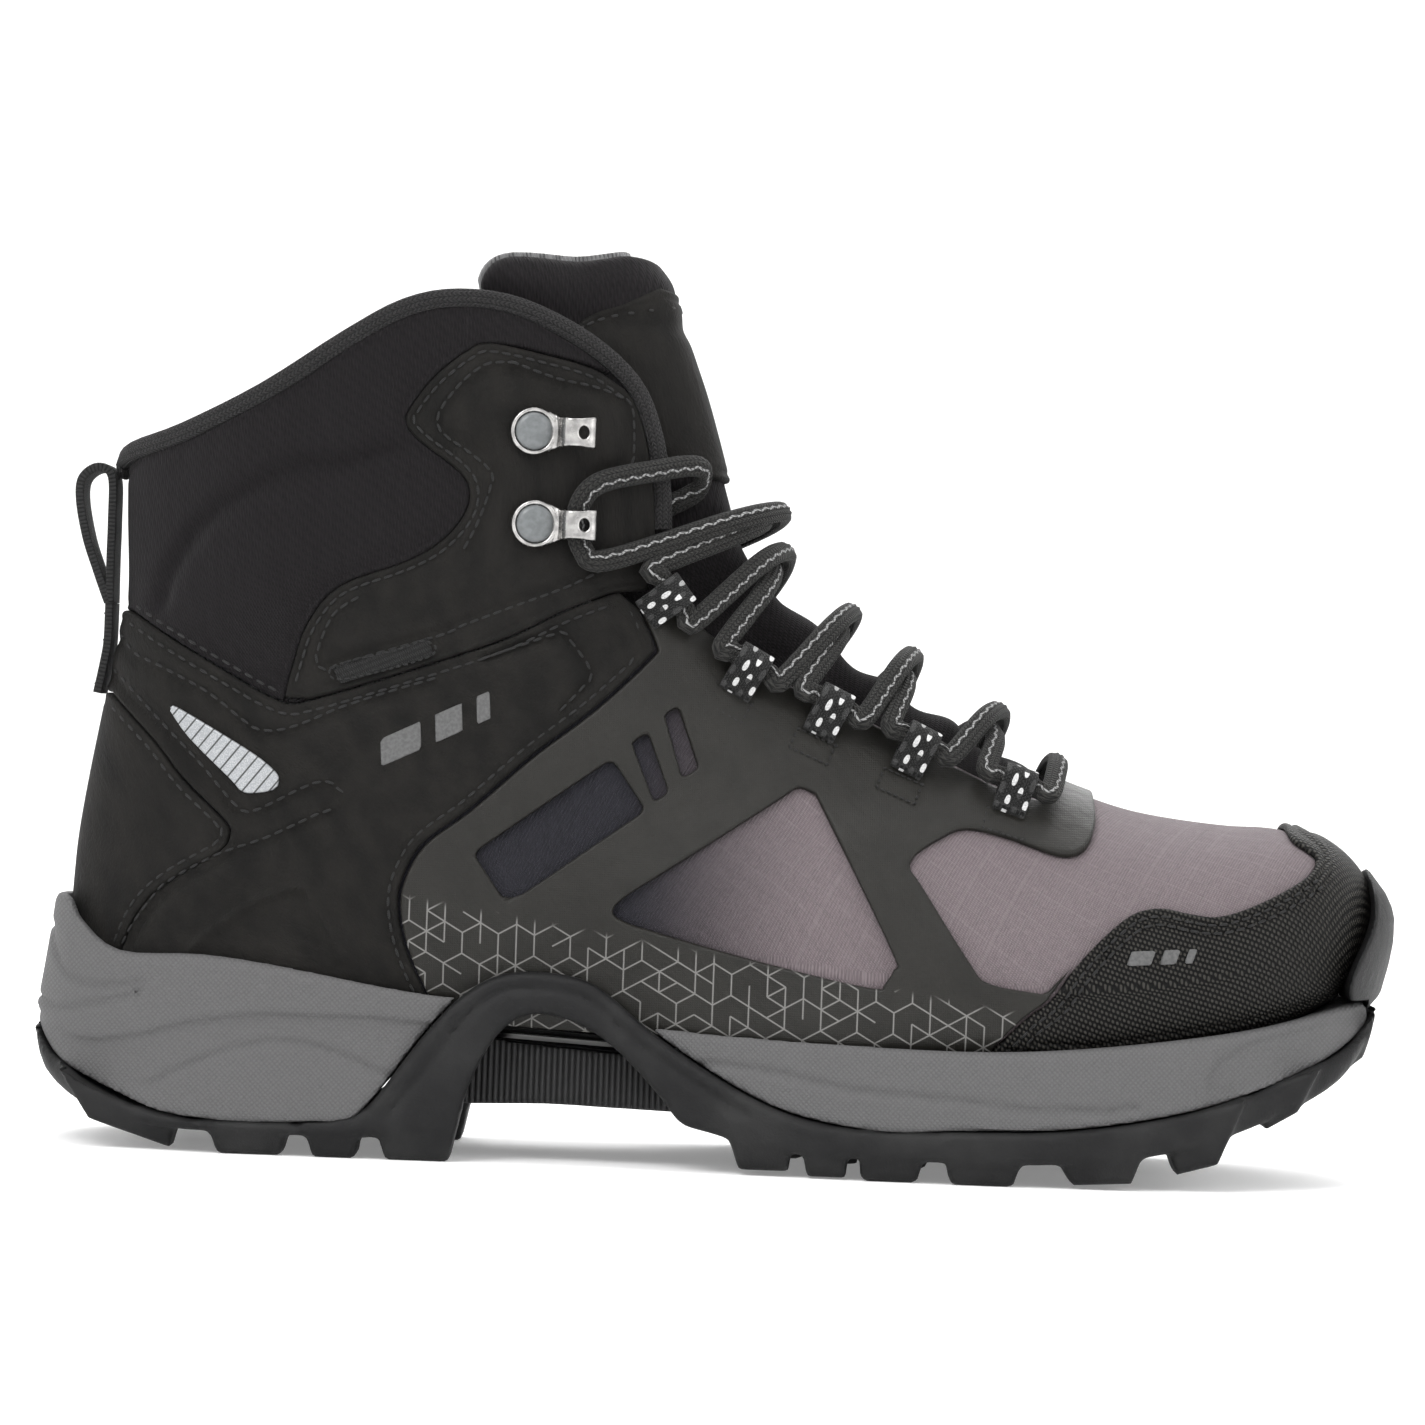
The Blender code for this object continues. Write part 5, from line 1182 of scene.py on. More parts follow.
def build_cuff(o):
    quilt = creased([CUFF_QUILT], QUILT_WIDTH, QUILT_DEPTH)
    swell = cuff_puff(o)

    def puff(rows, seen):
        return swell(rows, seen) + quilt(rows, seen) * np.clip(rows[:, D] / QUILT_FADE, 0, 1)
    holes = [o["panel"]]
    relief = reliefs(puff, stitched(1.6, 0.7, 0.3), swollen(9.0, 0.5, 0.0))
    form = sheet(o["cuff"], CUFF, holes=holes, lip=1.1, relief=relief)
    made = piece("cuff_padding", form, STUFF["softshell"], nodes=["cuff"])
    rows = [beside(in_span(o["top"], -134, -99), 2.2)]
    form = edge_rows(rows, CUFF[1] + 1.0, 2.9)
    piece("cuff_stitches", form[:2], STUFF["thread"])


def label_ribs(rows, seen):
    return LABEL_RIB * np.sin(rows[:, 0] * 2 * math.pi / LABEL_RIB_PITCH)


def build_trim():
    for side, word in SIDES:
        form = sheet(closed(REFLECTOR, 3), TRIM, side, lip=0.35)
        piece(f"reflector_{word}_film", form, STUFF["reflective"], nodes=[f"reflector_{word}"])
    form = sheet(LABEL, LABEL_SPAN, -1, lip=0.3, relief=label_ribs)
    piece("label_tape", form, STUFF["tape"], nodes=["woven_label"])
    border = closed(LABEL, 4)
    shrunk = border + (np.mean(border, 0) - border) * LABEL_BORDER
    form = sewn(np.vstack([shrunk, shrunk[:1]]), -1, LABEL_SPAN[1] + STITCH_LIFT, 1.7, 1.1, 0.26)
    piece("label_stitches", form[:2], STUFF["thread"])


OUTLINES = upper_outlines()
build_textile(OUTLINES)
build_film(OUTLINES)
build_toe_cap(OUTLINES)
build_strap(OUTLINES)
build_heel_patch(OUTLINES)
build_hook_panels(OUTLINES)
build_cuff(OUTLINES)
build_trim()


# ---- moulded pieces: level sets of sampled distance fields -------------------------------------------------
def rounded_max(a, b, k):
    """The larger of two fields, with the corner between them rounded over k mm."""
    h = np.clip(0.5 + 0.5 * (a - b) / k, 0, 1)
    return b + (a - b) * h + k * h * (1 - h)


def rounded_min(a, b, k):
    return -rounded_max(-a, -b, k)


def surface_net(field, origin, cell):
    """The level 0 of a sampled field, as points and quads. The field is negative inside the piece."""
    inside = field < 0
    corners = [inside[i:i - 1 or None, j:j - 1 or None, k:k - 1 or None]
               for i in (0, 1) for j in (0, 1) for k in (0, 1)]
    count = sum(c.astype(np.int8) for c in corners)
    active = (count > 0) & (count < 8)
    cells = np.argwhere(active)
    total, crossings = np.zeros((len(cells), 3)), np.zeros(len(cells))
    for axis in range(3):
        step = np.eye(3, dtype=int)[axis]
        for other in np.ndindex(2, 2):
            corner = np.insert(np.array(other), axis, 0)
            a, b = cells + corner, cells + corner + step
            fa, fb = field[tuple(a.T)], field[tuple(b.T)]
            crosses = (fa < 0) != (fb < 0)
            share = np.where(crosses, fa / np.where(crosses, fa - fb, 1), 0)
            total += np.where(crosses[:, None], corner + step * share[:, None], 0)
            crossings += crosses
    points = origin + (cells + total / crossings[:, None]) * cell
    number = np.full(active.shape, -1)
    number[tuple(cells.T)] = np.arange(len(cells))
    quads = []
    for axis in range(3):
        u, v = (axis + 1) % 3, (axis + 2) % 3
        first = [slice(1, -1)] * 3
        first[axis] = slice(0, -1)
        second = list(first)
        second[axis] = slice(1, None)
        fa, fb = inside[tuple(first)], inside[tuple(second)]
        at = np.argwhere(fa != fb)
        leaves = fa[tuple(at.T)]
        at = at + [0 if k == axis else 1 for k in range(3)]
        du, dv = np.eye(3, dtype=int)[u], np.eye(3, dtype=int)[v]
        ring = [at - du - dv, at - dv, at, at - du]
        quad = np.stack([number[tuple(r.T)] for r in ring], 1)
        quads.append(np.where(leaves[:, None], quad, quad[:, ::-1]))
    return points, np.vstack(quads)


class Block:
    """Sample points of a box, spaced evenly."""

    def __init__(self, low, high, cell):
        self.low, self.cell = np.array(low, float), cell
        self.axes = [np.arange(a, b + cell, cell) for a, b in zip(low, high)]
        self.x, self.y, self.z = [axis.reshape([-1 if k == i else 1 for k in range(3)])
                                  for i, axis in enumerate(self.axes)]
        self.shape = tuple(len(axis) for axis in self.axes)

    def slab(self, first, end):
        """The block's part between two of its samples along x."""
        part = Block.__new__(Block)
        part.axes = [self.axes[0][first:end], *self.axes[1:]]
        part.y, part.z = self.y, self.z
        return part

    def side_view(self, measure, *args):
        """measure(points, ...) of the side view points, spread along y."""
        x, z = np.meshgrid(self.axes[0], self.axes[2], indexing="ij")
        return measure(np.stack([x.ravel(), z.ravel()], 1), *args).reshape(len(x), 1, -1)

    def top_view(self, measure, *args):
        x, y = np.meshgrid(self.axes[0], self.axes[1], indexing="ij")
        return measure(np.stack([x.ravel(), y.ravel()], 1), *args).reshape(len(x), -1, 1)

    def net(self, field):
        return surface_net(np.broadcast_to(field, self.shape), self.low, self.cell)


# ---- the sole's plan and outlines --------------------------------------------------------------------------
PLAN_OUTER = [(-150, 0), (-146.5, -16), (-134, -30), (-112, -36.5), (-80, -38), (-40, -38.5), (0, -42.5),
              (35, -48), (70, -50), (100, -46.5), (125, -36), (142.5, -20), (150.5, 6)]
PLAN_INNER = [(-150, 0), (-146.5, 16), (-134, 30), (-112, 36), (-80, 36.5), (-40, 37), (0, 42),
              (35, 48.5), (70, 53), (100, 53), (125, 46.5), (142.5, 31), (150.5, 6)]
CORE_INSET = 6.0
MIDSOLE_TOP = [(-160, 55), (-146, 55), (-142, 50), (-132.5, 43.5), (-113.5, 43.5), (-94, 41.5), (-64, 37),
               (-45, 36.5), (-16.5, 32), (20, 30), (54.5, 29), (77, 30), (99.5, 32.5), (122, 36),
               (144.5, 41.5), (147, 41.5), (160, 43)]
OUTSOLE_TOP = [(-160, 29), (-153.5, 27), (-147.5, 20), (-138.5, 14), (-127, 9.5), (-108.5, 7), (-86, 7.5),
               (-77, 9.5), (-64, 27), (-55, 37), (-46, 42), (-35, 42.5), (-25.5, 40), (-14, 31),
               (-2.5, 23.5), (9.5, 17), (21, 13), (39, 10.5), (55, 11.5), (77.5, 12.5), (100, 16),
               (118, 21), (136, 28.5), (145, 34.5), (148.2, 38.4), (150.2, 41.2)]
OUTSOLE_UNDER = [(150.2, 41.2), (149.6, 38.4), (148.4, 35.5), (146.4, 32), (140, 24.5), (128.5, 18),
                 (112, 11.5), (94, 7), (72, 5), (45, 4.8), (17, 5.4), (0, 9), (-15.5, 12), (-36, 13),
                 (-54, 11.5), (-60, 6.5), (-75, 4.8), (-100, 4.8), (-122, 5.4), (-138, 9), (-149, 16),
                 (-154, 26), (-160, 27)]
ARCH_WINDOW = [(-54.5, 12), (-50, 24), (-42.5, 32.5), (-32, 32.5), (-20.5, 26), (-7, 11.5), (-7, 4),
               (-54.5, 4)]
ARCH_SPACE = [(-64, 15), (-54.5, 12), (-54.5, 3), (-7, 3), (-7, 12), (8, 15.5), (8, 80), (-64, 80)]
ARCH_CORE = [(-63.6, 15.5), (-54.2, 12.4), (-36, 13), (-7.4, 12.4), (7.6, 16), (7.6, 80), (-63.6, 80)]
TOE_BUMPER = [(147.6, 72), (152, 74), (160, 70), (160, 36), (147, 35), (142.8, 40.5), (141.8, 45.7),
              (143.6, 51), (146.6, 57.2), (147.9, 63)]
BUMPER_UNDER = [(138, 42), (147.3, 42), (147.8, 36), (160, 36)]
MIDSOLE_TIP = 147.3
BUMPER_REACH = [(36, 1.6), (41.4, 1.9), (45, 2.5), (50, 3.3), (55, 3.7), (60, 3.2), (66, 1.0), (72, -4.0)]
BUMPER_SINK, BUMPER_EDGE, BUMPER_SWELL, BUMPER_TRIM = 1.5, 1.5, 3.1, 0.7
HEEL_LUGS = [((-146, 16), (-116.5, 6.5), (-119, 0.6), (-137, 6.4)),
             ((-112, 6.5), (-91.5, 6.5), (-94, 0), (-108, 0)),
             ((-90, 6.5), (-76, 6.5), (-77.5, 0), (-87, 0)),
             ((-74, 6.5), (-54.5, 8), (-57, 0), (-71, 0))]
FORE_LUGS = [((3, 9), (19, 7), (18, 1.2), (7, 1.2)),
             ((20, 7), (31.5, 7), (30.5, 0.4), (22, 0.4)),
             ((33, 7), (49, 7), (46, 0), (34, 0)),
             ((51, 7), (70.5, 7), (67, 0), (53.5, 0)),
             ((73.5, 7), (97, 9.5), (93, 1.6), (80, 0.8)),
             ((99, 10), (118, 17), (112, 6.2), (103, 3.6)),
             ((121, 18), (136, 26), (130, 17.8), (123, 13.6)),
             ((138.5, 27), (149, 36), (146.5, 29.5), (141.5, 25.6))]
LUG_ROOT = 4.0
HEEL_LUG_LEAN, FORE_LUG_LEAN = -2.5, 3.5
OUTER_LUGS_GROW, END_LUGS_GROW, END_LUGS_FROM = 4.0, 1.0, 135.0
SIDE_LUG_WIDTH, MIDDLE_LUG_WIDTH = 17.0, 20.0
HEEL_SIDE = [(-160, 60), (-160, 24), (-100, 0), (-60, 0), (-45, 60)]
FORE_SIDE = [(-30, 60), (-14, 5), (160, 5), (160, 60)]

# lines moulded into the midsole's sides
HEEL_GROOVES = [
    [(-149.5, 48), (-148, 43.5), (-145.5, 39), (-142, 36.5), (-138.5, 35.5), (-134, 35.5), (-129.5, 36),
     (-127, 36.5), (-126.5, 35.5), (-127.5, 34.5)],
    [(-151.5, 31.5), (-149, 31), (-144.5, 30), (-139, 31), (-132.5, 32.5), (-127, 34.5)],
    [(-124, 14), (-119, 17), (-113, 20), (-107, 22.5), (-101, 24), (-95, 25), (-89, 24.5), (-83, 23),
     (-77.5, 21), (-73, 19), (-70, 18.5)],
]
HEEL_STEP = [(-152.5, 29.5), (-150, 27.5), (-147, 25.5), (-142.5, 24), (-137, 23.5), (-131.5, 24.5),
             (-124.5, 26), (-118, 28), (-110.5, 29.5), (-104.5, 30.5), (-97, 31), (-82, 31), (-74, 31),
             (-66.5, 30.5), (-60, 30)]
FORE_GROOVE = [(-2, 24), (11, 23), (25.5, 20.5), (33, 19.5), (48, 18.5), (57, 18), (70, 16.5), (78, 17),
               (86, 17), (93.5, 18)]
TOE_INSET = [(109.5, 22.5), (110, 26), (112.5, 29.5), (120.5, 33.5), (128, 35.5), (136, 37.5), (143.5, 39.5),
             (146.5, 39.5), (145.5, 35.5), (142.5, 32), (132.5, 27), (124.5, 24.5), (117, 22), (112.5, 21)]
STRUT_GROOVES = [
    [(-72, 8), (-61.5, 22), (-53.5, 33), (-45.5, 38.5), (-35, 39), (-26.5, 36.5), (-15.5, 27.5), (-3, 19.5),
     (8, 13.5)],
]
STEP_DEPTH, GROOVE_DEPTH, INSET_DEPTH = 0.9, 0.8, 0.7
SOLE_CLEARANCE, FOOT_CELL = 2.1, 3.0
OUTSOLE_CELL, MIDSOLE_CELL, BUMPER_CELL = 0.95, 0.75, 0.5
GROWTH_FROM, GROWTH_TO = -2.0, 60.0
WALL_FOOT, WALL_TOP, MIDSOLE_FOOT = 5.0, 2.2, 4.2
LUG_REACH, LUG_SHARE, LUG_ROW_FROM = 26, 0.45, 24
LUG_TAPER, LUG_TAPER_TOP, LUG_ROUND, OUTSIDE = 0.25, 6.5, 1.6, 9.0


SOLE_PLAN = closed(PLAN_OUTER + PLAN_INNER[-2:0:-1], 6)


def outline_field(points, outline):
    return -inside_by(points, outline)


def growth(z, low, high):
    """What a wall stands out past the sole's plan, from low at its foot to high at its top."""
    return low + (high - low) * np.clip((z - GROWTH_FROM) / (GROWTH_TO - GROWTH_FROM), 0, 1)


def foot_samples():
    """How far points of a coarse grid are outside the last, by the nearest point of the chart."""
    kept = CHART[CHART[:, 2] < 85][::7]
    tree = tree_of(kept[:, P])
    grid = Block((-165, -66, -6), (168, 69, 66), FOOT_CELL)
    x, y, z = np.meshgrid(*grid.axes, indexing="ij")
    spots = np.stack([x.ravel(), y.ravel(), z.ravel()], 1)
    found = np.array([tree.find(p)[1] for p in spots])
    near = kept[found]
    distance = ((spots - near[:, P]) * near[:, N]).sum(1) - SKIN
    return grid, distance.reshape(grid.shape)


FOOT = foot_samples()


def foot_field(block):
    """The foot samples at a block's points, by trilinear interpolation. It is negative inside the foot."""
    grid, samples = FOOT
    for axis, line in enumerate(block.axes):
        place = (line - grid.low[axis]) / FOOT_CELL
        i = np.clip(place.astype(int), 0, grid.shape[axis] - 2)
        share = (place - i).reshape([-1 if k == axis else 1 for k in range(3)])
        samples = np.take(samples, i, axis) * (1 - share) + np.take(samples, i + 1, axis) * share
    return samples


def lug_field(block, quad, low, high, lean=0.0):
    (rear_x, rear_z), (front_x, front_z), tip_front, tip_rear = quad
    corners = [(rear_x, rear_z + LUG_ROOT), (front_x, front_z + LUG_ROOT), tip_front, tip_rear]
    side = block.side_view(outline_field, np.array(corners) + [lean, 0])
    taper = LUG_TAPER * np.clip(LUG_TAPER_TOP - block.z, 0, 7)
    across = np.abs(block.y - (low + high) / 2) - (high - low) / 2 + taper
    return rounded_max(side, across, LUG_ROUND)


def edge_at(x, sign, grow):
    path = smooth(PLAN_OUTER if sign < 0 else PLAN_INNER, 8)
    return float(np.interp(x, path[:, 0], path[:, 1])) + sign * grow


def lugs_of(block):
    """The union of the tread's lugs."""
    field = np.full(block.shape, OUTSIDE)
    for row, lugs in enumerate((HEEL_LUGS, FORE_LUGS)):
        for quad in lugs:
            middle = (quad[2][0] + quad[3][0]) / 2
            ends = [edge_at(middle, sign, 0) for sign in (-1, 1)]
            i0, i1 = np.searchsorted(block.axes[0], (middle - LUG_REACH, middle + LUG_REACH))
            part = block.slab(i0, i1)
            for sign in (-1, 1):
                grow = OUTER_LUGS_GROW if abs(middle) < END_LUGS_FROM else END_LUGS_GROW
                edge = edge_at(middle, sign, grow)
                inner = edge - sign * min(SIDE_LUG_WIDTH, abs(edge) * LUG_SHARE)
                lug = lug_field(part, quad, min(edge, inner), max(edge, inner))
                field[i0:i1] = np.minimum(field[i0:i1], lug)
            if abs(ends[0]) > LUG_ROW_FROM:
                centre, half = sum(ends) / 2, MIDDLE_LUG_WIDTH / 2
                lean = FORE_LUG_LEAN if row else HEEL_LUG_LEAN
                lug = lug_field(part, quad, centre - half, centre + half, lean)
                field[i0:i1] = np.minimum(field[i0:i1], lug)
    return field


TREAD = np.vstack([smooth(OUTSOLE_TOP, 3), smooth(OUTSOLE_UNDER, 3)])


def build_outsole():
    block = Block((-158, -58, -2), (160, 61, 48), OUTSOLE_CELL)
    plan = block.top_view(outline_field, SOLE_PLAN)
    wall = plan - growth(block.z, WALL_FOOT, WALL_TOP)
    for path in STRUT_GROOVES:
        wall = wall + 0.9 * bell(block.side_view(from_path, smooth(path, 3)), 0.9)
    body = rounded_max(wall, block.side_view(outline_field, TREAD), 2.4)
    space = np.maximum(plan + CORE_INSET, block.side_view(outline_field, ARCH_SPACE))
    body = rounded_max(body, -space, 1.2)
    body = rounded_max(body, -block.side_view(outline_field, closed(ARCH_WINDOW, 3)), 1.6)
    foot = foot_field(block) - SOLE_CLEARANCE
    body = rounded_max(body, -foot, 0.8)
    below = block.side_view(outline_field, [*OUTSOLE_TOP, (160, -5), (-160, -5)])
    lugs = np.maximum(np.maximum(lugs_of(block), below), -foot)
    form = block.net(rounded_min(body, lugs, 1.2))
    piece("outsole_rubber", form, STUFF["rubber"], nodes=["outsole"])


def midsole(name, node, low_x, high_x, side, top_growth, wall_relief):
    block = Block((low_x, -56, 0), (high_x, 59, 58), MIDSOLE_CELL)
    plan = block.top_view(outline_field, SOLE_PLAN)
    under = np.array(sorted(OUTSOLE_UNDER), float)
    low = np.interp(block.x, under[:, 0], under[:, 1]) - 3
    line = smooth(MIDSOLE_TOP, 4)
    high = np.interp(block.x, line[:, 0], line[:, 1])
    share = np.clip((block.z - low) / (high - low), 0, 1)
    wall = plan - (MIDSOLE_FOOT + (top_growth - MIDSOLE_FOOT) * share) + wall_relief(block)
    field = rounded_max(wall, block.z - high, 2.2)
    field = np.maximum(field, block.side_view(outline_field, side))
    field = rounded_max(field, GAP - block.side_view(outline_field, TREAD), 0.8)
    tread_top = smooth(OUTSOLE_TOP, 3)
    field = np.maximum(field, np.interp(block.x, tread_top[:, 0], tread_top[:, 1]) + GAP - block.z)
    field = np.maximum(field, block.x - MIDSOLE_TIP)
    field = rounded_max(field, SOLE_CLEARANCE - foot_field(block), 1.2)
    form = block.net(field)
    piece(name, form, STUFF["eva_grey"], nodes=[node])


def heel_relief(block):
    relief = sum(GROOVE_DEPTH * bell(block.side_view(from_path, smooth(path, 4)), 0.8)
                 for path in HEEL_GROOVES)
    step = smooth(HEEL_STEP, 4)
    level = np.interp(block.x, step[:, 0], step[:, 1])
    below = ease((level - block.z) / 1.2 + 0.5)
    return relief + STEP_DEPTH * below * np.clip(1 - (level - block.z - 4) / 14, 0, 1)


def fore_relief(block):
    relief = GROOVE_DEPTH * bell(block.side_view(from_path, smooth(FORE_GROOVE, 4)), 0.8)
    inset = block.side_view(inside_by, closed(TOE_INSET, 3))
    return relief + INSET_DEPTH * ease(inset / 1.2 + 0.5)


def build_arch_core():
    block = Block((-66, -36, 8), (11, 40, 48), MIDSOLE_CELL)
    plan = block.top_view(outline_field, SOLE_PLAN)
    field = rounded_max(plan + CORE_INSET + GAP, block.side_view(outline_field, ARCH_CORE), 2.5)
    field = np.maximum(field, block.side_view(outline_field, TREAD))
    field = rounded_max(field, SOLE_CLEARANCE - foot_field(block), 1.0)
    form = block.net(field)
    piece("arch_core_foam", form, STUFF["eva_black"], nodes=["arch_core"])


def build_bumper():
    """A shell over the toe cap that thickens at its foot, down to the outsole's tip."""
    block = Block((138, -44, 32), (160, 50, 76), BUMPER_CELL)
    foot = foot_field(block)
    shell = foot - BUMPER_EDGE - BUMPER_SWELL * ease((73 - block.z) / 11)
    heights, reaches = np.transpose(BUMPER_REACH)
    toe = block.top_view(outline_field, SOLE_PLAN) - np.interp(block.z, heights, reaches)
    toe = np.maximum(toe, foot - 9)
    field = np.maximum(rounded_min(shell, toe, 6.0) + BUMPER_TRIM, -BUMPER_SINK - foot)
    edge, low = np.transpose(BUMPER_UNDER)
    field = np.maximum(field, np.interp(block.x, edge, low) - block.z)
    field = rounded_max(field, block.side_view(outline_field, closed(TOE_BUMPER, 3)), 1.3)
    field = np.maximum(field, GAP - block.side_view(outline_field, TREAD))
    form = block.net(field)
    piece("toe_bumper_rubber", form, STUFF["rubber"], nodes=["toe_bumper"])


build_outsole()
midsole("midsole_heel_foam", "midsole_heel", -160, -44, HEEL_SIDE, -0.6, heel_relief)
midsole("midsole_forefoot_foam", "midsole_forefoot", -30, 160, FORE_SIDE, -0.3, fore_relief)
build_arch_core()
build_bumper()


# ---- tapes, cords and lacing -------------------------------------------------------------------------------
LACE_DIAMETER = 4.4
LOOPS = [(65.0, 84.5), (42.5, 93.5), (23.0, 101.5), (4.5, 110.0), (-14.0, 125.5)]
LOOP_HEADINGS = [(-1, 0.28), (-1, 0.40), (-1, 0.42), (-1, 0.52), (-0.62, 0.78)]
LOOP_WIDTH, LOOP_THICK, LOOP_TAIL, LOOP_BORE = 7.6, 0.85, 6.0, 0.95
BARTACK = (4.6, 2.3)  # half of its length and width
LACE_WIDTH, LACE_HEIGHT, LACE_PITCH = 4.9, 3.9, 0.7
TOP_SLACK, LACE_SEAT = 4.5, 4.8
HOOKS = [(-43.5, 141.5), (-44.5, 162.0)]
HOOK_LIFT, RIVET_LIFT = 0.5, 1.25
LACE_TUCK = [(-20.5, 153.8, 4.6), (-10.2, 155.4, 5.2), (-7.4, 151.0, 0.9), (-12.9, 146.8, -3.3),
             (-17.6, 143.6, -4.7), (-22.5, 137.5, -4.5), (-24.5, 131.0, -4.5)]
BINDING_LIFT, BINDING_BACK = 2.3, (-137.9, 151.3)
PULL_LOOP_WIDTH, WEBBING = 15.0, 1.9
PULL_HINGE = (-140.4, 121.0)
CHART_KEPT = CHART[(CHART[:, 0] > -70) & (CHART[:, 2] > 60)][::5]
CHART_TREE = tree_of(CHART_KEPT[:, P])


def swept(path, outs, outline, ring_lengths):
    """A solid swept along a path: the outline's (across, out) at each point, as (points, faces, cloth)."""
    path, outs = np.asarray(path, float), np.asarray(outs, float)
    ahead = headings(path)
    outs = outs - ahead * (outs * ahead).sum(1)[:, None]
    outs /= np.maximum(np.linalg.norm(outs, axis=1), 1e-9)[:, None]
    aside = np.cross(ahead, outs)
    n, m = len(path), len(outline)
    outline = np.asarray(outline, float)
    grid = path[:, None] + aside[:, None] * outline[None, :, :1] + outs[:, None] * outline[None, :, 1:]
    points = grid.reshape(-1, 3)
    along = runs(path)
    layers = np.broadcast_arrays(along[:, None], np.asarray(ring_lengths)[None], 0.0)
    cloth = np.stack(layers, -1).reshape(-1, 3)
    faces = []
    i = np.arange(m)
    for r in range(n - 1):
        a, b, c, d = r * m + i, r * m + (i + 1) % m, (r + 1) * m + (i + 1) % m, (r + 1) * m + i
        faces.append(np.stack([a, b, c, d], 1))
    faces = np.vstack(faces)
    triangles = np.vstack([faces[:, [0, 1, 2]], faces[:, [0, 2, 3]]])
    ends = []
    for base, flip in ((0, 1), ((n - 1) * m, -1)):
        ends.append(np.array([(base, base + k + 1, base + k)[::flip] for k in range(1, m - 1)]))
    return points, np.vstack([triangles, *ends]), cloth


def oval(width, height, count, ribs=0, depth=0.0):
    """A cord's cross-section and the length round it, with that many ribs on each face."""
    a = np.arange(count) * 2 * math.pi / count
    x, y = width / 2 * np.cos(a), height / 2 * np.sin(a)
    if ribs:
        y = y * (1 - depth * (0.5 + 0.5 * np.cos(2 * math.pi * ribs * (x / width + 0.5))))
    ring = np.stack([x, y], 1)
    return ring, runs(np.vstack([ring, ring[:1]]))[:-1]


def flat_tape(width, thickness):
    """A tape's cross-section with rounded edges, as (across, out)."""
    w, t = width / 2, thickness / 2
    ring = [(-w, 0), (-w + 0.12, -t * 0.8), (-w + 0.5, -t)]
    ring += [(v, -t) for v in np.linspace(-w + 1, w - 1, 7)]
    ring += [(w - 0.5, -t), (w - 0.12, -t * 0.8), (w, 0), (w - 0.12, t * 0.8), (w - 0.5, t)]
    ring += [(v, t) for v in np.linspace(w - 1, -w + 1, 7)]
    ring += [(-w + 0.5, t), (-w + 0.12, t * 0.8)]
    ring = np.array(ring)
    return ring, ring[:, 0]


def loop_shape():
    """The middle line of a webbing loop's side: sewn flat, up over the lace and back under it."""
    bore = LACE_DIAMETER / 2 + LOOP_BORE
    seat = LACE_SEAT + 0.6
    low = OVERLAY[1] + 0.5
    top = [(-LOOP_TAIL, low + 0.9), (-LOOP_TAIL + 2.2, low + 1.1)]
    arc = [(1.0 + bore * math.cos(a), seat + bore * math.sin(a))
           for a in np.radians(np.linspace(130, -70, 9))]
    return smooth([*top, *arc, (-1.5, low), (-LOOP_TAIL, low)], 3)


def build_loops():
    middle = loop_shape()
    ring, lengths = flat_tape(LOOP_WIDTH, LOOP_THICK)
    for i, ((x, z), heading) in enumerate(zip(LOOPS, LOOP_HEADINGS)):
        for side, word in SIDES:
            matrix = np.array(frame_on_last(x, z, side, heading))
            matrix[:3, 3] /= MM
            mouth = np.stack([np.zeros(len(middle)), middle[:, 0], middle[:, 1]], 1)
            along = headings(mouth)
            outs = np.stack([np.zeros(len(middle)), along[:, 2], -along[:, 1]], 1)
            path = mouth @ matrix[:3, :3].T + matrix[:3, 3]
            form = swept(path, outs @ matrix[:3, :3].T, ring, lengths)
            piece(f"lace_loop_{word}_{i + 1}_tape", form, STUFF["webbing"],
                  nodes=[f"lace_loop_{word}_{i + 1}"])


def build_loop_bartacks():
    """The sewn box that holds each loop but the top one, whose tail is under the strap."""
    parts = []
    half_length, half_width = BARTACK
    for (x, z), (hx, hz) in list(zip(LOOPS, LOOP_HEADINGS))[:4]:
        size = math.hypot(hx, hz)
        ahead, down = np.array((hx, hz)) / size, np.array((-hz, hx)) / size
        if down[1] > 0:
            down = -down
        centre = np.array((x, z)) + down * (5.8 if x > 60 else 7.6)
        corners = [(-half_length, -half_width), (half_length, -half_width), (half_length, half_width),
                   (-half_length, half_width), (-half_length, -half_width)]
        ring = np.array([centre + ahead * a + down * b for a, b in corners])
        for side in (-1, 1):
            parts.append(sewn(even(ring, 0.5), side, OVERLAY[1] + STITCH_LIFT, 1.5, 1.05, 0.27))
    form = joined(parts)
    piece("loop_bartacks", form[:2], STUFF["thread"])


def loop_pass(i, side):
    """The lace through one loop: in at its toe end, out at its ankle end."""
    (x, z), heading = LOOPS[i], LOOP_HEADINGS[i]
    matrix = frame_on_last(x, z, side, heading)
    return [np.array(matrix @ Vector((along * MM, 1.0 * MM, (LACE_SEAT + 0.6) * MM))) / MM
            for along in (-7.5, -4.5, 4.5, 7.5)]


def crossing(start, end, lift, shares=(0.2, 0.4, 0.6, 0.8)):
    """Points from one loop's end over the tongue to the next one's start.

    In the middle they are lift mm above the last.
    """
    start, end = np.array(start), np.array(end)
    spine = last_point(np.linspace(1, 11, 201), np.zeros(201))
    gaps = (spine - (start + end) / 2) * [1, 0, 1]
    sizes = np.linalg.norm(gaps, axis=1)
    near = int(np.argmin(sizes))
    rise = gaps[near] / sizes[near] * (sizes[near] + SKIN + lift)
    return [start + (end - start) * share + rise * math.sin(math.pi * share) ** 0.6 for share in shares]


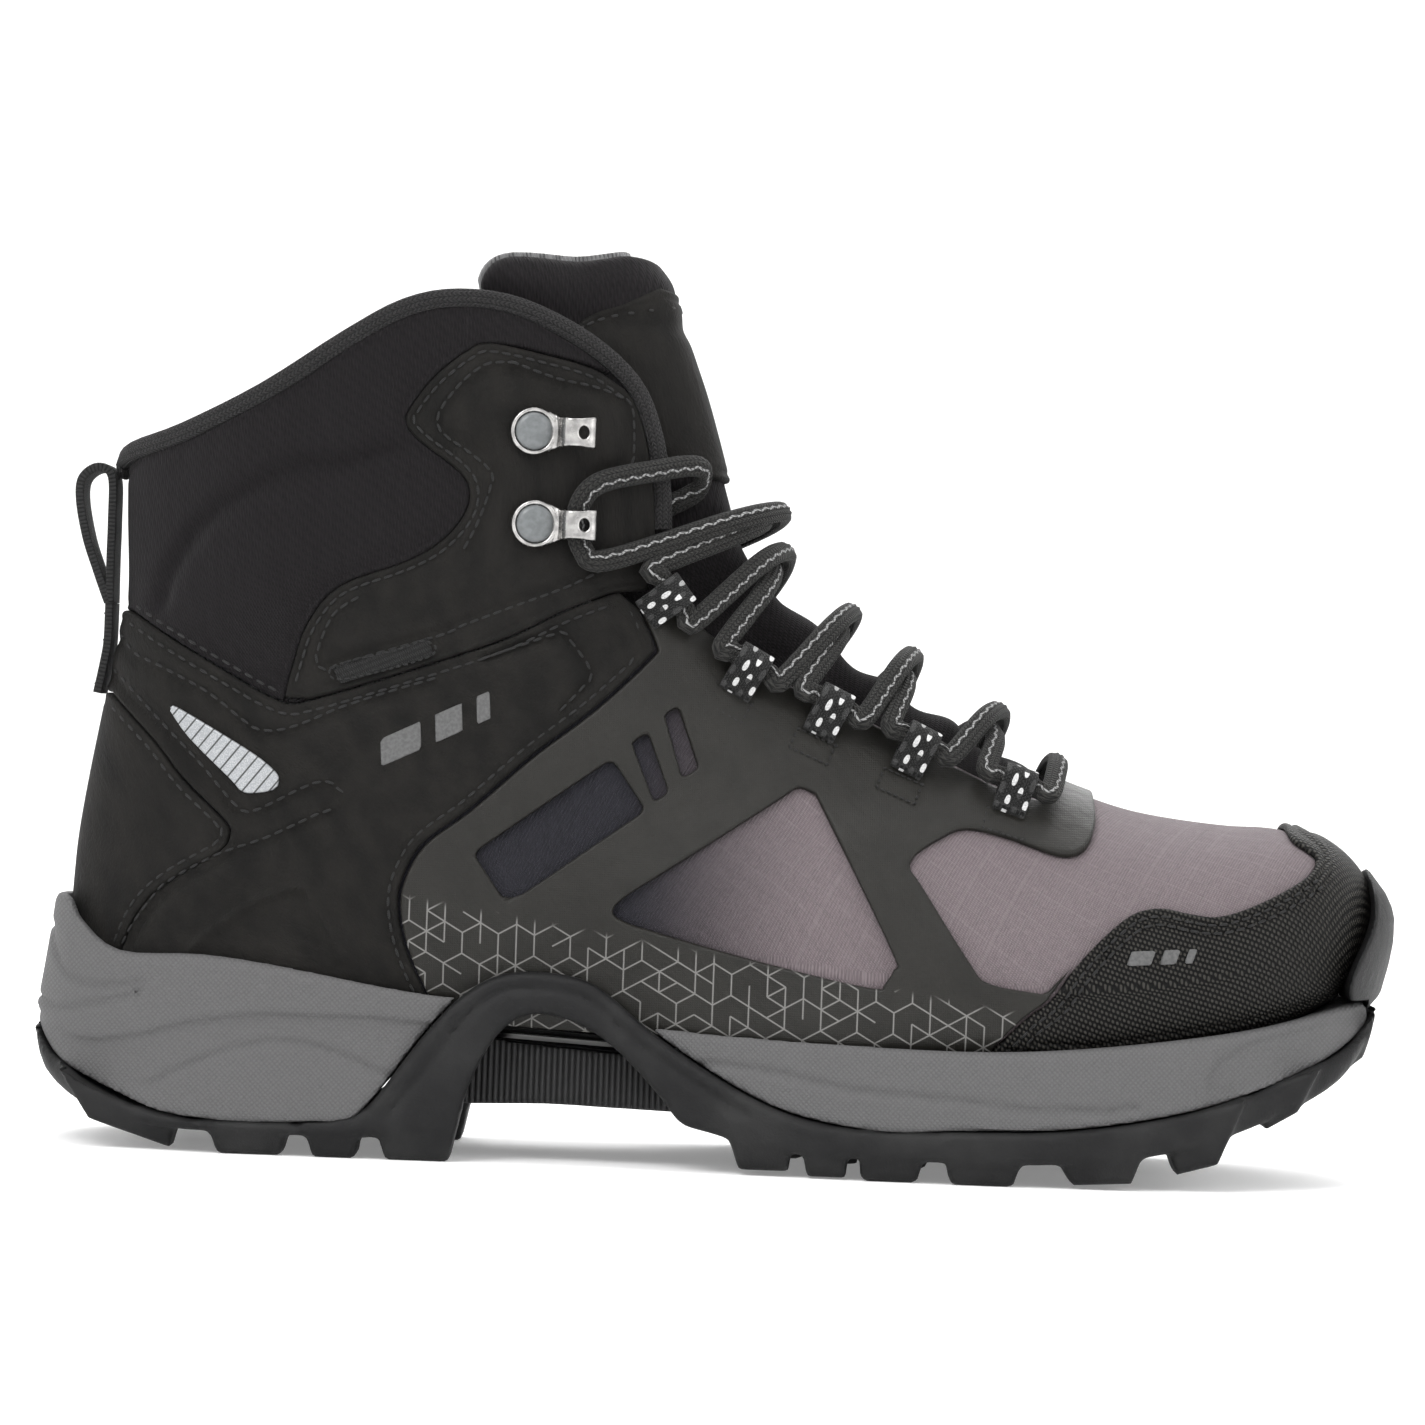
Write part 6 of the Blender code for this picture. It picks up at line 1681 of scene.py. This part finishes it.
def lace_strand(first_side):
    """One half of the lace, from the middle of the toe bar up to a hook and into the boot."""
    low, high = LACE_DIAMETER / 2 + 0.6, 1.5 * LACE_DIAMETER + 0.9
    side = first_side
    route = list(loop_pass(0, side))
    for i in range(1, len(LOOPS)):
        side = -side
        ahead = loop_pass(i, side)
        over = high if (i % 2 == 0) == (first_side < 0) else low
        route += crossing(route[-1], ahead[0], over) + ahead
    side = -side
    x, z = HOOKS[0]
    seat = frame_on_last(x, z, side, (1, 0), CUFF[1] + GAP)
    around = [(16.0, -7.5, 3.4), (10.6, -5.2, 2.9), (9.3, 0.0, 2.9), (9.9, 5.2, 2.9), (14.0, 9.6, 3.2)]
    wrap = [np.array(seat @ (Vector(p) * MM)) / MM for p in around]
    over = high if (len(LOOPS) % 2 == 0) == (first_side < 0) else low
    route += crossing(route[-1], wrap[0], over + TOP_SLACK) + wrap
    tuck = np.array(LACE_TUCK)
    places, _ = on_last(tuck[:, 0], tuck[:, 1], side, tuck[:, 2])
    return route + list(places)


def build_lace():
    outer, inner = lace_strand(-1), lace_strand(1)
    bar = crossing(outer[0], inner[0], OVERLAY[1] + LACE_DIAMETER / 2 + 0.8, (0.25, 0.5, 0.75))
    path = even(smooth([*reversed(outer), *bar, *inner], 6), LACE_PITCH)
    near = np.array([CHART_TREE.find(p)[1] for p in path])
    outs = CHART_KEPT[near][:, N]
    for _ in range(12):
        outs = (np.roll(outs, 1, 0) + outs * 2 + np.roll(outs, -1, 0)) / 4
    ring, lengths = oval(LACE_WIDTH, LACE_HEIGHT, 28, 4, 0.16)
    form = swept(path, outs, ring, lengths)
    piece("lace_cord", form, STUFF["lace"], nodes=["lace"], sharp=60)


def build_binding(collar):
    """A soft braided band, folded over the collar's edge."""
    for side, word in SIDES:
        edge = collar[collar[:, 0] > -137.2]
        ahead = headings(edge)
        u, turn = locate(edge[:, 0], edge[:, 1])
        normals = last_normal(u, -side * turn)
        base = last_point(u, -side * turn) + normals * (SKIN - 0.3)
        path = np.stack([edge[:, 0] - BINDING_LIFT * 0.75 * ahead[:, 1], base[:, 1],
                         edge[:, 1] + BINDING_LIFT * 0.75 * ahead[:, 0]], 1)
        back = [(BINDING_BACK[0], 0.2 * side, BINDING_BACK[1]),
                (BINDING_BACK[0] + 0.25, 2.6 * side, BINDING_BACK[1])]
        path = even(smooth([*back, *path[::4]], 4), 0.8)
        u, turn = locate(path[:, 0], path[:, 2])
        outs = last_normal(u, -side * turn)
        ring, lengths = oval(4.3, 3.4, 26, 3, 0.12)
        form = swept(path, outs, ring, lengths)
        piece(f"collar_binding_{word}_braid", form, STUFF["binding"], nodes=[f"collar_binding_{word}"],
              sharp=60)


def build_pull_loop():
    hx, hz = PULL_HINGE
    shape = [(hx + 0.6, hz + 0.05), (-140.9, 123.8), (-142.7, 128.5), (-145.2, 135.5), (-147, 144),
             (-146.6, 149), (-143.2, 151.5), (-140.0, 149.5), (-139.6, 140), (-139.6, 131),
             (-139.5, hz + 0.05)]
    route = smooth(shape, 8)
    ring, lengths = flat_tape(PULL_LOOP_WIDTH, WEBBING)
    tail = smooth([(hx + 0.9, hz - 0.05), (hx + 0.9, 118), (-139.6, 112), (-140.3, 107), (-141.5, 100.5)], 8)
    for name, node, body, line in (("pull_loop_tape", "pull_loop", "heel_pull_loop", route),
                                   ("pull_loop_tail_tape", "pull_loop_tail", "boot", tail)):
        path = np.stack([line[:, 0], np.zeros(len(line)), line[:, 1]], 1)
        ahead = headings(path)
        outs = np.stack([-ahead[:, 2], np.zeros(len(path)), ahead[:, 0]], 1)
        form = swept(path, outs, ring, lengths)
        piece(name, form, STUFF["tape"], body, [node])
    spots = np.array([(-142.6, y, z) for z in (102.6, 112.5, 118.5) for y in np.arange(-5.4, 5.5, 1.8)])
    spots[:, 0] = np.interp(spots[:, 2], tail[::-1, 1], tail[::-1, 0]) - WEBBING / 2 - 0.05
    across, back = [np.tile(v, (len(spots), 1)) for v in ((0, 1.0, 0), (-1.0, 0, 0))]
    form = capsules(spots, across, back, 1.3, 0.3)
    piece("pull_loop_stitches", form[:2], STUFF["thread"])


# ---- hooks -------------------------------------------------------------------------------------------------
HOOK_CELL = 0.22
HOOK_PROFILE = [(3.6, 0.65), (5.0, 0.9), (5.9, 2.2), (6.2, 4.4), (6.9, 5.7), (8.4, 6.1), (11.4, 6.1),
                (12.5, 5.6), (12.8, 4.4), (12.8, 2.4)]
HOOK_HALF_WIDTHS = ([3.5, 5.5, 7.0, 9.5, 13.5], [4.4, 3.5, 3.1, 3.1, 3.6])
RIVET_PROFILE = [(0.0, 1.35), (1.2, 1.32), (2.3, 1.2), (3.2, 0.98), (3.8, 0.66), (4.1, 0.3), (4.15, 0.0),
                 (4.0, -0.2)]
RIVET_TURNS = 40


def hook_mesh():
    """A stamped lace hook in its seat's frame: a dished seat, a neck, and a tip folded back down."""
    block = Block((-6.5, -6.5, -0.6), (15.0, 6.5, 8.0), HOOK_CELL)
    x, y, z = block.x, block.y, block.z
    radius = np.sqrt(x**2 + y**2)
    seat = rounded_max(radius - 5.15, np.abs(z - 0.65) - 0.45, 0.5)
    rim = np.sqrt((radius - 4.75)**2 + (z - 1.2)**2) - 0.5
    across = block.side_view(from_path, smooth(HOOK_PROFILE, 4))
    half = np.interp(x, *HOOK_HALF_WIDTHS)
    arm = rounded_max(np.abs(y) - half, across - 0.5, 0.5)
    hole = np.sqrt((x - 10.3)**2 + (y / 1.25)**2) - 1.15
    arm = np.where(z > 4.6, rounded_max(arm, -hole, 0.35), arm)
    return block.net(rounded_min(rounded_min(seat, rim, 0.4), arm, 0.8))


def rivet_mesh():
    """A low domed cap with a small bevel at its foot."""
    n = RIVET_TURNS
    turns = np.arange(n) * 2 * math.pi / n
    points = [(0.0, 0.0, RIVET_PROFILE[0][1])]
    for radius, height in RIVET_PROFILE[1:]:
        points += [(radius * math.cos(a), radius * math.sin(a), height) for a in turns]
    faces = [(0, 1 + i, 1 + (i + 1) % n) for i in range(n)]
    for r in range(len(RIVET_PROFILE) - 2):
        a = 1 + r * n
        for i in range(n):
            j = (i + 1) % n
            faces += [(a + i, a + n + i, a + n + j), (a + i, a + n + j, a + j)]
    a = 1 + (len(RIVET_PROFILE) - 2) * n
    faces += [(a, a + i + 1, a + i) for i in range(1, n - 1)]
    return np.array(points), np.array(faces)


def build_hooks():
    shapes = (("hook", hook_mesh(), "steel", 0.0), ("rivet", rivet_mesh(), "enamel", RIVET_LIFT))
    for i, (x, z) in enumerate(HOOKS):
        for side, word in SIDES:
            seat = np.array(frame_on_last(x, z, side, (1, 0), CUFF[1] + HOOK_LIFT))
            for name, (points, faces), stuff, lift in shapes:
                placed = (points + [0, 0, lift]) @ seat[:3, :3].T + seat[:3, 3] / MM
                piece(f"{name}_{word}_{i + 1}_metal", (placed, faces), STUFF[stuff],
                      nodes=[f"{name}_{word}_{i + 1}"], sharp=50)


build_loops()
build_loop_bartacks()
build_lace()
build_binding(OUTLINES["collar"])
build_pull_loop()
build_hooks()


# ---- tongue, lining and footbed ----------------------------------------------------------------------------
TONGUE_SINK, TONGUE_TURN, TONGUE_END = 3.2, 72, 10.4
THROAT_TURNS = ([0, 3, 5, 6.3, 8, 9, 10], [42, 42, 37, 32, 27, 25, 25])
TONGUE_OUTER, TONGUE_INNER = (1.0, -7.0), (-3.6, -9.6)
PATCH_OUTER, PATCH_INNER = (2.6, -5.4), (1.35, -6.65)
BACKING_OUTER, BACKING_INNER = (-3.95, -9.95), (-4.95, -10.95)
TONGUE_BULGE, TONGUE_RADIUS, STATION_LENGTH = 2.0, 32, 9
WING_FROM, WING_OVER, SINK_FROM, SINK_OVER = 0.25, 0.8, 2.6, 1.4
PUFF, PUFF_REACH, PUFF_FROM, PUFF_OVER = 1.2, 4, 156, 20
ROLL, ROLL_AT, ROLL_WIDTH = 1.6, 196.5, 5.0
HOLLOW, HOLLOW_AT, HOLLOW_WIDTH = 0.9, 187.5, 2.5
PATCH_PUFF, BACKING_LEVEL, BACKING_FROM, BACKING_INSET = 0.75, -4.0, 155.0, 1.3
PATCH_SEAM_TOP = [(-14, 193.5), (-25.5, 191.5), (-33.5, 187.5), (-35.5, 183.5), (-30.5, 179)]
PATCH_SEAM_LOW = [(-19, 161), (-13.5, 157.4), (-8, 156.2)]


def tongue_height(middle, wing):
    """A height that is middle at the throat's top, lower under the laces, and wing under its edges."""
    def height(rows):
        u, turn = rows[:, U], rows[:, TURN]
        t = np.clip((turn / np.radians(np.interp(u, *THROAT_TURNS)) - WING_FROM) / WING_OVER, 0, 1)
        top = middle - TONGUE_SINK * np.clip((u - SINK_FROM) / SINK_OVER, 0, 1)
        return top + (np.minimum(wing, top) - top) * t * t * (3 - 2 * t)
    return height


def tongue_limit(rows):
    """How far, in mm, a place is inside the tongue's sides and its toe end."""
    sides = (math.radians(TONGUE_TURN) - rows[:, TURN]) * TONGUE_RADIUS
    return np.minimum(sides, (TONGUE_END - rows[:, U]) * STATION_LENGTH)


def backing_limit(rows):
    """The same, but only above the laces."""
    seen = side_view(rows, np.full(len(rows), BACKING_LEVEL))
    return np.minimum(tongue_limit(rows), seen[:, 1] - BACKING_FROM)


def tongue_bulges(rows, seen):
    """The padding rises between the lace's crossings."""
    places = np.array([locate(x, z)[0] for x, z in reversed(LOOPS)])
    phase = np.interp(rows[:, U], places, np.arange(len(places), dtype=float))
    swell = np.sin(math.pi * phase)**2
    return TONGUE_BULGE * swell * np.clip(1.2 - rows[:, TURN] / 0.6, 0, 1)


def tongue_top_puff(rows, seen):
    """The padded end above the laces, fullest near its top edge."""
    z = seen[:, 1]
    roll = ROLL * bell(z - ROLL_AT, ROLL_WIDTH) - HOLLOW * bell(z - HOLLOW_AT, HOLLOW_WIDTH)
    swell = PUFF * (1 - np.exp(-np.maximum(rows[:, D], 0) / PUFF_REACH))
    return ease((z - PUFF_FROM) / PUFF_OVER) * (swell + roll)


def patch_puff(rows, seen):
    return tongue_top_puff(rows, seen) * PATCH_PUFF


def build_tongue():
    rear = smooth(TONGUE_REAR, 4)
    whole = np.vstack([rear[:-1], smooth(TONGUE_TOP, 3), [(-17, 215), (60, 215), (70, 120), (86, 100)]])
    span = (tongue_height(*TONGUE_INNER), tongue_height(*TONGUE_OUTER))
    relief = reliefs(tongue_bulges, tongue_top_puff, swollen(8.0, 0.4, 0.0))
    form = sheet(whole, span, lip=2.0, under_lip=1.4, relief=relief, limit=tongue_limit)
    tongue = piece("tongue_padding", form, STUFF["tongue"], None)
    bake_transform(tongue)
    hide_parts("tongue_base", "tongue_flap")

    form = sheet(closed(TONGUE_PATCH, 2), (tongue_height(*PATCH_INNER), tongue_height(*PATCH_OUTER)), lip=0.8,
                 relief=reliefs(patch_puff, stitched(1.8, 0.5, 0.35)), limit=tongue_limit)
    piece("tongue_patch_cover", form, STUFF["leather"], "tongue_top", ["tongue_patch"])

    level = tongue_height(PATCH_OUTER[0] + 0.9, PATCH_OUTER[1] + 0.9)
    parts = [sewn(beside(smooth(line, 4), 1.8), side, level, 2.8)
             for line in (PATCH_SEAM_TOP, PATCH_SEAM_LOW) for side in (-1, 1)]
    form = joined(parts)
    piece("tongue_patch_stitches", form[:2], STUFF["thread"], "tongue_top")

    centre = np.mean(whole, 0)
    inside = whole - BACKING_INSET * (centre - whole) / np.linalg.norm(centre - whole, axis=1)[:, None]
    form = sheet(inside, (tongue_height(*BACKING_INNER), tongue_height(*BACKING_OUTER)), lip=0.4,
                 limit=backing_limit)
    piece("tongue_backing", form, STUFF["lining"], "tongue_top", ["tongue_lining"])


def build_lining(o):
    collar = o["collar"][o["collar"][:, 0] < -62]
    rear = smooth(TONGUE_REAR, 4)
    bootie = np.vstack([[(-FAR, 140)], collar - [0, 1], [(-60, 186)], rear[::-1][1:] - [2, 1],
                        [(88, 76.5), (90, 110), (FAR, 110), (FAR, 0), (-FAR, 0)]])
    form = sheet(bootie, LINING, lip=0.4, grid=COARSE)
    piece("bootie_lining_knit", form, STUFF["lining"], nodes=["bootie_lining"])


FOOTBED_TOP = [(-FAR, 38), (-135, 42.5), (-112, 40), (-75, 38.5), (-22, 35.5), (33, 32.5), (84, 35.5),
               (117, 41.5), (136, 49), (FAR, 52)]

FOOTBED_GAP, CUP_DEPTH, CUP_RIM, CUP_END, CUP_FADE = 1.1, 2.4, 14, 40, 60


def build_footbed():
    """A moulded footbed with a raised rim round a shallow heel cup."""
    block = Block((-150, -50, 18), (150, 56, 58), 1.2)
    line = smooth(FOOTBED_TOP, 4)
    top = np.interp(block.x, line[:, 0], line[:, 1])
    shape = foot_field(block) - LINING[0] + FOOTBED_GAP
    dish = CUP_DEPTH * ease(-shape / CUP_RIM) * ease((CUP_END - block.x) / CUP_FADE)
    form = block.net(rounded_max(shape, block.z - top + dish, 1.6))
    piece("footbed_foam", form, STUFF["footbed"], "removable_footbed", ["footbed"])


MARK_BARS = [[(0, -2.2), (7.5, -2.2), (9.3, 2.2), (1.8, 2.2)],
             [(10.2, -2.2), (15.2, -2.2), (17.0, 2.2), (12.0, 2.2)],
             [(17.9, -2.2), (20.4, -2.2), (22.2, 2.2), (19.7, 2.2)]]
STRAP_MARK, TOE_MARK = ((-76.5, 89.0), 26.0, 1.3), ((90.5, 50.5), 4.0, 0.72)


def build_marks():
    """A plain mark of three slanted bars on the strap and, smaller, on the toe cap."""
    for name, (place, turn, size), span in (("strap", STRAP_MARK, (1.2, 1.75)),
                                            ("toe", TOE_MARK, (1.2, 1.6))):
        c, sn = math.cos(math.radians(turn)), math.sin(math.radians(turn))
        matrix = np.array([[c, sn], [-sn, c]]) * size
        parts = [sheet(np.array(bar) @ matrix + place, span, side, lip=0.2)
                 for bar in MARK_BARS for side in (-1, 1)]
        form = joined(parts)
        piece(f"{name}_mark", form, STUFF["mark"])


HIDDEN = {"shank": "shank_steel", "bottom_filler": "dark_foam", "insole_board": "dark_foam",
          "heel_counter": "board", "toe_puff": "board", "collar_foam": "dark_foam"}


def dress_hidden():
    """Materials for the CAD pieces that stay, all of them inside the boot."""
    for name, stuff in HIDDEN.items():
        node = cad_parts[name]
        node.data.materials.clear()
        node.data.materials.append(STUFF[stuff])


build_tongue()
build_lining(OUTLINES)
build_footbed()
build_marks()
dress_hidden()


# ---- camera, floor and light -------------------------------------------------------------------------------
LOOKS_AT = Vector((-2.4, 0.0, 101.2)) * MM
FRAME_WIDTH, LENS, SENSOR, CAMERA_ROLL = 323.6, 150.0, 36.0, 2.14
BACKDROP = [(0.0, 0.0), (1.6, 0.0), (2.2, 0.04), (2.7, 0.25), (3.0, 0.7), (3.1, 1.4), (3.1, 4.0)]
BACKDROP_TURNS = 64
FLOOR_GLOW, WORLD_LIGHT = 0.22, 0.62
LIGHTS = [("key", (-0.7, -1.3, 1.5), 0.9, 24), ("fill", (1.5, -0.9, 0.8), 1.2, 8),
          ("back", (0.2, 1.4, 1.4), 1.4, 22), ("top", (0.0, 0.0, 1.9), 1.3, 16)]


def set_camera():
    camera = bpy.data.cameras.new("camera")
    camera.lens, camera.sensor_width = LENS, SENSOR
    camera.dof.use_dof = False
    obj = in_scene("camera", camera)
    distance = FRAME_WIDTH * MM * LENS / SENSOR
    turned = Matrix.Rotation(math.radians(90), 4, "X") @ Matrix.Rotation(math.radians(CAMERA_ROLL), 4, "Z")
    obj.matrix_world = Matrix.Translation(LOOKS_AT + Vector((0, -distance, 0))) @ turned
    bpy.context.scene.camera = obj


def area_light(name, place, size, power):
    light = bpy.data.lights.new(name, "AREA")
    light.shape, light.size, light.energy = "SQUARE", size, power
    obj = in_scene(name, light)
    obj.location = place
    aim = LOOKS_AT - Vector(place)
    obj.rotation_euler = aim.to_track_quat("-Z", "Y").to_euler()


def backdrop():
    """A pale floor that curves up into a wall, all round."""
    n = BACKDROP_TURNS
    turns = np.arange(n) * 2 * math.pi / n
    points = [(0.0, 0.0, 0.0)]
    for radius, height in BACKDROP[1:]:
        points += [(radius * math.cos(a), radius * math.sin(a), height) for a in turns]
    faces = [(0, 1 + i, 1 + (i + 1) % n) for i in range(n)]
    for r in range(len(BACKDROP) - 2):
        base = 1 + r * n
        faces += [(base + i, base + n + i, base + n + (i + 1) % n, base + (i + 1) % n) for i in range(n)]
    mesh = bpy.data.meshes.new("floor")
    mesh.from_pydata(points, [], faces)
    mesh.shade_smooth()
    obj = in_scene("floor", mesh)
    s = Surface("floor_paper", 0.9)
    s.colour(s.mix(s.noise(s.place, 0.05, 2), (0.86, 0.86, 0.86), (0.88, 0.88, 0.88)))
    s.shader.inputs["Emission Color"].default_value = (1.0, 1.0, 1.0, 1.0)
    s.shader.inputs["Emission Strength"].default_value = FLOOR_GLOW
    mesh.materials.append(s.made)


def set_light():
    world = bpy.data.worlds.new("studio")
    bpy.context.scene.world = world
    world.use_nodes = True
    background = world.node_tree.nodes["Background"]
    background.inputs[0].default_value = (1.0, 1.0, 1.0, 1.0)
    background.inputs[1].default_value = WORLD_LIGHT
    for light in LIGHTS:
        area_light(*light)


bpy.context.scene.view_settings.view_transform = "Standard"
set_camera()
backdrop()
set_light()
